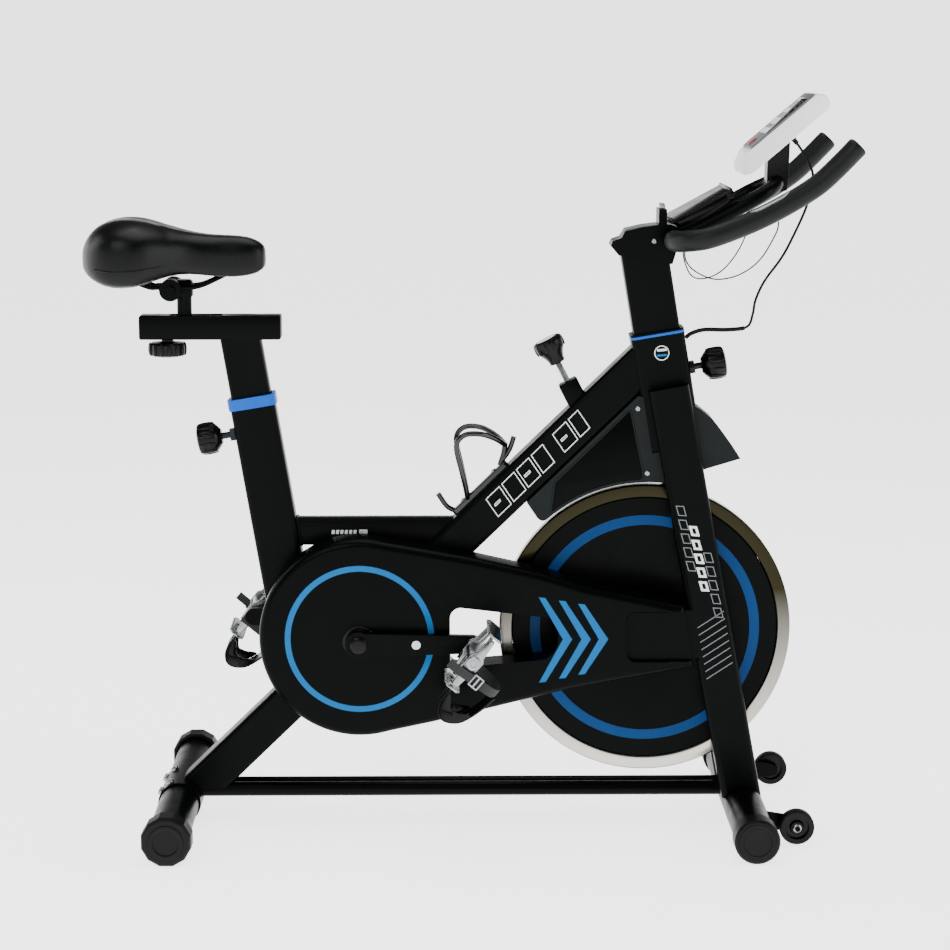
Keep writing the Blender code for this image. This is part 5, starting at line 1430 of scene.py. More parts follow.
# ------------------------------------------------------------------ flywheel
@dataclass
class Flywheel:
    """The weighted wheel: a bright turned rim, a painted disc with a blue ring, and its hub."""

    shop: Workshop
    rim_depth: float = 0.0195
    ring_outer: float = 0.1750
    ring_inner: float = 0.1600
    hub_radius: float = 0.024
    disc_half: float = 0.0095

    def __post_init__(self) -> None:
        """Reads the wheel's size from the frame."""
        low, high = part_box("flywheel")
        self.centre = middle_of("flywheel")
        self.radius = (high.x - low.x) / 2
        self.half = 0.012
        self.hub_half = (high.y - low.y) / 2

    def build(self) -> None:
        """Builds the wheel."""
        self.rim()
        self.disc()
        self.rings()
        self.hub()

    def rim(self) -> None:
        """Builds the chromed rim with its rounded edges."""
        outer, inner, half = self.radius, self.radius - self.rim_depth, self.half
        profile = [(inner, half - 0.0020), (inner + 0.0012, half - 0.0005), (inner + 0.0030, half)]
        profile += [(outer - 0.0026 + 0.0026 * math.sin(a), half - 0.0026 + 0.0026 * math.cos(a))
                    for a in (math.radians(step * 18) for step in range(6))]
        profile += [(r, -h) for r, h in reversed(profile)]
        rim = soften(turned("flywheel_rim", profile, self.centre, -LEFT, 256), 30)
        # The rim's colour is a painted reflection: pale low on the wheel, dark olive towards its top.
        finish = TurnedMetal("turned_chromed_rim_painted_reflection", "#b0aea6", "#232116", 0.20, metallic=1.0, grain_mm=1.4,
                             depth_mm=0.006, mottle_mm=90, patchy=0.03, axle_x=self.centre.x,
                             axle_z=self.centre.z)
        settle(rim, "flywheel", finish, Slot.STEEL, "flywheel")

    def disc(self) -> None:
        """Builds the painted disc, dished a little inside the rim."""
        outer = self.radius - self.rim_depth - 0.0001
        half = self.disc_half
        profile = [(self.hub_radius, half - 0.0035), (0.060, half - 0.0035), (0.064, half - 0.0010),
                   (0.068, half), (outer - 0.0015, half), (outer, half - 0.0012)]
        profile += [(r, -h) for r, h in reversed(profile)]
        disc = soften(turned("flywheel_disc", profile, self.centre, -LEFT, 192), 30)
        settle(disc, "flywheel", POWDER, Slot.IRON)

    def rings(self) -> None:
        """Builds the blue rings on both faces of the disc."""
        rings = []
        for side in (-1, 1):
            plane = side_plane(side * self.disc_half, side)
            centre = (self.centre.x if side < 0 else -self.centre.x, self.centre.z)
            rings.append(slab(f"ring_{side}", plane, circle(centre, self.ring_outer, 192), -0.0001, 0.0002,
                              inner=circle(centre, self.ring_inner, 192)))
        finish = Finish("deep_blue_screen_ink", "#003060", "#003668", 0.40, specular=0.08, depth_mm=0.008)
        settle(soften(joined("flywheel_rings", rings), 40), "flywheel", finish, Slot.BLUE)

    def hub(self) -> None:
        """Builds the hub with its bearing seals and bolts."""
        reach = self.hub_half
        bore = 0.0080
        profile = [(bore, reach), (self.hub_radius - 0.001, reach), (self.hub_radius, reach - 0.001),
                   (self.hub_radius, 0.004), (0.048, 0.0072), (0.050, 0.0064)]
        profile += [(r, -h) for r, h in reversed(profile)]
        settle(soften(turned("flywheel_hub", profile, self.centre, -LEFT, 96), 30), "flywheel", ZINC,
               Slot.STEEL)
        seal = [(bore, 0), (0.017, 0), (0.0176, 0.0005), (0.0170, 0.0010), (bore, 0.0010)]
        ring = turned("flywheel_bearing_seal", seal, self.centre + LEFT * reach, LEFT, 48)
        settle(soften(ring, 30), "flywheel", RUBBER, Slot.RUBBER)
        spots = []
        for side in (-1, 1):
            for step in range(5):
                flat = arc((self.centre.x, self.centre.z), 0.037, 72 * step, 72 * step, 1)[0]
                spots.append((Vector((flat[0], self.centre.y + side * 0.0060, flat[1])), LEFT * side))
        self.shop.screws("flywheel_hub_bolts", "flywheel", spots, 0.0046, 0.0042)


# ------------------------------------------------------------------ plain marks on the tubes
@dataclass
class Marks:
    """Plain printed marks: slanted blocks, stripes and hatching in white film."""

    film: float = 0.00016
    line: float = 0.0013

    def build(self) -> None:
        """Builds all the marks."""
        self.main_tube()
        self.top_tube()
        self.head()
        self.leg()

    def frame_of(self, loop: Sequence[Flat], plane: Plane, name: str) -> Object:
        """Makes a thin outline drawn with a line of film.

        Args:
            loop: The shape's outer outline.
            plane: The surface that it lies on.
            name: The piece's name.

        Returns:
            The piece.
        """
        return slab(name, plane, loop, -self.film / 2, self.film, inner=shifted(loop, -self.line))

    def main_tube(self) -> None:
        """Builds the row of slanted outlined blocks on the main tube."""
        low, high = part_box("main_tube")
        plane = side_plane(low.y)
        start, end = Vector((0.0350, 0.4880)), Vector((0.1770, 0.6280))
        way = (end - start).normalized()
        up = Vector((-way.y, way.x))
        run = (end - start).length
        pieces = []
        shares = ((0.00, 0.145), (0.165, 0.30), (0.32, 0.455), (0.475, 0.60), (0.70, 0.845), (0.865, 0.97))
        for index, (first, last) in enumerate(shares):
            corners = [(first * run, -0.0165), (last * run, -0.0165), (last * run + 0.006, 0.0165),
                       (first * run + 0.006, 0.0165)]
            loop = [tuple(start + way * a + up * h) for a, h in corners]
            pieces.append(self.frame_of(loop, plane, f"block_{index}"))
            if index % 2 == 0:
                middle = (first + last) / 2 * run
                bar = [(middle - 0.006, -0.0020), (middle + 0.006, -0.0020), (middle + 0.007, 0.0020),
                       (middle - 0.005, 0.0020)]
                pieces.append(self.frame_of([tuple(start + way * a + up * h) for a, h in bar], plane,
                                            f"bar_{index}"))
        settle(joined("main_tube_marks", pieces), "frame", FILM, Slot.WHITE)

    def top_tube(self) -> None:
        """Builds the short bars and the dot on the top tube."""
        low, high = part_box("top_tube")
        plane = side_plane(low.y)
        z = (low.z + high.z) / 2
        pieces = []
        for step in range(6):
            x = -0.2050 + step * 0.0066
            loop = [(x, z - 0.0030), (x + 0.0044, z - 0.0030), (x + 0.0052, z + 0.0030),
                    (x + 0.0008, z + 0.0030)]
            pieces.append(slab(f"tick_{step}", plane, loop, -self.film / 2, self.film))
        for step, half in enumerate((0.0026, 0.0, -0.0026)):
            width = math.sqrt(0.0066 ** 2 - half ** 2)
            loop = [(-0.1568 - width, z + half - 0.0009), (-0.1568 + width, z + half - 0.0009),
                    (-0.1568 + width, z + half + 0.0009), (-0.1568 - width, z + half + 0.0009)]
            pieces.append(slab(f"dot_{step}", plane, loop, -self.film / 2, self.film))
        settle(joined("top_tube_marks", pieces), "frame", FILM, Slot.WHITE)

    def head(self) -> None:
        """Builds the round badge on the head tube: two plain stripes across a disc outline."""
        low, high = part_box("head_tube")
        plane = side_plane(low.y)
        centre = (0.2905, 0.7237)
        white = [self.frame_of(circle(centre, 0.0112, 48), plane, "badge_ring")]
        blue = []
        for lift, shade in ((0.0040, white), (-0.0040, blue)):
            half = math.sqrt(0.0082 ** 2 - lift ** 2)
            loop = [(centre[0] - half, centre[1] + lift - 0.0016),
                    (centre[0] + half, centre[1] + lift - 0.0006),
                    (centre[0] + half, centre[1] + lift + 0.0026),
                    (centre[0] - half, centre[1] + lift + 0.0016)]
            shade.append(slab(f"stripe_{lift}", plane, loop, -self.film / 2, self.film))
        settle(joined("head_badge", white), "frame", FILM, Slot.WHITE)
        settle(joined("head_badge_stripe", blue), "frame", BLUE_INK, Slot.BLUE)

    def leg(self) -> None:
        """Builds the hatching and outlined blocks down the right fork leg."""
        low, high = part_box("fork_leg_right")
        plane = side_plane(low.y)
        start, end = Vector((0.3335, 0.4980)), Vector((0.3872, 0.2140))
        way = (end - start).normalized()
        side = Vector((-way.y, way.x))

        def leg(a: float, s: float) -> Flat:
            """Gives a point on the leg's face.

            Args:
                a: How far down the leg.
                s: How far forward of its middle line.

            Returns:
                The place in the side plane.
            """
            at = start + way * a + side * s
            return (at.x, at.y)

        dim, bright = [], []
        for offset, first, count, solid in ((-0.0150, -0.004, 5, False), (-0.0010, 0.030, 5, True),
                                            (0.0130, 0.074, 5, False)):
            for index in range(count):
                a = first + index * 0.0215
                loop = [leg(a, offset - 0.0068), leg(a + 0.0160, offset - 0.0052),
                        leg(a + 0.0190, offset + 0.0068),
                        leg(a + 0.0030, offset + 0.0052)]
                if solid:
                    bright.append(slab(f"leg_band_{index}", plane, loop, -self.film / 2, self.film,
                                       inner=shifted(loop, -0.0034)))
                else:
                    dim.append(self.frame_of(loop, plane, f"leg_block_{index}_{offset}"))
        for index in range(8):
            a = 0.186 + index * 0.0115
            loop = [leg(a, -0.0215), leg(a - 0.0180, 0.0215), leg(a - 0.0165, 0.0215),
                    leg(a + 0.0015, -0.0215)]
            dim.append(slab(f"hatch_{index}", plane, loop, -self.film / 2, self.film))
        settle(joined("fork_leg_marks", dim), "frame", GREY_FILM, Slot.WHITE)
        settle(joined("fork_leg_bright_marks", bright), "frame", FILM, Slot.WHITE)


# ------------------------------------------------------------------ saddle
@dataclass
class Saddle:
    """The padded saddle: the vinyl cover over foam, its plastic base and the steel rails."""

    rail_radius: float = 0.0035
    stations: tuple[tuple[float, float, float, float, float], ...] = (
        (-0.5700, 0.034, 0.8790, 0.8560, 0.40),
        (-0.5600, 0.066, 0.9010, 0.8430, 0.60),
        (-0.5430, 0.090, 0.9180, 0.8320, 0.75),
        (-0.5180, 0.104, 0.9260, 0.8245, 0.85),
        (-0.4880, 0.105, 0.9258, 0.8260, 0.85),
        (-0.4620, 0.092, 0.9185, 0.8340, 0.75),
        (-0.4380, 0.068, 0.9115, 0.8420, 0.60),
        (-0.4120, 0.047, 0.9045, 0.8440, 0.50),
        (-0.3800, 0.036, 0.8995, 0.8390, 0.45),
        (-0.3450, 0.032, 0.8990, 0.8370, 0.45),
        (-0.3220, 0.028, 0.8960, 0.8400, 0.42),
        (-0.3060, 0.021, 0.8880, 0.8450, 0.30),
        (-0.2990, 0.010, 0.8790, 0.8520, 0.20),
    )

    def build(self) -> None:
        """Builds the saddle."""
        self.cover()
        self.base()
        self.rails()

    def section(self, half: float, top: float, bottom: float, square: float) -> list[Flat]:
        """Gives one cross section, in Y and Z, from the lower right edge over the top.

        Args:
            half: Half of its width.
            top: Its highest Z.
            bottom: Its lowest Z.
            square: How square its shoulders are, from 0 to 1.

        Returns:
            The section's points.
        """
        height = top - bottom
        dip = 0.0035 * square
        power = 0.75 - 0.22 * square
        points = []
        steps = 18
        for step in range(steps + 1):
            angle = math.pi * step / steps
            y = -math.cos(angle)
            rise = math.sin(angle) ** power
            lift = bottom + height * (0.30 + 0.70 * rise) - dip * math.exp(-(y / 0.22) ** 2)
            points.append((half * math.copysign(abs(y) ** 0.82, y), lift))
        under = [(half * share, bottom + height * lift) for share, lift in
                 ((0.99, 0.16), (0.94, 0.04), (0.82, 0.0), (0.5, 0.06), (0.0, 0.09), (-0.5, 0.06),
                  (-0.82, 0.0),
                  (-0.94, 0.04), (-0.99, 0.16))]
        return points + under

    def cover(self) -> None:
        """Builds the vinyl cover, with a crease where the rear pad meets the nose."""
        rings = []
        for x, half, top, bottom, square in self.stations:
            rings.append([Vector((x, y, z)) for y, z in self.section(half, top, bottom, square)])
        pad = lofted("saddle_cover_shape", rings)
        smooth = pad.modifiers.new("soft_form", "SUBSURF")
        smooth.levels = smooth.render_levels = 2
        soft = joined("saddle_cover", [pad])
        for vertex in soft.data.vertices:
            at = vertex.co
            groove = -0.4500 + 0.9 * (abs(at.y) - 0.03) * 0.55
            near = math.exp(-((at.x - groove) / 0.0050) ** 2)
            side = min(max((abs(at.y) - 0.024) / 0.02, 0), 1)
            high = min(max((at.z - 0.860) / 0.02, 0), 1)
            at.z -= 0.0016 * near * side * high
        soften(soft, 80)
        settle(soft, "saddle", VINYL, Slot.SADDLE, "saddle_pad")
        self.piping(rings)

    def piping(self, rings: Sequence[Sequence[Vector]]) -> None:
        """Builds the welt along the lower edge of the cover.

        Args:
            rings: The cover's sections.
        """
        for label, index, inward in (("right", 0, 1), ("left", 18, -1)):
            line = [ring[index] + Vector((0, inward * 0.0016, -0.0040)) for ring in rings[2:-2]]
            welt = soften(swept("saddle_welt_" + label, smooth_path(line, 0.006), 0.0011, 8), 80)
            settle(welt, "saddle", VINYL, Slot.SADDLE)

    def base(self) -> None:
        """Builds the moulded base under the cover."""
        rings = []
        for x, half, top, bottom, square in self.stations[1:-1]:
            wide = half * 0.86
            section = [(-wide, 0.0055), (-wide * 0.97, 0.0010), (-wide * 0.9, -0.0010), (wide * 0.9, -0.0010),
                       (wide * 0.97, 0.0010), (wide, 0.0055)]
            rings.append([Vector((x, y, bottom + z)) for y, z in section])
        base = lofted("saddle_base", rings)
        smooth = base.modifiers.new("soft_form", "SUBSURF")
        smooth.levels = smooth.render_levels = 1
        settle(soften(base, 40), "saddle", NYLON, Slot.PLASTIC)

    def rails(self) -> None:
        """Builds the bent steel rails."""
        level = middle_of("saddle_clamp").z + 0.0035
        half = [(-0.5120, 0.0300, 0.8560), (-0.5040, 0.0290, 0.8430), (-0.4880, 0.0250, 0.8290),
                (-0.4700, 0.0210, level), (-0.4600, 0.0210, level), (-0.4200, 0.0210, level),
                (-0.4100, 0.0210, level), (-0.3900, 0.0180, 0.8260), (-0.3520, 0.0120, 0.8440),
                (-0.3300, 0.0080, 0.8560)]
        route = [(x, -y, z) for x, y, z in half] + [(-0.3230, 0, 0.8590)] + list(reversed(half))
        rails = soften(swept("saddle_rail_bar", smooth_path(route, 0.004), self.rail_radius, 16), 40)
        settle(rails, "saddle", POWDER, Slot.STEEL, "saddle_rails")


# ------------------------------------------------------------------ handlebar
@dataclass
class Handlebar:
    """The handlebar: foam-covered bars, the inner loop, pulse plates, the tray and the post's head."""

    shop: Workshop
    bar_radius: float = 0.0125
    foam_radius: float = 0.0155
    loop_radius: float = 0.0110
    half_width: float = 0.145
    loop_half: float = 0.065

    def __post_init__(self) -> None:
        """Works out the centre lines."""
        wide = self.half_width
        self.half_route = [(0.3020, 0.000, 0.8950), (0.3020, 0.040, 0.8950), (0.3020, 0.080, 0.8950),
                           (0.3060, 0.1120, 0.8960), (0.3220, 0.1350, 0.8985), (0.3450, wide, 0.9030),
                           (0.3800, wide, 0.9150), (0.4220, wide, 0.9330), (0.4650, wide, 0.9560),
                           (0.5020, wide, 0.9800), (0.5300, wide, 1.0060), (0.5560, wide, 1.0330)]
        side = self.loop_half
        self.loop_route = [(0.3080, side, 0.8980), (0.3400, side, 0.9110), (0.3800, side, 0.9320),
                           (0.4180, side, 0.9530), (0.4380, 0.0580, 0.9640), (0.4520, 0.0400, 0.9720),
                           (0.4580, 0.0180, 0.9755), (0.4590, 0.0000, 0.9760)]

    def build(self) -> None:
        """Builds the handlebar."""
        self.bars()
        self.foam()
        self.pulse_plates()
        self.tray()
        self.head()

    def bars(self) -> None:
        """Builds the steel outer bar and the inner loop."""
        half = smooth_path([(x, -y, z) for x, y, z in self.half_route], 0.006)
        whole = [Vector((p.x, -p.y, p.z)) for p in reversed(half[1:])] + half
        loop = smooth_path([(x, -y, z) for x, y, z in self.loop_route], 0.005)
        ring = loop + [Vector((p.x, -p.y, p.z)) for p in reversed(loop[:-1])]
        pieces = [swept("outer_bar", whole[2:-2], self.bar_radius, 24),
                  swept("loop_bar", ring, self.loop_radius, 24)]
        bars = soften(joined("handlebar_tubes", pieces), 50)
        settle(bars, "handlebar", POWDER, Slot.BAR, "handlebar")

    def foam(self) -> None:
        """Builds the foam sleeves, each with a rounded end."""
        for label, side in (("right", -1), ("left", 1)):
            half = smooth_path([(x, side * y, z) for x, y, z in self.half_route], 0.004)
            start = next(i for i, p in enumerate(half)
                         if abs(p.y) > self.loop_half + self.loop_radius + 0.007)
            tip = (half[-1] - half[-2]).normalized()
            points = half[start:] + [half[-1] + tip * step
                                     for step in (0.0008, 0.0016, 0.0024, 0.0032, 0.0038)]
            length = path_length(points)
            radius = self.foam_radius

            def reach(share: float) -> float:
                """Gives the sleeve's radius, smaller at its rounded ends.

                Args:
                    share: The share of the sleeve's length.

                Returns:
                    The radius there.
                """
                left = (1 - share) * (len(points) - 1)
                begin = share * (len(points) - 1)
                if left < 6:
                    return radius * (1 - 0.30 * ((6 - left) / 6) ** 2.5)
                if begin < 1:
                    return radius * 0.93
                return radius

            sleeve = swept("foam_" + label, points, reach, 36)
            settle(soften(sleeve, 55), "handlebar", FOAM, Slot.RUBBER, "grip_" + label)
            LOG.info("foam sleeve %s is %.0f mm long", label, length * 1000)

    def pulse_plates(self) -> None:
        """Builds the curved steel plate of each hand-pulse sensor, on the upper side of its bar."""
        for label, side in (("right", -1), ("left", 1)):
            line = smooth_path([(x, side * y, z) for x, y, z in self.half_route], 0.004)
            run = [p for p in line if 0.402 < p.x < 0.470]
            last = len(run) - 1
            rings = []
            for index, point in enumerate(run):
                way = (run[min(index + 1, last)] - run[max(index - 1, 0)]).normalized()
                high = way.cross(LEFT).normalized()
                end = min(index, last - index)
                span = math.radians(46 * math.sin(math.pi / 2 * min((end + 1) / 6, 1)))
                outer, inner = [], []
                for step in range(13):
                    angle = -span + 2 * span * step / 12
                    out = high * math.cos(angle) + LEFT * math.sin(angle)
                    lift = 0.0006 if 0 < step < 12 and end > 0 else 0.0001
                    outer.append(point + out * (self.foam_radius + lift))
                    inner.append(point + out * (self.foam_radius - 0.0008))
                rings.append(outer + list(reversed(inner)))
            plate = lofted("pulse_plates_" + label, rings)
            settle(soften(plate, 40), "handlebar", STAINLESS, Slot.STEEL)

    def over_loop(self, distance: float, lift: float) -> Flat:
        """Gives a point this far up the loop's straight part and this far above its centre line.

        Args:
            distance: How far along the loop's straight stretch.
            lift: How far above it.

        Returns:
            The place in the side plane.
        """
        first, last = Vector(self.loop_route[1]), Vector(self.loop_route[3])
        way = (last - first).normalized()
        return (first.x + distance * way.x - lift * way.z, first.z + distance * way.z + lift * way.x)

    def tray(self) -> None:
        """Builds the device tray: a slab with raised edges, a rounded lip and cheeks on the loop."""
        low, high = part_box("device_tray")
        half = (high.y - low.y) / 2
        base = [self.over_loop(-0.031, 0.0262), self.over_loop(0.0685, 0.0262),
                self.over_loop(0.0685, 0.0320),
                self.over_loop(0.0655, 0.0320), self.over_loop(0.0640, 0.0296),
                self.over_loop(-0.0270, 0.0296),
                self.over_loop(-0.0290, 0.0320), self.over_loop(-0.031, 0.0320)]
        body = rounded_edges(slab("tray_slab", side_plane(0.0), base, -half, half), 0.0012, 3)
        lip = self.over_loop(0.063, 0.023)
        lip_bar = round_bar("tray_lip", Vector((lip[0], -half + 0.003, lip[1])),
                            Vector((lip[0], half - 0.003, lip[1])),
                            0.0065, 32, 0.0015)
        pieces = [body, lip_bar]
        for side in (-1, 1):
            cheek = [self.over_loop(-0.020, self.loop_radius + 0.0055),
                     self.over_loop(0.010, self.loop_radius + 0.001),
                     self.over_loop(0.056, self.loop_radius + 0.001), self.over_loop(0.062, 0.0268),
                     self.over_loop(-0.026, 0.0268)]
            middle = side * self.loop_half
            pieces.append(rounded_edges(slab(f"cheek_{side}", side_plane(middle), cheek, -0.003, 0.003),
                                        0.0009, 2))
        tray = soften(joined("tray_body", pieces), 40)
        settle(tray, "handlebar", NYLON, Slot.PLASTIC, "device_tray")

    def head(self) -> None:
        """Builds the moulded head of the post, with a grey strip on the lid that paints the highlight along
        its top edge, and the clamp screws.
        """
        shell = refined("post_head", 0.0016, 40)
        settle(shell, "handlebar", COVER, Slot.PLASTIC, "post_head")
        low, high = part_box("post_head")
        half = (high.y - low.y) / 2
        # grey strip over the dark lid: a painted highlight along its top edge
        lid_highlight_line = [(0.2345, 0.9046), (0.2600, 0.9106), (0.2835, 0.9136), (0.2835, 0.9152), (0.2600, 0.9124),
                    (0.2340, 0.9064)]
        lid_highlight = slab("head_lid", side_plane(0.0), lid_highlight_line, -half + 0.002, half - 0.002)
        settle(soften(rounded_edges(lid_highlight, 0.0005, 2), 40), "handlebar", BEZEL, Slot.PLASTIC)
        clamp = [(0.2862, 0.9372), (0.2942, 0.9372), (0.2942, 0.9422), (0.2862, 0.9422)]
        tab = slab("head_clamp_tab", side_plane(0.0), clamp, -0.014, 0.014)
        settle(soften(rounded_edges(tab, 0.001, 2), 40), "handlebar", ZINC, Slot.STEEL)
        spots = [(Vector((0.2902, side * 0.008, 0.9420)), UP) for side in (-1, 1)]
        spots += [(Vector((0.2770, side * half, 0.8900)), LEFT * side) for side in (-1, 1)]
        self.shop.screws("head_screws", "handlebar", spots, 0.0040, 0.0028)


# ------------------------------------------------------------------ monitor
@dataclass
class Monitor:
    """The small monitor: a white housing with a grey bezel, a dark window and its bracket."""

    shop: Workshop
    along_deg: float = 40.5

    def __post_init__(self) -> None:
        """Reads the monitor's place from the frame."""
        low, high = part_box("monitor_housing")
        self.middle = (low + high) / 2 + Vector((0.0005, 0, -0.0005))
        self.half_width = (high.y - low.y) / 2
        angle = math.radians(self.along_deg)
        self.way = Vector((math.cos(angle), 0, math.sin(angle)))
        self.out = Vector((-math.sin(angle), 0, math.cos(angle)))
        self.half_length = 0.0825
        self.half_thick = 0.014

    def at(self, along: float, out: float) -> Flat:
        """Gives a side point this far up the face and this far out of the monitor's middle.

        Args:
            along: How far along the housing.
            out: How far in front of it.

        Returns:
            The place in the side plane.
        """
        point = self.middle + self.way * along + self.out * out
        return (point.x, point.z)

    def face(self, height: float) -> Plane:
        """Gives the monitor's face, with X to the rider's right and Y up the face.

        Args:
            height: How far off the middle of the housing.

        Returns:
            The plane.
        """
        return Plane(self.middle + self.out * height, -LEFT, self.way)

    def build(self) -> None:
        """Builds the monitor."""
        self.housing()
        self.front()
        self.bracket()

    def housing(self) -> None:
        """Builds the white housing, with the bore for its button."""
        length, thick = self.half_length, self.half_thick
        outline = [(-length, -0.0080), (-length + 0.0130, -thick), (length - 0.0080, -thick),
                   (length, -thick + 0.0080), (length, thick - 0.0080), (length - 0.0080, thick),
                   (-length + 0.0260, thick), (-length + 0.0060, thick - 0.0100)]
        loop = rounded_corners([self.at(a, b) for a, b in outline], 0.004, 4)
        shell = slab("shell", side_plane(0.0), loop, -self.half_width, self.half_width)
        shell = joined("monitor_shell", [rounded_edges(shell, 0.0050, 5, 60)])
        button = self.middle + self.way * -0.036 + self.out * (thick - 0.008)
        carve(shell, round_bar("bore", button, button + self.out * 0.02, 0.0070, 32))
        settle(soften(shell, 35), "handlebar", WHITE, Slot.WHITE, "monitor_housing")

    def front(self) -> None:
        """Builds the bezel, the window and the display behind it."""
        thick = self.half_thick
        wide = self.half_width - 0.004
        bezel = rounded_corners([(-wide, -0.0500), (wide, -0.0500), (wide, 0.0720), (-wide, 0.0720)], 0.012,
                                6)
        plate = slab("monitor_bezel", self.face(thick), bezel, -0.0008, 0.0022, 0.0014, 4)
        button = self.middle + self.way * -0.036 + self.out * (thick - 0.003)
        carve(plate, round_bar("bore", button, button + self.out * 0.02, 0.0074, 32))
        settle(soften(plate, 40), "handlebar", BEZEL, Slot.WHITE)
        wide -= 0.012
        glass = rounded_corners([(-wide, -0.018), (wide, -0.018), (wide, 0.061), (-wide, 0.061)], 0.006, 6)
        window = slab("monitor_window", self.face(thick), glass, 0.0010, 0.0028, 0.0006, 2)
        settle(soften(window, 40), "handlebar", WINDOW, Slot.PLASTIC)
        marks = []
        for row, (count, high) in enumerate(((3, 0.016), (4, 0.011), (5, 0.008))):
            for column in range(count):
                pitch = 2 * wide / count
                x = -wide + pitch * (column + 0.5)
                y = 0.046 - row * 0.024
                loop = [(x - pitch * 0.28, y - high / 2), (x + pitch * 0.28, y - high / 2),
                        (x + pitch * 0.28, y + high / 2), (x - pitch * 0.28, y + high / 2)]
                marks.append(slab(f"segment_{row}_{column}", self.face(thick), loop, 0.0027, 0.00288,
                                  inner=shifted(loop, -0.0011)))
        settle(joined("monitor_segments", marks), "handlebar", SEGMENTS, Slot.PLASTIC)

    def bracket(self) -> None:
        """Dresses the bracket and its clamp screws."""
        settle(refined("monitor_bracket", 0.0012, 35), "handlebar", NYLON, Slot.PLASTIC, "monitor_bracket")
        spots = [(Vector((0.4590, side * 0.017, 0.9640)), LEFT * side) for side in (-1, 1)]
        self.shop.screws("bracket_screws", "handlebar", spots, 0.0034, 0.0024)


# ------------------------------------------------------------------ pedals
@dataclass
class Pedal:
    """One pedal: a cast cage with toothed edges, its caps, and the toe clip with strap and buckle."""

    shop: Workshop
    label: str
    joint: str
    length: float = 0.092
    width: float = 0.096
    angle_deg: float = 230.0

    def __post_init__(self) -> None:
        """Reads the pedal's place from the frame."""
        self.body = "pedal_" + self.label
        self.pin = pivot(self.joint)
        angle = math.radians(self.angle_deg)
        self.toe = Vector((math.cos(angle), 0, math.sin(angle)))
        self.foot = Vector((-math.sin(angle), 0, math.cos(angle)))

    def at(self, toe: float, across: float, foot: float) -> Vector:
        """Gives a world point from the pedal's own toe, across and foot measures.

        Args:
            toe: How far towards the toe.
            across: How far to the left.
            foot: How far towards the sole.

        Returns:
            The place in space.
        """
        return self.pin + self.toe * toe + LEFT * across + self.foot * foot

    def plane(self, across: float) -> Plane:
        """Gives the side plane of the pedal, with X to the toe and Y to the foot.

        Args:
            across: How far from the pedal's middle.

        Returns:
            The plane.
        """
        return Plane(self.pin + LEFT * across, self.toe.copy(), self.foot.copy())

    def build(self) -> None:
        """Builds the pedal."""
        self.cage()
        self.bearing()
        self.clip()
        self.strap()

    def cage(self) -> None:
        """Builds the cast cage: two toothed plates joined by cheeks with slots."""
        half = self.width / 2
        pieces = []
        for end in (-1, 1):
            teeth = 9
            pitch = (self.width - 0.012) / teeth
            upper = []
            for tooth in range(teeth):
                y = -half + 0.006 + tooth * pitch
                upper += [(y, 0.0112), (y + pitch * 0.30, 0.0112), (y + pitch * 0.50, 0.0136),
                          (y + pitch * 0.70, 0.0112)]
            loop = [(-half, 0.0085)] + upper + [(half, 0.0085)]
            outline = loop + [(y, -z) for y, z in reversed(loop)]
            face = Plane(self.at(end * (self.length / 2), 0, 0), LEFT * -end, self.foot.copy())
            if end > 0:
                outline = [(-y, z) for y, z in reversed(outline)]
            plate = slab(f"plate_{end}", face, outline, -0.0040, 0.0)
            pieces.append(rounded_edges(plate, 0.0007, 2, 40))
        for side in (-1, 1):
            wing = [(0.0425, 0.0045), (0.0140, 0.0075), (0.0085, 0.0115), (-0.0085, 0.0115),
                    (-0.0140, 0.0075),
                    (-0.0425, 0.0045)]
            outline = wing + [(x, -z) for x, z in reversed(wing)]
            cheek = slab(f"cheek_{side}", self.plane(side * (half - 0.005)), outline, -0.005, 0.005)
            pieces.append(rounded_edges(cheek, 0.0012, 3, 40))
            for end in (-1, 1):
                start = self.at(end * 0.012, side * (half - 0.010), 0)
                stop = self.at(end * 0.0425, side * (half - 0.026), 0)
                pieces.append(swept(f"web_{side}_{end}", [start, start.lerp(stop, 0.5), stop], 0.0032, 14))
        barrel = turned("barrel", [(0.0068, -half + 0.010), (0.0110, -half + 0.010), (0.0100, -half + 0.022),
                                   (0.0092, 0), (0.0100, half - 0.022), (0.0110, half - 0.010),
                                   (0.0068, half - 0.010)], self.pin, LEFT, 40)
        pieces.append(barrel)
        cage = soften(joined("pedal_cage_" + self.label, pieces), 35)
        settle(cage, self.body, CAST, Slot.STEEL, self.body)

    def bearing(self) -> None:
        """Builds the dust cap at the outer end, with its spanner slot, and the inner seal."""
        side = -1 if self.label == "right" else 1
        half = self.width / 2
        out = LEFT * side
        profile = [(0, 0), (0.0108, 0), (0.0108, 0.0022), (0.0096, 0.0036), (0.0052, 0.0040),
                   (0.0046, 0.0030),
                   (0, 0.0030)]
        cap = turned("pedal_cap_" + self.label, profile, self.pin + out * half, out, 40)
        settle(soften(cap, 35), self.body, ZINC, Slot.STEEL)
        seal = turned("pedal_seal_" + self.label, [(0.0068, 0), (0.0104, 0), (0.0104, 0.0016),
                                                   (0.0068, 0.0016)],
                      self.pin - out * (half - 0.0002) - out * 0.0016, out, 32)
        settle(soften(seal, 35), self.body, RUBBER, Slot.RUBBER)

    def band(self, path: Sequence[Flat], thickness: float) -> list[Flat]:
        """Gives the outline of a band of one thickness along a path.

        Args:
            path: One side of the band.
            thickness: How thick it is.

        Returns:
            The closed outline.
        """
        outer = []
        for index, point in enumerate(path):
            before, after = Vector(path[max(index - 1, 0)]), Vector(path[min(index + 1, len(path) - 1)])
            way = (after - before).normalized()
            outer.append((point[0] + way.y * thickness, point[1] - way.x * thickness))
        return list(path) + list(reversed(outer))

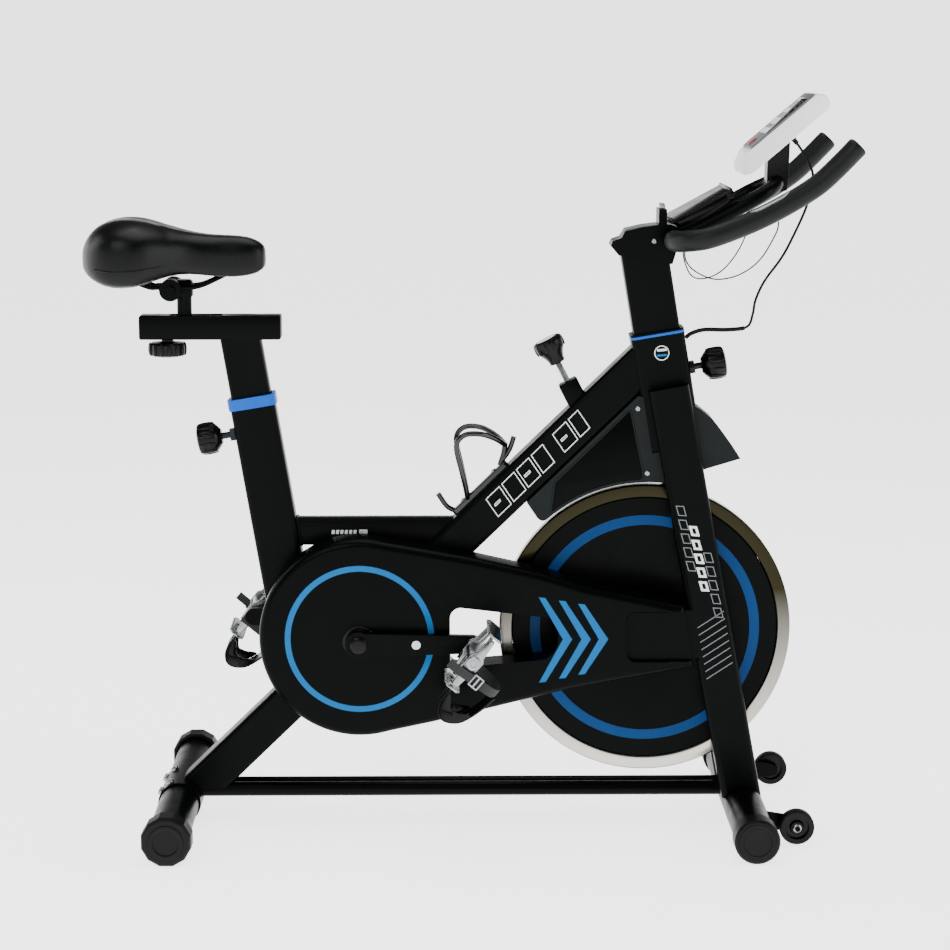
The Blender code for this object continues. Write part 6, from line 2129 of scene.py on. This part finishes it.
    def clip(self) -> None:
        """Builds the moulded toe clip: two side arms that meet in the cup over the toe."""
        half = self.length / 2 + 0.0003
        route = [(half, 0, -0.0095), (half, 0, 0.0040), (0.0560, 0, 0.0046), (0.0760, 0, 0.0056),
                 (0.0890, 0, 0.0110),
                 (0.0968, 0, 0.0210), (0.0945, 0, 0.0320), (0.0840, 0, 0.0445), (0.0660, 0, 0.0520),
                 (0.0440, 0, 0.0570), (0.0240, 0, 0.0592)]
        line = [(p.x, p.z) for p in smooth_path(route, 0.0040)]
        pieces = []
        for side in (-1, 1):
            rings = []
            outline = self.band(line, 0.0030)
            count = len(line)
            for index in range(count):
                share = index / (count - 1)
                near = 0.004 + 0.010 * math.sin(math.pi * min(share / 0.45, 1) * 0.5)
                near = near if share < 0.62 else near * max(1 - (share - 0.62) / 0.10, 0.0)
                wide = 0.026 - 0.004 * math.sin(math.pi * share)
                a, b = outline[index], outline[2 * count - 1 - index]
                rings.append([self.at(a[0], side * near, a[1]), self.at(a[0], side * wide, a[1]),
                              self.at(b[0], side * wide, b[1]), self.at(b[0], side * near, b[1])])
            pieces.append(rounded_edges(lofted(f"arm_{side}", rings), 0.0008, 2, 50))
        wall = [i for i in range(len(line)) if 0.16 < i / (len(line) - 1) < 0.74]
        for side in (-1, 1):
            edge = [line[i] for i in wall]
            inner = []
            for i in wall:
                share = (i - wall[0]) / (wall[-1] - wall[0])
                way = (Vector(line[i + 1]) - Vector(line[i - 1])).normalized()
                deep = 0.0025 + 0.0165 * math.sin(math.pi * share) ** 0.7
                inner.append((line[i][0] - way.y * deep, line[i][1] + way.x * deep))
            cheek = slab(f"cup_{side}", self.plane(side * 0.0245), edge + list(reversed(inner)), -0.0014,
                         0.0014)
            pieces.append(rounded_edges(cheek, 0.0008, 2, 50))
        clip = soften(joined("toe_clip_body_" + self.label, pieces), 45)
        settle(clip, self.body, NYLON, Slot.PLASTIC, "toe_clip_" + self.label)

    def strap(self) -> None:
        """Builds the woven strap round the foot, its buckle and its free end."""
        half = self.width / 2 + 0.0006
        inside = [(half, -0.0100), (half, 0.0100), (half, 0.0300), (0.0440, 0.0440), (0.0340, 0.0540),
                  (0.0170, 0.0605), (0.0, 0.0618)]
        path = smooth_path([(y, 0, z) for y, z in inside]
                           + [(-y, 0, z) for y, z in reversed(inside[:-1])], 0.003)
        flat = [(p.x, p.z) for p in path]
        rings = []
        for index, (y, z) in enumerate(flat):
            before, after = Vector(flat[max(index - 1, 0)]), Vector(flat[min(index + 1, len(flat) - 1)])
            way = (after - before).normalized()
            out = Vector((-way.y, way.x))
            ripple = 0.0001 * math.sin(index * 1.9)
            ring = []
            for toe, lift in ((-0.007, 0.0), (-0.007, 0.0020), (0.0, 0.0023), (0.007, 0.0020), (0.007, 0.0),
                              (0.0, 0.0)):
                ring.append(self.at(0.018 + toe, y + out.x * (lift + ripple), z + out.y * (lift + ripple)))
            rings.append(ring)
        webbing = Finish("woven_nylon_strap", "#101112", "#191b1c", 0.66, specular=0.3, grain_mm=1.2,
                         depth_mm=0.10,
                         mottle_mm=3.0)
        settle(soften(lofted("toe_strap_" + self.label, rings), 50), self.body, webbing, Slot.PLASTIC)
        side = -1 if self.label == "right" else 1
        buckle_at = side * (half + 0.0026)
        wide, tall = 0.0100, 0.0085
        ring = rounded_corners([(-wide, -tall), (wide, -tall), (wide, tall), (-wide, tall)], 0.002, 3)
        across = self.toe.copy() if side < 0 else -self.toe
        plane = Plane(self.at(0.018, buckle_at, 0.0200), across, self.foot.copy())
        frame = slab("buckle_frame", plane, ring, -0.0002, 0.0022, 0.0006, 2, inner=shifted(ring, -0.0026))
        bar = slab("buckle_bar", plane, [(-wide, -0.0012), (wide, -0.0012), (wide, 0.0012), (-wide, 0.0012)],
                   0.0002,
                   0.0028)
        settle(soften(joined("strap_buckle_" + self.label, [frame, bar]), 40), self.body, ZINC, Slot.STEEL)
        tail_route = [(0.0182, buckle_at + side * 0.0015, 0.0120),
                      (0.0185, buckle_at + side * 0.0040, 0.0020),
                      (0.0190, buckle_at + side * 0.0070, -0.0120),
                      (0.0190, buckle_at + side * 0.0080, -0.0300)]
        tail_line = smooth_path([self.at(*p) for p in tail_route], 0.003)
        rings = []
        for index, point in enumerate(tail_line):
            way = (tail_line[min(index + 1, len(tail_line) - 1)] - tail_line[max(index - 1, 0)]).normalized()
            out = self.toe.cross(way).normalized()
            rings.append([point + self.toe * a + out * b for a, b in
                          ((-0.0065, -0.0009), (0.0065, -0.0009), (0.0065, 0.0009), (-0.0065, 0.0009))])
        settle(soften(lofted("strap_tail_" + self.label, rings), 50), self.body, webbing, Slot.PLASTIC)


# ------------------------------------------------------------------ hand knobs
@dataclass
class HandKnob:
    """A ribbed hand knob on its pin."""

    shop: Workshop
    node: str
    joint: str
    ribs: int
    profile: tuple[Flat, ...]
    rib: tuple[float, float, float]
    rib_at: float
    rib_ring: float

    def build(self) -> None:
        """Builds the knob and its ribs."""
        body = FRAME["nodes"][self.node]["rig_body"]
        axis = heading(self.joint)
        start = self.start(axis)
        turned_body = soften(turned(self.node + "_core", self.profile, start, axis, 96), 32)
        settle(turned_body, body, NYLON, Slot.PLASTIC, self.node)
        turn = UP.rotation_difference(axis).to_euler()
        place = start + axis * self.rib_at
        host = empty_host(self.node)
        ring = self.shop.ribs.grow(self.node + "_ribs", host, NYLON, count=self.ribs,
                                   ring_radius=self.rib_ring,
                                   rib_size=self.rib, place=place, turn=Vector(turn))
        settle(soften(ring, 60), body, NYLON, Slot.PLASTIC)

    def start(self, axis: Vector) -> Vector:
        """Finds where the CAD knob starts along its axis.

        Args:
            axis: The knob's axis.

        Returns:
            The place.
        """
        anchor = pivot(self.joint)
        reach = [(vertex.co - anchor).dot(axis) for vertex in FRAME["nodes"][self.node].data.vertices]
        return anchor + axis * min(reach)


@dataclass
class Knobs:
    """All hand knobs and their pins."""

    shop: Workshop

    def build(self) -> None:
        """Builds the knobs, the pins and the tension knob's white cap."""
        pull = ((0.0056, 0.0), (0.0112, 0.0), (0.0122, 0.0012), (0.0165, 0.0045), (0.0212, 0.0090),
                (0.0224, 0.0120),
                (0.0228, 0.0310), (0.0212, 0.0350), (0.0170, 0.0366), (0.0, 0.0370))
        for node, joint in (("seat_post_knob", "seat_pin_knob_turn"), ("head_knob", "head_pin_knob_turn")):
            HandKnob(self.shop, node, joint, 10, pull, (0.0052, 0.0082, 0.0260), 0.0215, 0.0222).build()
        low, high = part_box("slider_knob")
        radius = (high.x - low.x) / 2
        tall = 0.0215
        under = ((0.0, 0.0), (radius - 0.0075, 0.0), (radius - 0.0035, 0.0018), (radius - 0.0026, 0.0050),
                 (radius - 0.0026, tall - 0.0040), (radius - 0.0050, tall - 0.0010), (0.0140, tall),
                 (0.0088, tall + 0.0010), (0.0086, tall + 0.0040), (0.0, tall + 0.0040))
        HandKnob(self.shop, "slider_knob", "slider_knob_turn", 14, under, (0.0058, 0.0072, tall - 0.0015),
                 tall / 2,
                 radius - 0.0028).build()
        self.slider_screw(low, high)
        self.tension()
        self.pins()

    def slider_screw(self, low: Vector, high: Vector) -> None:
        """Builds the threaded screw of the knob under the beam.

        Args:
            low: One end of its height.
            high: The other end.
        """
        centre = pivot("slider_knob_turn")
        bottom, top = low.z + 0.0255, high.z
        thread = self.thread("slider_screw", Vector((centre.x, centre.y, bottom)), UP, top - bottom, 0.0048)
        settle(thread, "slider_knob", ZINC, Slot.STEEL)

    @staticmethod
    def thread(name: str, start: Vector, axis: Vector, length: float, radius: float,
               pitch: float = 0.0015) -> Object:
        """Makes a threaded rod, drawn as ridges at the thread's pitch.

        Args:
            name: The piece's name.
            start: The middle of its first end.
            axis: The way that it points.
            length: Its length.
            radius: The thread's outer radius.
            pitch: The spacing of the ridges.

        Returns:
            The piece.
        """
        count = max(2, int(length / pitch))
        profile = [(0.0, 0.0)]
        for step in range(count):
            profile += [(radius - 0.0007, length * step / count), (radius, length * (step + 0.5) / count)]
        profile += [(radius - 0.0007, length), (0.0, length)]
        return soften(turned(name, profile, start, axis, 32), 60)

    def tension(self) -> None:
        """Builds the tension knob, its white cap and its collar."""
        axis = heading("tension_knob_turn")
        anchor = pivot("tension_knob_turn")
        reach = [(v.co - anchor).dot(axis) for v in FRAME["nodes"]["tension_knob"].data.vertices]
        top, bottom = min(reach), max(reach)
        tall = bottom - top
        start = anchor + axis * bottom
        up = -axis
        profile = [(0.0056, 0.0), (0.0108, 0.0), (0.0118, 0.0012), (0.0122, 0.0060), (0.0150, 0.0130),
                   (0.0196, 0.0205), (0.0219, 0.0260), (0.0227, 0.0320), (0.0226, tall - 0.0050),
                   (0.0215, tall - 0.0018), (0.0190, tall - 0.0004), (0.0168, tall), (0.0160, tall - 0.0010),
                   (0.0, tall - 0.0010)]
        settle(soften(turned("tension_knob_core", profile, start, up, 96), 32), "tension_knob", NYLON,
               Slot.PLASTIC,
               "tension_knob")
        cap = turned("tension_knob_cap", [(0, 0), (0.0154, 0), (0.0150, 0.0008), (0.0, 0.0014)],
                     start + up * (tall - 0.0010), up, 64)
        settle(soften(cap, 40), "tension_knob", WHITE, Slot.WHITE)
        host = empty_host("tension_knob")
        ring = self.shop.ribs.grow("tension_knob_ribs", host, NYLON, count=10, ring_radius=0.0214,
                                   rib_size=Vector((0.0048, 0.0070, 0.0180)),
                                   place=start + up * (tall - 0.0110),
                                   turn=Vector(UP.rotation_difference(up).to_euler()))
        settle(soften(ring, 60), "tension_knob", NYLON, Slot.PLASTIC)
        rod_reach = [(v.co - anchor).dot(axis) for v in FRAME["nodes"]["tension_rod"].data.vertices]
        rod_start = anchor + axis * min(rod_reach)
        length = max(rod_reach) - min(rod_reach)
        settle(self.thread("tension_rod_thread", rod_start, axis, length, 0.0050, 0.0018), "tension_rod",
               ZINC,
               Slot.STEEL, "tension_rod")

    def pins(self) -> None:
        """Builds the two pull pins with their hexagonal nuts and threads."""
        for node, joint, body in (("seat_post_pin", "seat_pin_pull", "seat_post_pin"),
                                  ("head_pin", "head_pin_pull", "head_pin")):
            settle(refined(node, 0.0005, 30), body, BLACKENED, Slot.STEEL, node)


# ------------------------------------------------------------------ flywheel guard
@dataclass
class Guard:
    """The textured guard over the flywheel: its shell, and a border, a panel and screws on each side."""

    shop: Workshop
    gap: float = 0.0065
    corner_deg: float = 134
    rear_run: float = 0.015
    front_run: float = 0.014

    def corner(self, reach: float) -> Object:
        """Makes the tool that rounds off the guard's rear corner.

        Args:
            reach: How far the tool goes to either side of the middle plane.

        Returns:
            The tool, a slab under a curve from the rear edge to the front edge.
        """
        wheel = pivot("flywheel_spin")
        foot = Vector(arc((wheel.x, wheel.z), size_of("flywheel").x / 2 + self.gap, self.corner_deg,
                          self.corner_deg, 1)[0])
        rear, front = Vector((-0.559, 0.829)), Vector((0.719, 0.695))
        start = foot + rear * self.rear_run
        end = foot + front * self.front_run + Vector((0.695, -0.719)) * 0.0007
        bow = [end * (1 - t) ** 2 + foot * 2 * t * (1 - t) + start * t ** 2
               for t in (step / 8 for step in range(9))]
        far = [start + Vector((-0.03, -0.02)), foot + Vector((0, -0.05)), end + Vector((0.02, -0.03))]
        return slab("corner", side_plane(0.0), [tuple(point) for point in far + bow], -reach, reach)

    def build(self) -> None:
        """Builds the guard."""
        low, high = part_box("flywheel_guard")
        shell = carve(refined("flywheel_guard"), self.corner(high.y + 0.01))
        settle(soften(rounded_edges(shell, 0.0012), 35), "frame", GUARD, Slot.PLASTIC, "flywheel_guard")
        wheel = pivot("flywheel_spin")
        reach = size_of("flywheel").x / 2 + self.gap
        outline = ([(0.1330, 0.5270), (0.2440, 0.6365), (0.2630, 0.5437)]
                   + arc((wheel.x, wheel.z), reach + 0.0050, 92, 128, 12))
        outline = rounded_corners(outline, 0.004, 3)
        for side, face in ((-1, low.y), (1, high.y)):
            plane = side_plane(face, side)
            loop = outline if side < 0 else [(-x, z) for x, z in reversed(outline)]
            rim = slab(f"guard_border_{side}", plane, shifted(loop, 0.0026), -0.0010, 0.0014, 0.0009, 3,
                       inner=loop)
            settle(soften(rim, 40), "frame", GUARD, Slot.PLASTIC)
            panel = slab(f"guard_panel_{side}", plane, shifted(loop, -0.0001), -0.0003, 0.0004, 0.0002, 2)
            settle(soften(panel, 40), "frame", COVER, Slot.PLASTIC)
        spots = [(Vector((x, y, z)), LEFT * math.copysign(1, y)) for y in (low.y, high.y)
                 for x, z in ((0.2710, 0.5420), (0.2560, 0.6400))]
        self.shop.screws("guard_screws", "frame", spots, 0.0042, 0.0022)


# ------------------------------------------------------------------ bottle cage
@dataclass
class BottleCage:
    """The wire bottle cage on the main tube, with its spine and two screws."""

    shop: Workshop
    wire: float = 0.0042

    def build(self) -> None:
        """Builds the cage."""
        angle = math.radians(44.2)
        way, out = Vector((math.cos(angle), 0, math.sin(angle))), Vector((-math.sin(angle), 0,
                                                                          math.cos(angle)))
        base = Vector((0.043, 0, 0.4506 + 0.043 * math.tan(angle))) + out * (0.029 + 0.0003)
        half = 0.056
        flat = rounded_corners([(-half, -0.009), (half, -0.009), (half, 0.009), (-half, 0.009)], 0.006, 5)
        spine = slab("spine", Plane(base, way, LEFT.copy()), flat, 0.0, 0.0078, 0.0018, 3)
        hoop = [(0.001, 0.006, 0.5000), (-0.002, 0.014, 0.5180), (-0.008, 0.026, 0.5450),
                (-0.016, 0.037, 0.5850),
                (-0.004, 0.040, 0.6020), (0.020, 0.036, 0.6030), (0.042, 0.022, 0.5940),
                (0.056, 0.006, 0.5830)]
        route = hoop + [(x, -y, z) for x, y, z in reversed(hoop)]
        pieces = [spine, swept("hoop", smooth_path(route, 0.004), self.wire, 16)]
        for name, points, radius in (
                ("stem", [(0.0575, 0, 0.585), (0.0560, 0, 0.570), (0.0500, 0, 0.550)], self.wire),
                ("rear_hook", [(-0.018, 0, 0.4800), (-0.031, 0, 0.4880), (-0.044, 0, 0.5070)], 0.0040),
                ("front_hook", [(0.0520, 0, 0.5560), (0.0640, 0, 0.5740), (0.0710, 0, 0.5940)], 0.0040)):
            pieces.append(swept(name, smooth_path(points, 0.003), radius, 16))
        cage = soften(joined("bottle_cage_wire", pieces), 45)
        gloss = Finish("gloss_moulded_nylon", "#060707", "#090a0a", 0.18, specular=0.35, coat=0.1,
                       grain_mm=4.0,
                       depth_mm=0.01)
        settle(cage, "frame", gloss, Slot.PLASTIC, "bottle_cage")
        spots = [(base + way * step + out * 0.0074, out) for step in (-0.032, 0.032)]
        self.shop.screws("bottle_cage_screws", "frame", spots, 0.0044, 0.0026)


# ------------------------------------------------------------------ feet, caps, wheels and small steel
@dataclass
class Feet:
    """The stabilizers' end caps, transport wheels, saddle plates, bolts and welds."""

    shop: Workshop

    def build(self) -> None:
        """Builds the pieces."""
        self.rear_caps()
        self.front_caps()
        self.wheels()
        self.plates()
        self.welds()

    def rear_caps(self) -> None:
        """Builds the twelve-sided turning caps with their ribs and recessed ends."""
        for label, side in (("right", -1), ("left", 1)):
            node = "rear_cap_" + label
            shell = refined(node, 0.0022, 20)
            settle(shell, node, RUBBER, Slot.RUBBER, node)
            low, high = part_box(node)
            outer = low.y if side < 0 else high.y
            centre = Vector((middle_of(node).x, outer, middle_of(node).z))
            ring = turned(node + "_ring", [(0.0185, -0.0006), (0.0260, -0.0006), (0.0255, 0.0012),
                                           (0.0240, 0.0016),
                                           (0.0200, 0.0016), (0.0190, 0.0010)], centre, LEFT * side, 72)
            settle(soften(ring, 35), node, RUBBER, Slot.RUBBER)

    def front_caps(self) -> None:
        """Builds the round front caps with a stepped face."""
        for label, side in (("right", -1), ("left", 1)):
            node = "front_cap_" + label
            settle(refined(node, 0.0022, 30), "frame", RUBBER, Slot.RUBBER, node)
            low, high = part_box(node)
            outer = low.y if side < 0 else high.y
            centre = Vector((middle_of(node).x, outer, middle_of(node).z))
            ring = turned(node + "_ring", [(0.0200, -0.0006), (0.0275, -0.0006), (0.0270, 0.0010),
                                           (0.0210, 0.0010)],
                          centre, LEFT * side, 72)
            settle(soften(ring, 35), "frame", RUBBER, Slot.RUBBER)

    def wheels(self) -> None:
        """Builds the transport wheels: a tread, a turned hub and its bolt."""
        for label, side in (("right", -1), ("left", 1)):
            node = "transport_wheel_" + label
            joint = f"transport_wheel_{label}_roll"
            low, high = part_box(node)
            centre = Vector((pivot(joint).x, (low.y + high.y) / 2, pivot(joint).z))
            radius, half = (high.z - low.z) / 2, (high.y - low.y) / 2
            bore = 0.0052
            tread = [(radius * 0.76, half * 0.92), (radius - 0.0028, half)]
            tread += [(radius - 0.0028 + 0.0028 * math.sin(math.radians(a)),
                       half - 0.0028 + 0.0028 * math.cos(math.radians(a)))
                      for a in (18, 36, 54, 72, 90)]
            tread += [(r, -h) for r, h in reversed(tread)]
            settle(soften(turned(node + "_tread", tread, centre, -LEFT, 96), 35), node, RUBBER, Slot.RUBBER,
                   node)
            hub = [(bore, half * 0.98), (radius * 0.34, half * 0.98), (radius * 0.38, half * 0.80),
                   (radius * 0.42, half * 0.30), (radius * 0.68, half * 0.26), (radius * 0.70, half * 0.88),
                   (radius * 0.765, half * 0.90)]
            hub += [(r, -h) for r, h in reversed(hub)]
            settle(soften(turned(node + "_hub", hub, centre, -LEFT, 96), 32), node, NYLON, Slot.PLASTIC)
            out = Vector((centre.x, centre.y - half - 0.0004, centre.z))
            bolts = [(out, -LEFT), (Vector((centre.x, centre.y + half + 0.0004, centre.z)), LEFT)]
            self.shop.screws(node + "_bolt", node, bolts, 0.0066, 0.0026)

    def plates(self) -> None:
        """Builds the curved plate over the rear stabilizer, with its dome bolts."""
        low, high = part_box("rear_stabilizer")
        centre = Vector(((low.x + high.x) / 2, 0, (low.z + high.z) / 2))
        radius = (high.z - low.z) / 2
        rings = []
        for step in range(25):
            angle = math.radians(-42 + 264 * step / 24)
            way = Vector((math.cos(angle), 0, math.sin(angle)))
            rings.append([centre + way * (radius + lift) + LEFT * y for y, lift in
                          ((-0.052, 0.0003), (-0.052, 0.0026), (0.052, 0.0026), (0.052, 0.0003))])
        plate = soften(rounded_edges(lofted("rear_saddle_plate", rings), 0.0006, 2, 50), 35)
        settle(plate, "frame", POWDER, Slot.POWDER)
        spots = []
        for y in (-0.036, 0.036):
            for angle in (118, 152):
                way = Vector((math.cos(math.radians(angle)), 0, math.sin(math.radians(angle))))
                spots.append((centre + way * (radius + 0.0024) + LEFT * y, way))
        self.shop.screws("rear_plate_bolts", "frame", spots, 0.0066, 0.0042)

    def welds(self) -> None:
        """Builds the weld beads where the tubes meet."""
        beads = []
        low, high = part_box("top_tube")
        middle = (low.z + high.z) / 2
        slope = math.tan(math.radians(9.5))
        front = -0.2551
        for y in (low.y - 0.0002, high.y + 0.0002):
            line = [Vector((front - (z - middle) * slope + 0.0016, y, z)) for z in
                    (low.z + (high.z - low.z) * step / 24 for step in range(25))]
            beads.append(swept(f"top_bead_{y}", line, self.ripple, 8))
        settle(soften(joined("weld_beads", beads), 60), "frame", POWDER, Slot.POWDER)

    @staticmethod
    def ripple(share: float) -> float:
        """Gives the radius of a weld bead along its way, with its ripples.

        Args:
            share: The share of the length.

        Returns:
            The radius there.
        """
        return 0.0021 + 0.0003 * math.sin(share * 60)


# ------------------------------------------------------------------ plain CAD shapes that only need a finish
@dataclass
class Castings:
    """The pieces whose CAD shape is right: they get rounded edges, smooth shading and their finish."""

    def build(self) -> None:
        """Dresses the pieces."""
        plan: list[tuple[Finish, Slot, float, tuple[str, ...]]] = [
            (POWDER, Slot.POWDER, 0.0004, ("rear_stabilizer", "front_stabilizer", "base_tube_right",
                                           "base_tube_left",
                                           "main_tube", "seat_tube", "top_tube", "head_tube",
                                           "fork_leg_right",
                                           "fork_leg_left", "handlebar_post")),
            (POWDER, Slot.POWDER, 0.0010, ("crank_arm_right", "crank_arm_left", "seat_post")),
            (BLUE_COLLAR, Slot.BLUE, 0.0010, ("seat_tube_collar",)),
            (ZINC, Slot.STEEL, 0.0004, ("flywheel_axle", "flywheel_pulley", "brake_arm")),
            (POWDER, Slot.STEEL, 0.0008, ("crank_axle", "saddle_clamp")),
            (POWDER, Slot.STEEL, 0.0006, ("saddle_slider",)),
            (NYLON, Slot.PLASTIC, 0.0006, ("drive_pulley",)),
            (RUBBER, Slot.RUBBER, 0.0, ("drive_belt",)),
            (FELT, Slot.FELT, 0.0006, ("brake_pad",)),
            (RED, Slot.RED, 0.0005, ("monitor_button",)),
        ]
        self.head_collar()
        for finish, slot, rounding, nodes in plan:
            for node in nodes:
                self.dress(node, finish, slot, rounding)

    @staticmethod
    def head_collar() -> None:
        """Builds the head tube's collar: a thin blue lip over a black sleeve."""
        low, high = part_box("head_tube_collar")
        middle = (low + high) / 2
        tilt = math.radians(9.5)
        up = Vector((-math.sin(tilt), 0, math.cos(tilt)))
        plane = Plane(middle, up.cross(LEFT), LEFT.copy())
        wide = [(-0.1, -0.1), (0.1, -0.1), (0.1, 0.1), (-0.1, 0.1)]
        lip = carve(refined("head_tube_collar"), slab("below", plane, wide, -0.05, -0.0006))
        settle(soften(rounded_edges(lip, 0.0008), 35), "frame", BLUE_COLLAR, Slot.BLUE, "head_tube_collar")
        sleeve = carve(refined("head_tube_collar"), slab("above", plane, wide, -0.0008, 0.05))
        sleeve.name = "head_tube_sleeve"
        settle(soften(rounded_edges(sleeve, 0.0008), 35), "frame", POWDER, Slot.POWDER)

    @staticmethod
    def dress(node: str, finish: Finish, slot: Slot, rounding: float) -> None:
        """Puts a clean copy of a CAD node in its place.

        Args:
            node: The node.
            finish: Its surface.
            slot: The record's material slot.
            rounding: The width of the rounding on its edges.
        """
        body = FRAME["nodes"][node]["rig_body"]
        settle(refined(node, rounding), body, finish, slot, node)


def main() -> None:
    """Builds the bike's sub-assemblies in order."""
    logging.basicConfig(level=logging.INFO, format="%(message)s")
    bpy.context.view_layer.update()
    Studio().build()
    Cords().build()
    shop = Workshop(PartSet(), RibRing())
    Castings().build()
    BeltCover(shop).build()
    Cranks().build()
    Flywheel(shop).build()
    Marks().build()
    Saddle().build()
    Handlebar(shop).build()
    Monitor(shop).build()
    Pedal(shop, "right", "pedal_right_spin").build()
    Pedal(shop, "left", "pedal_left_spin").build()
    Knobs(shop).build()
    Guard(shop).build()
    BottleCage(shop).build()
    Feet(shop).build()


if __name__ == "__main__":
    main()
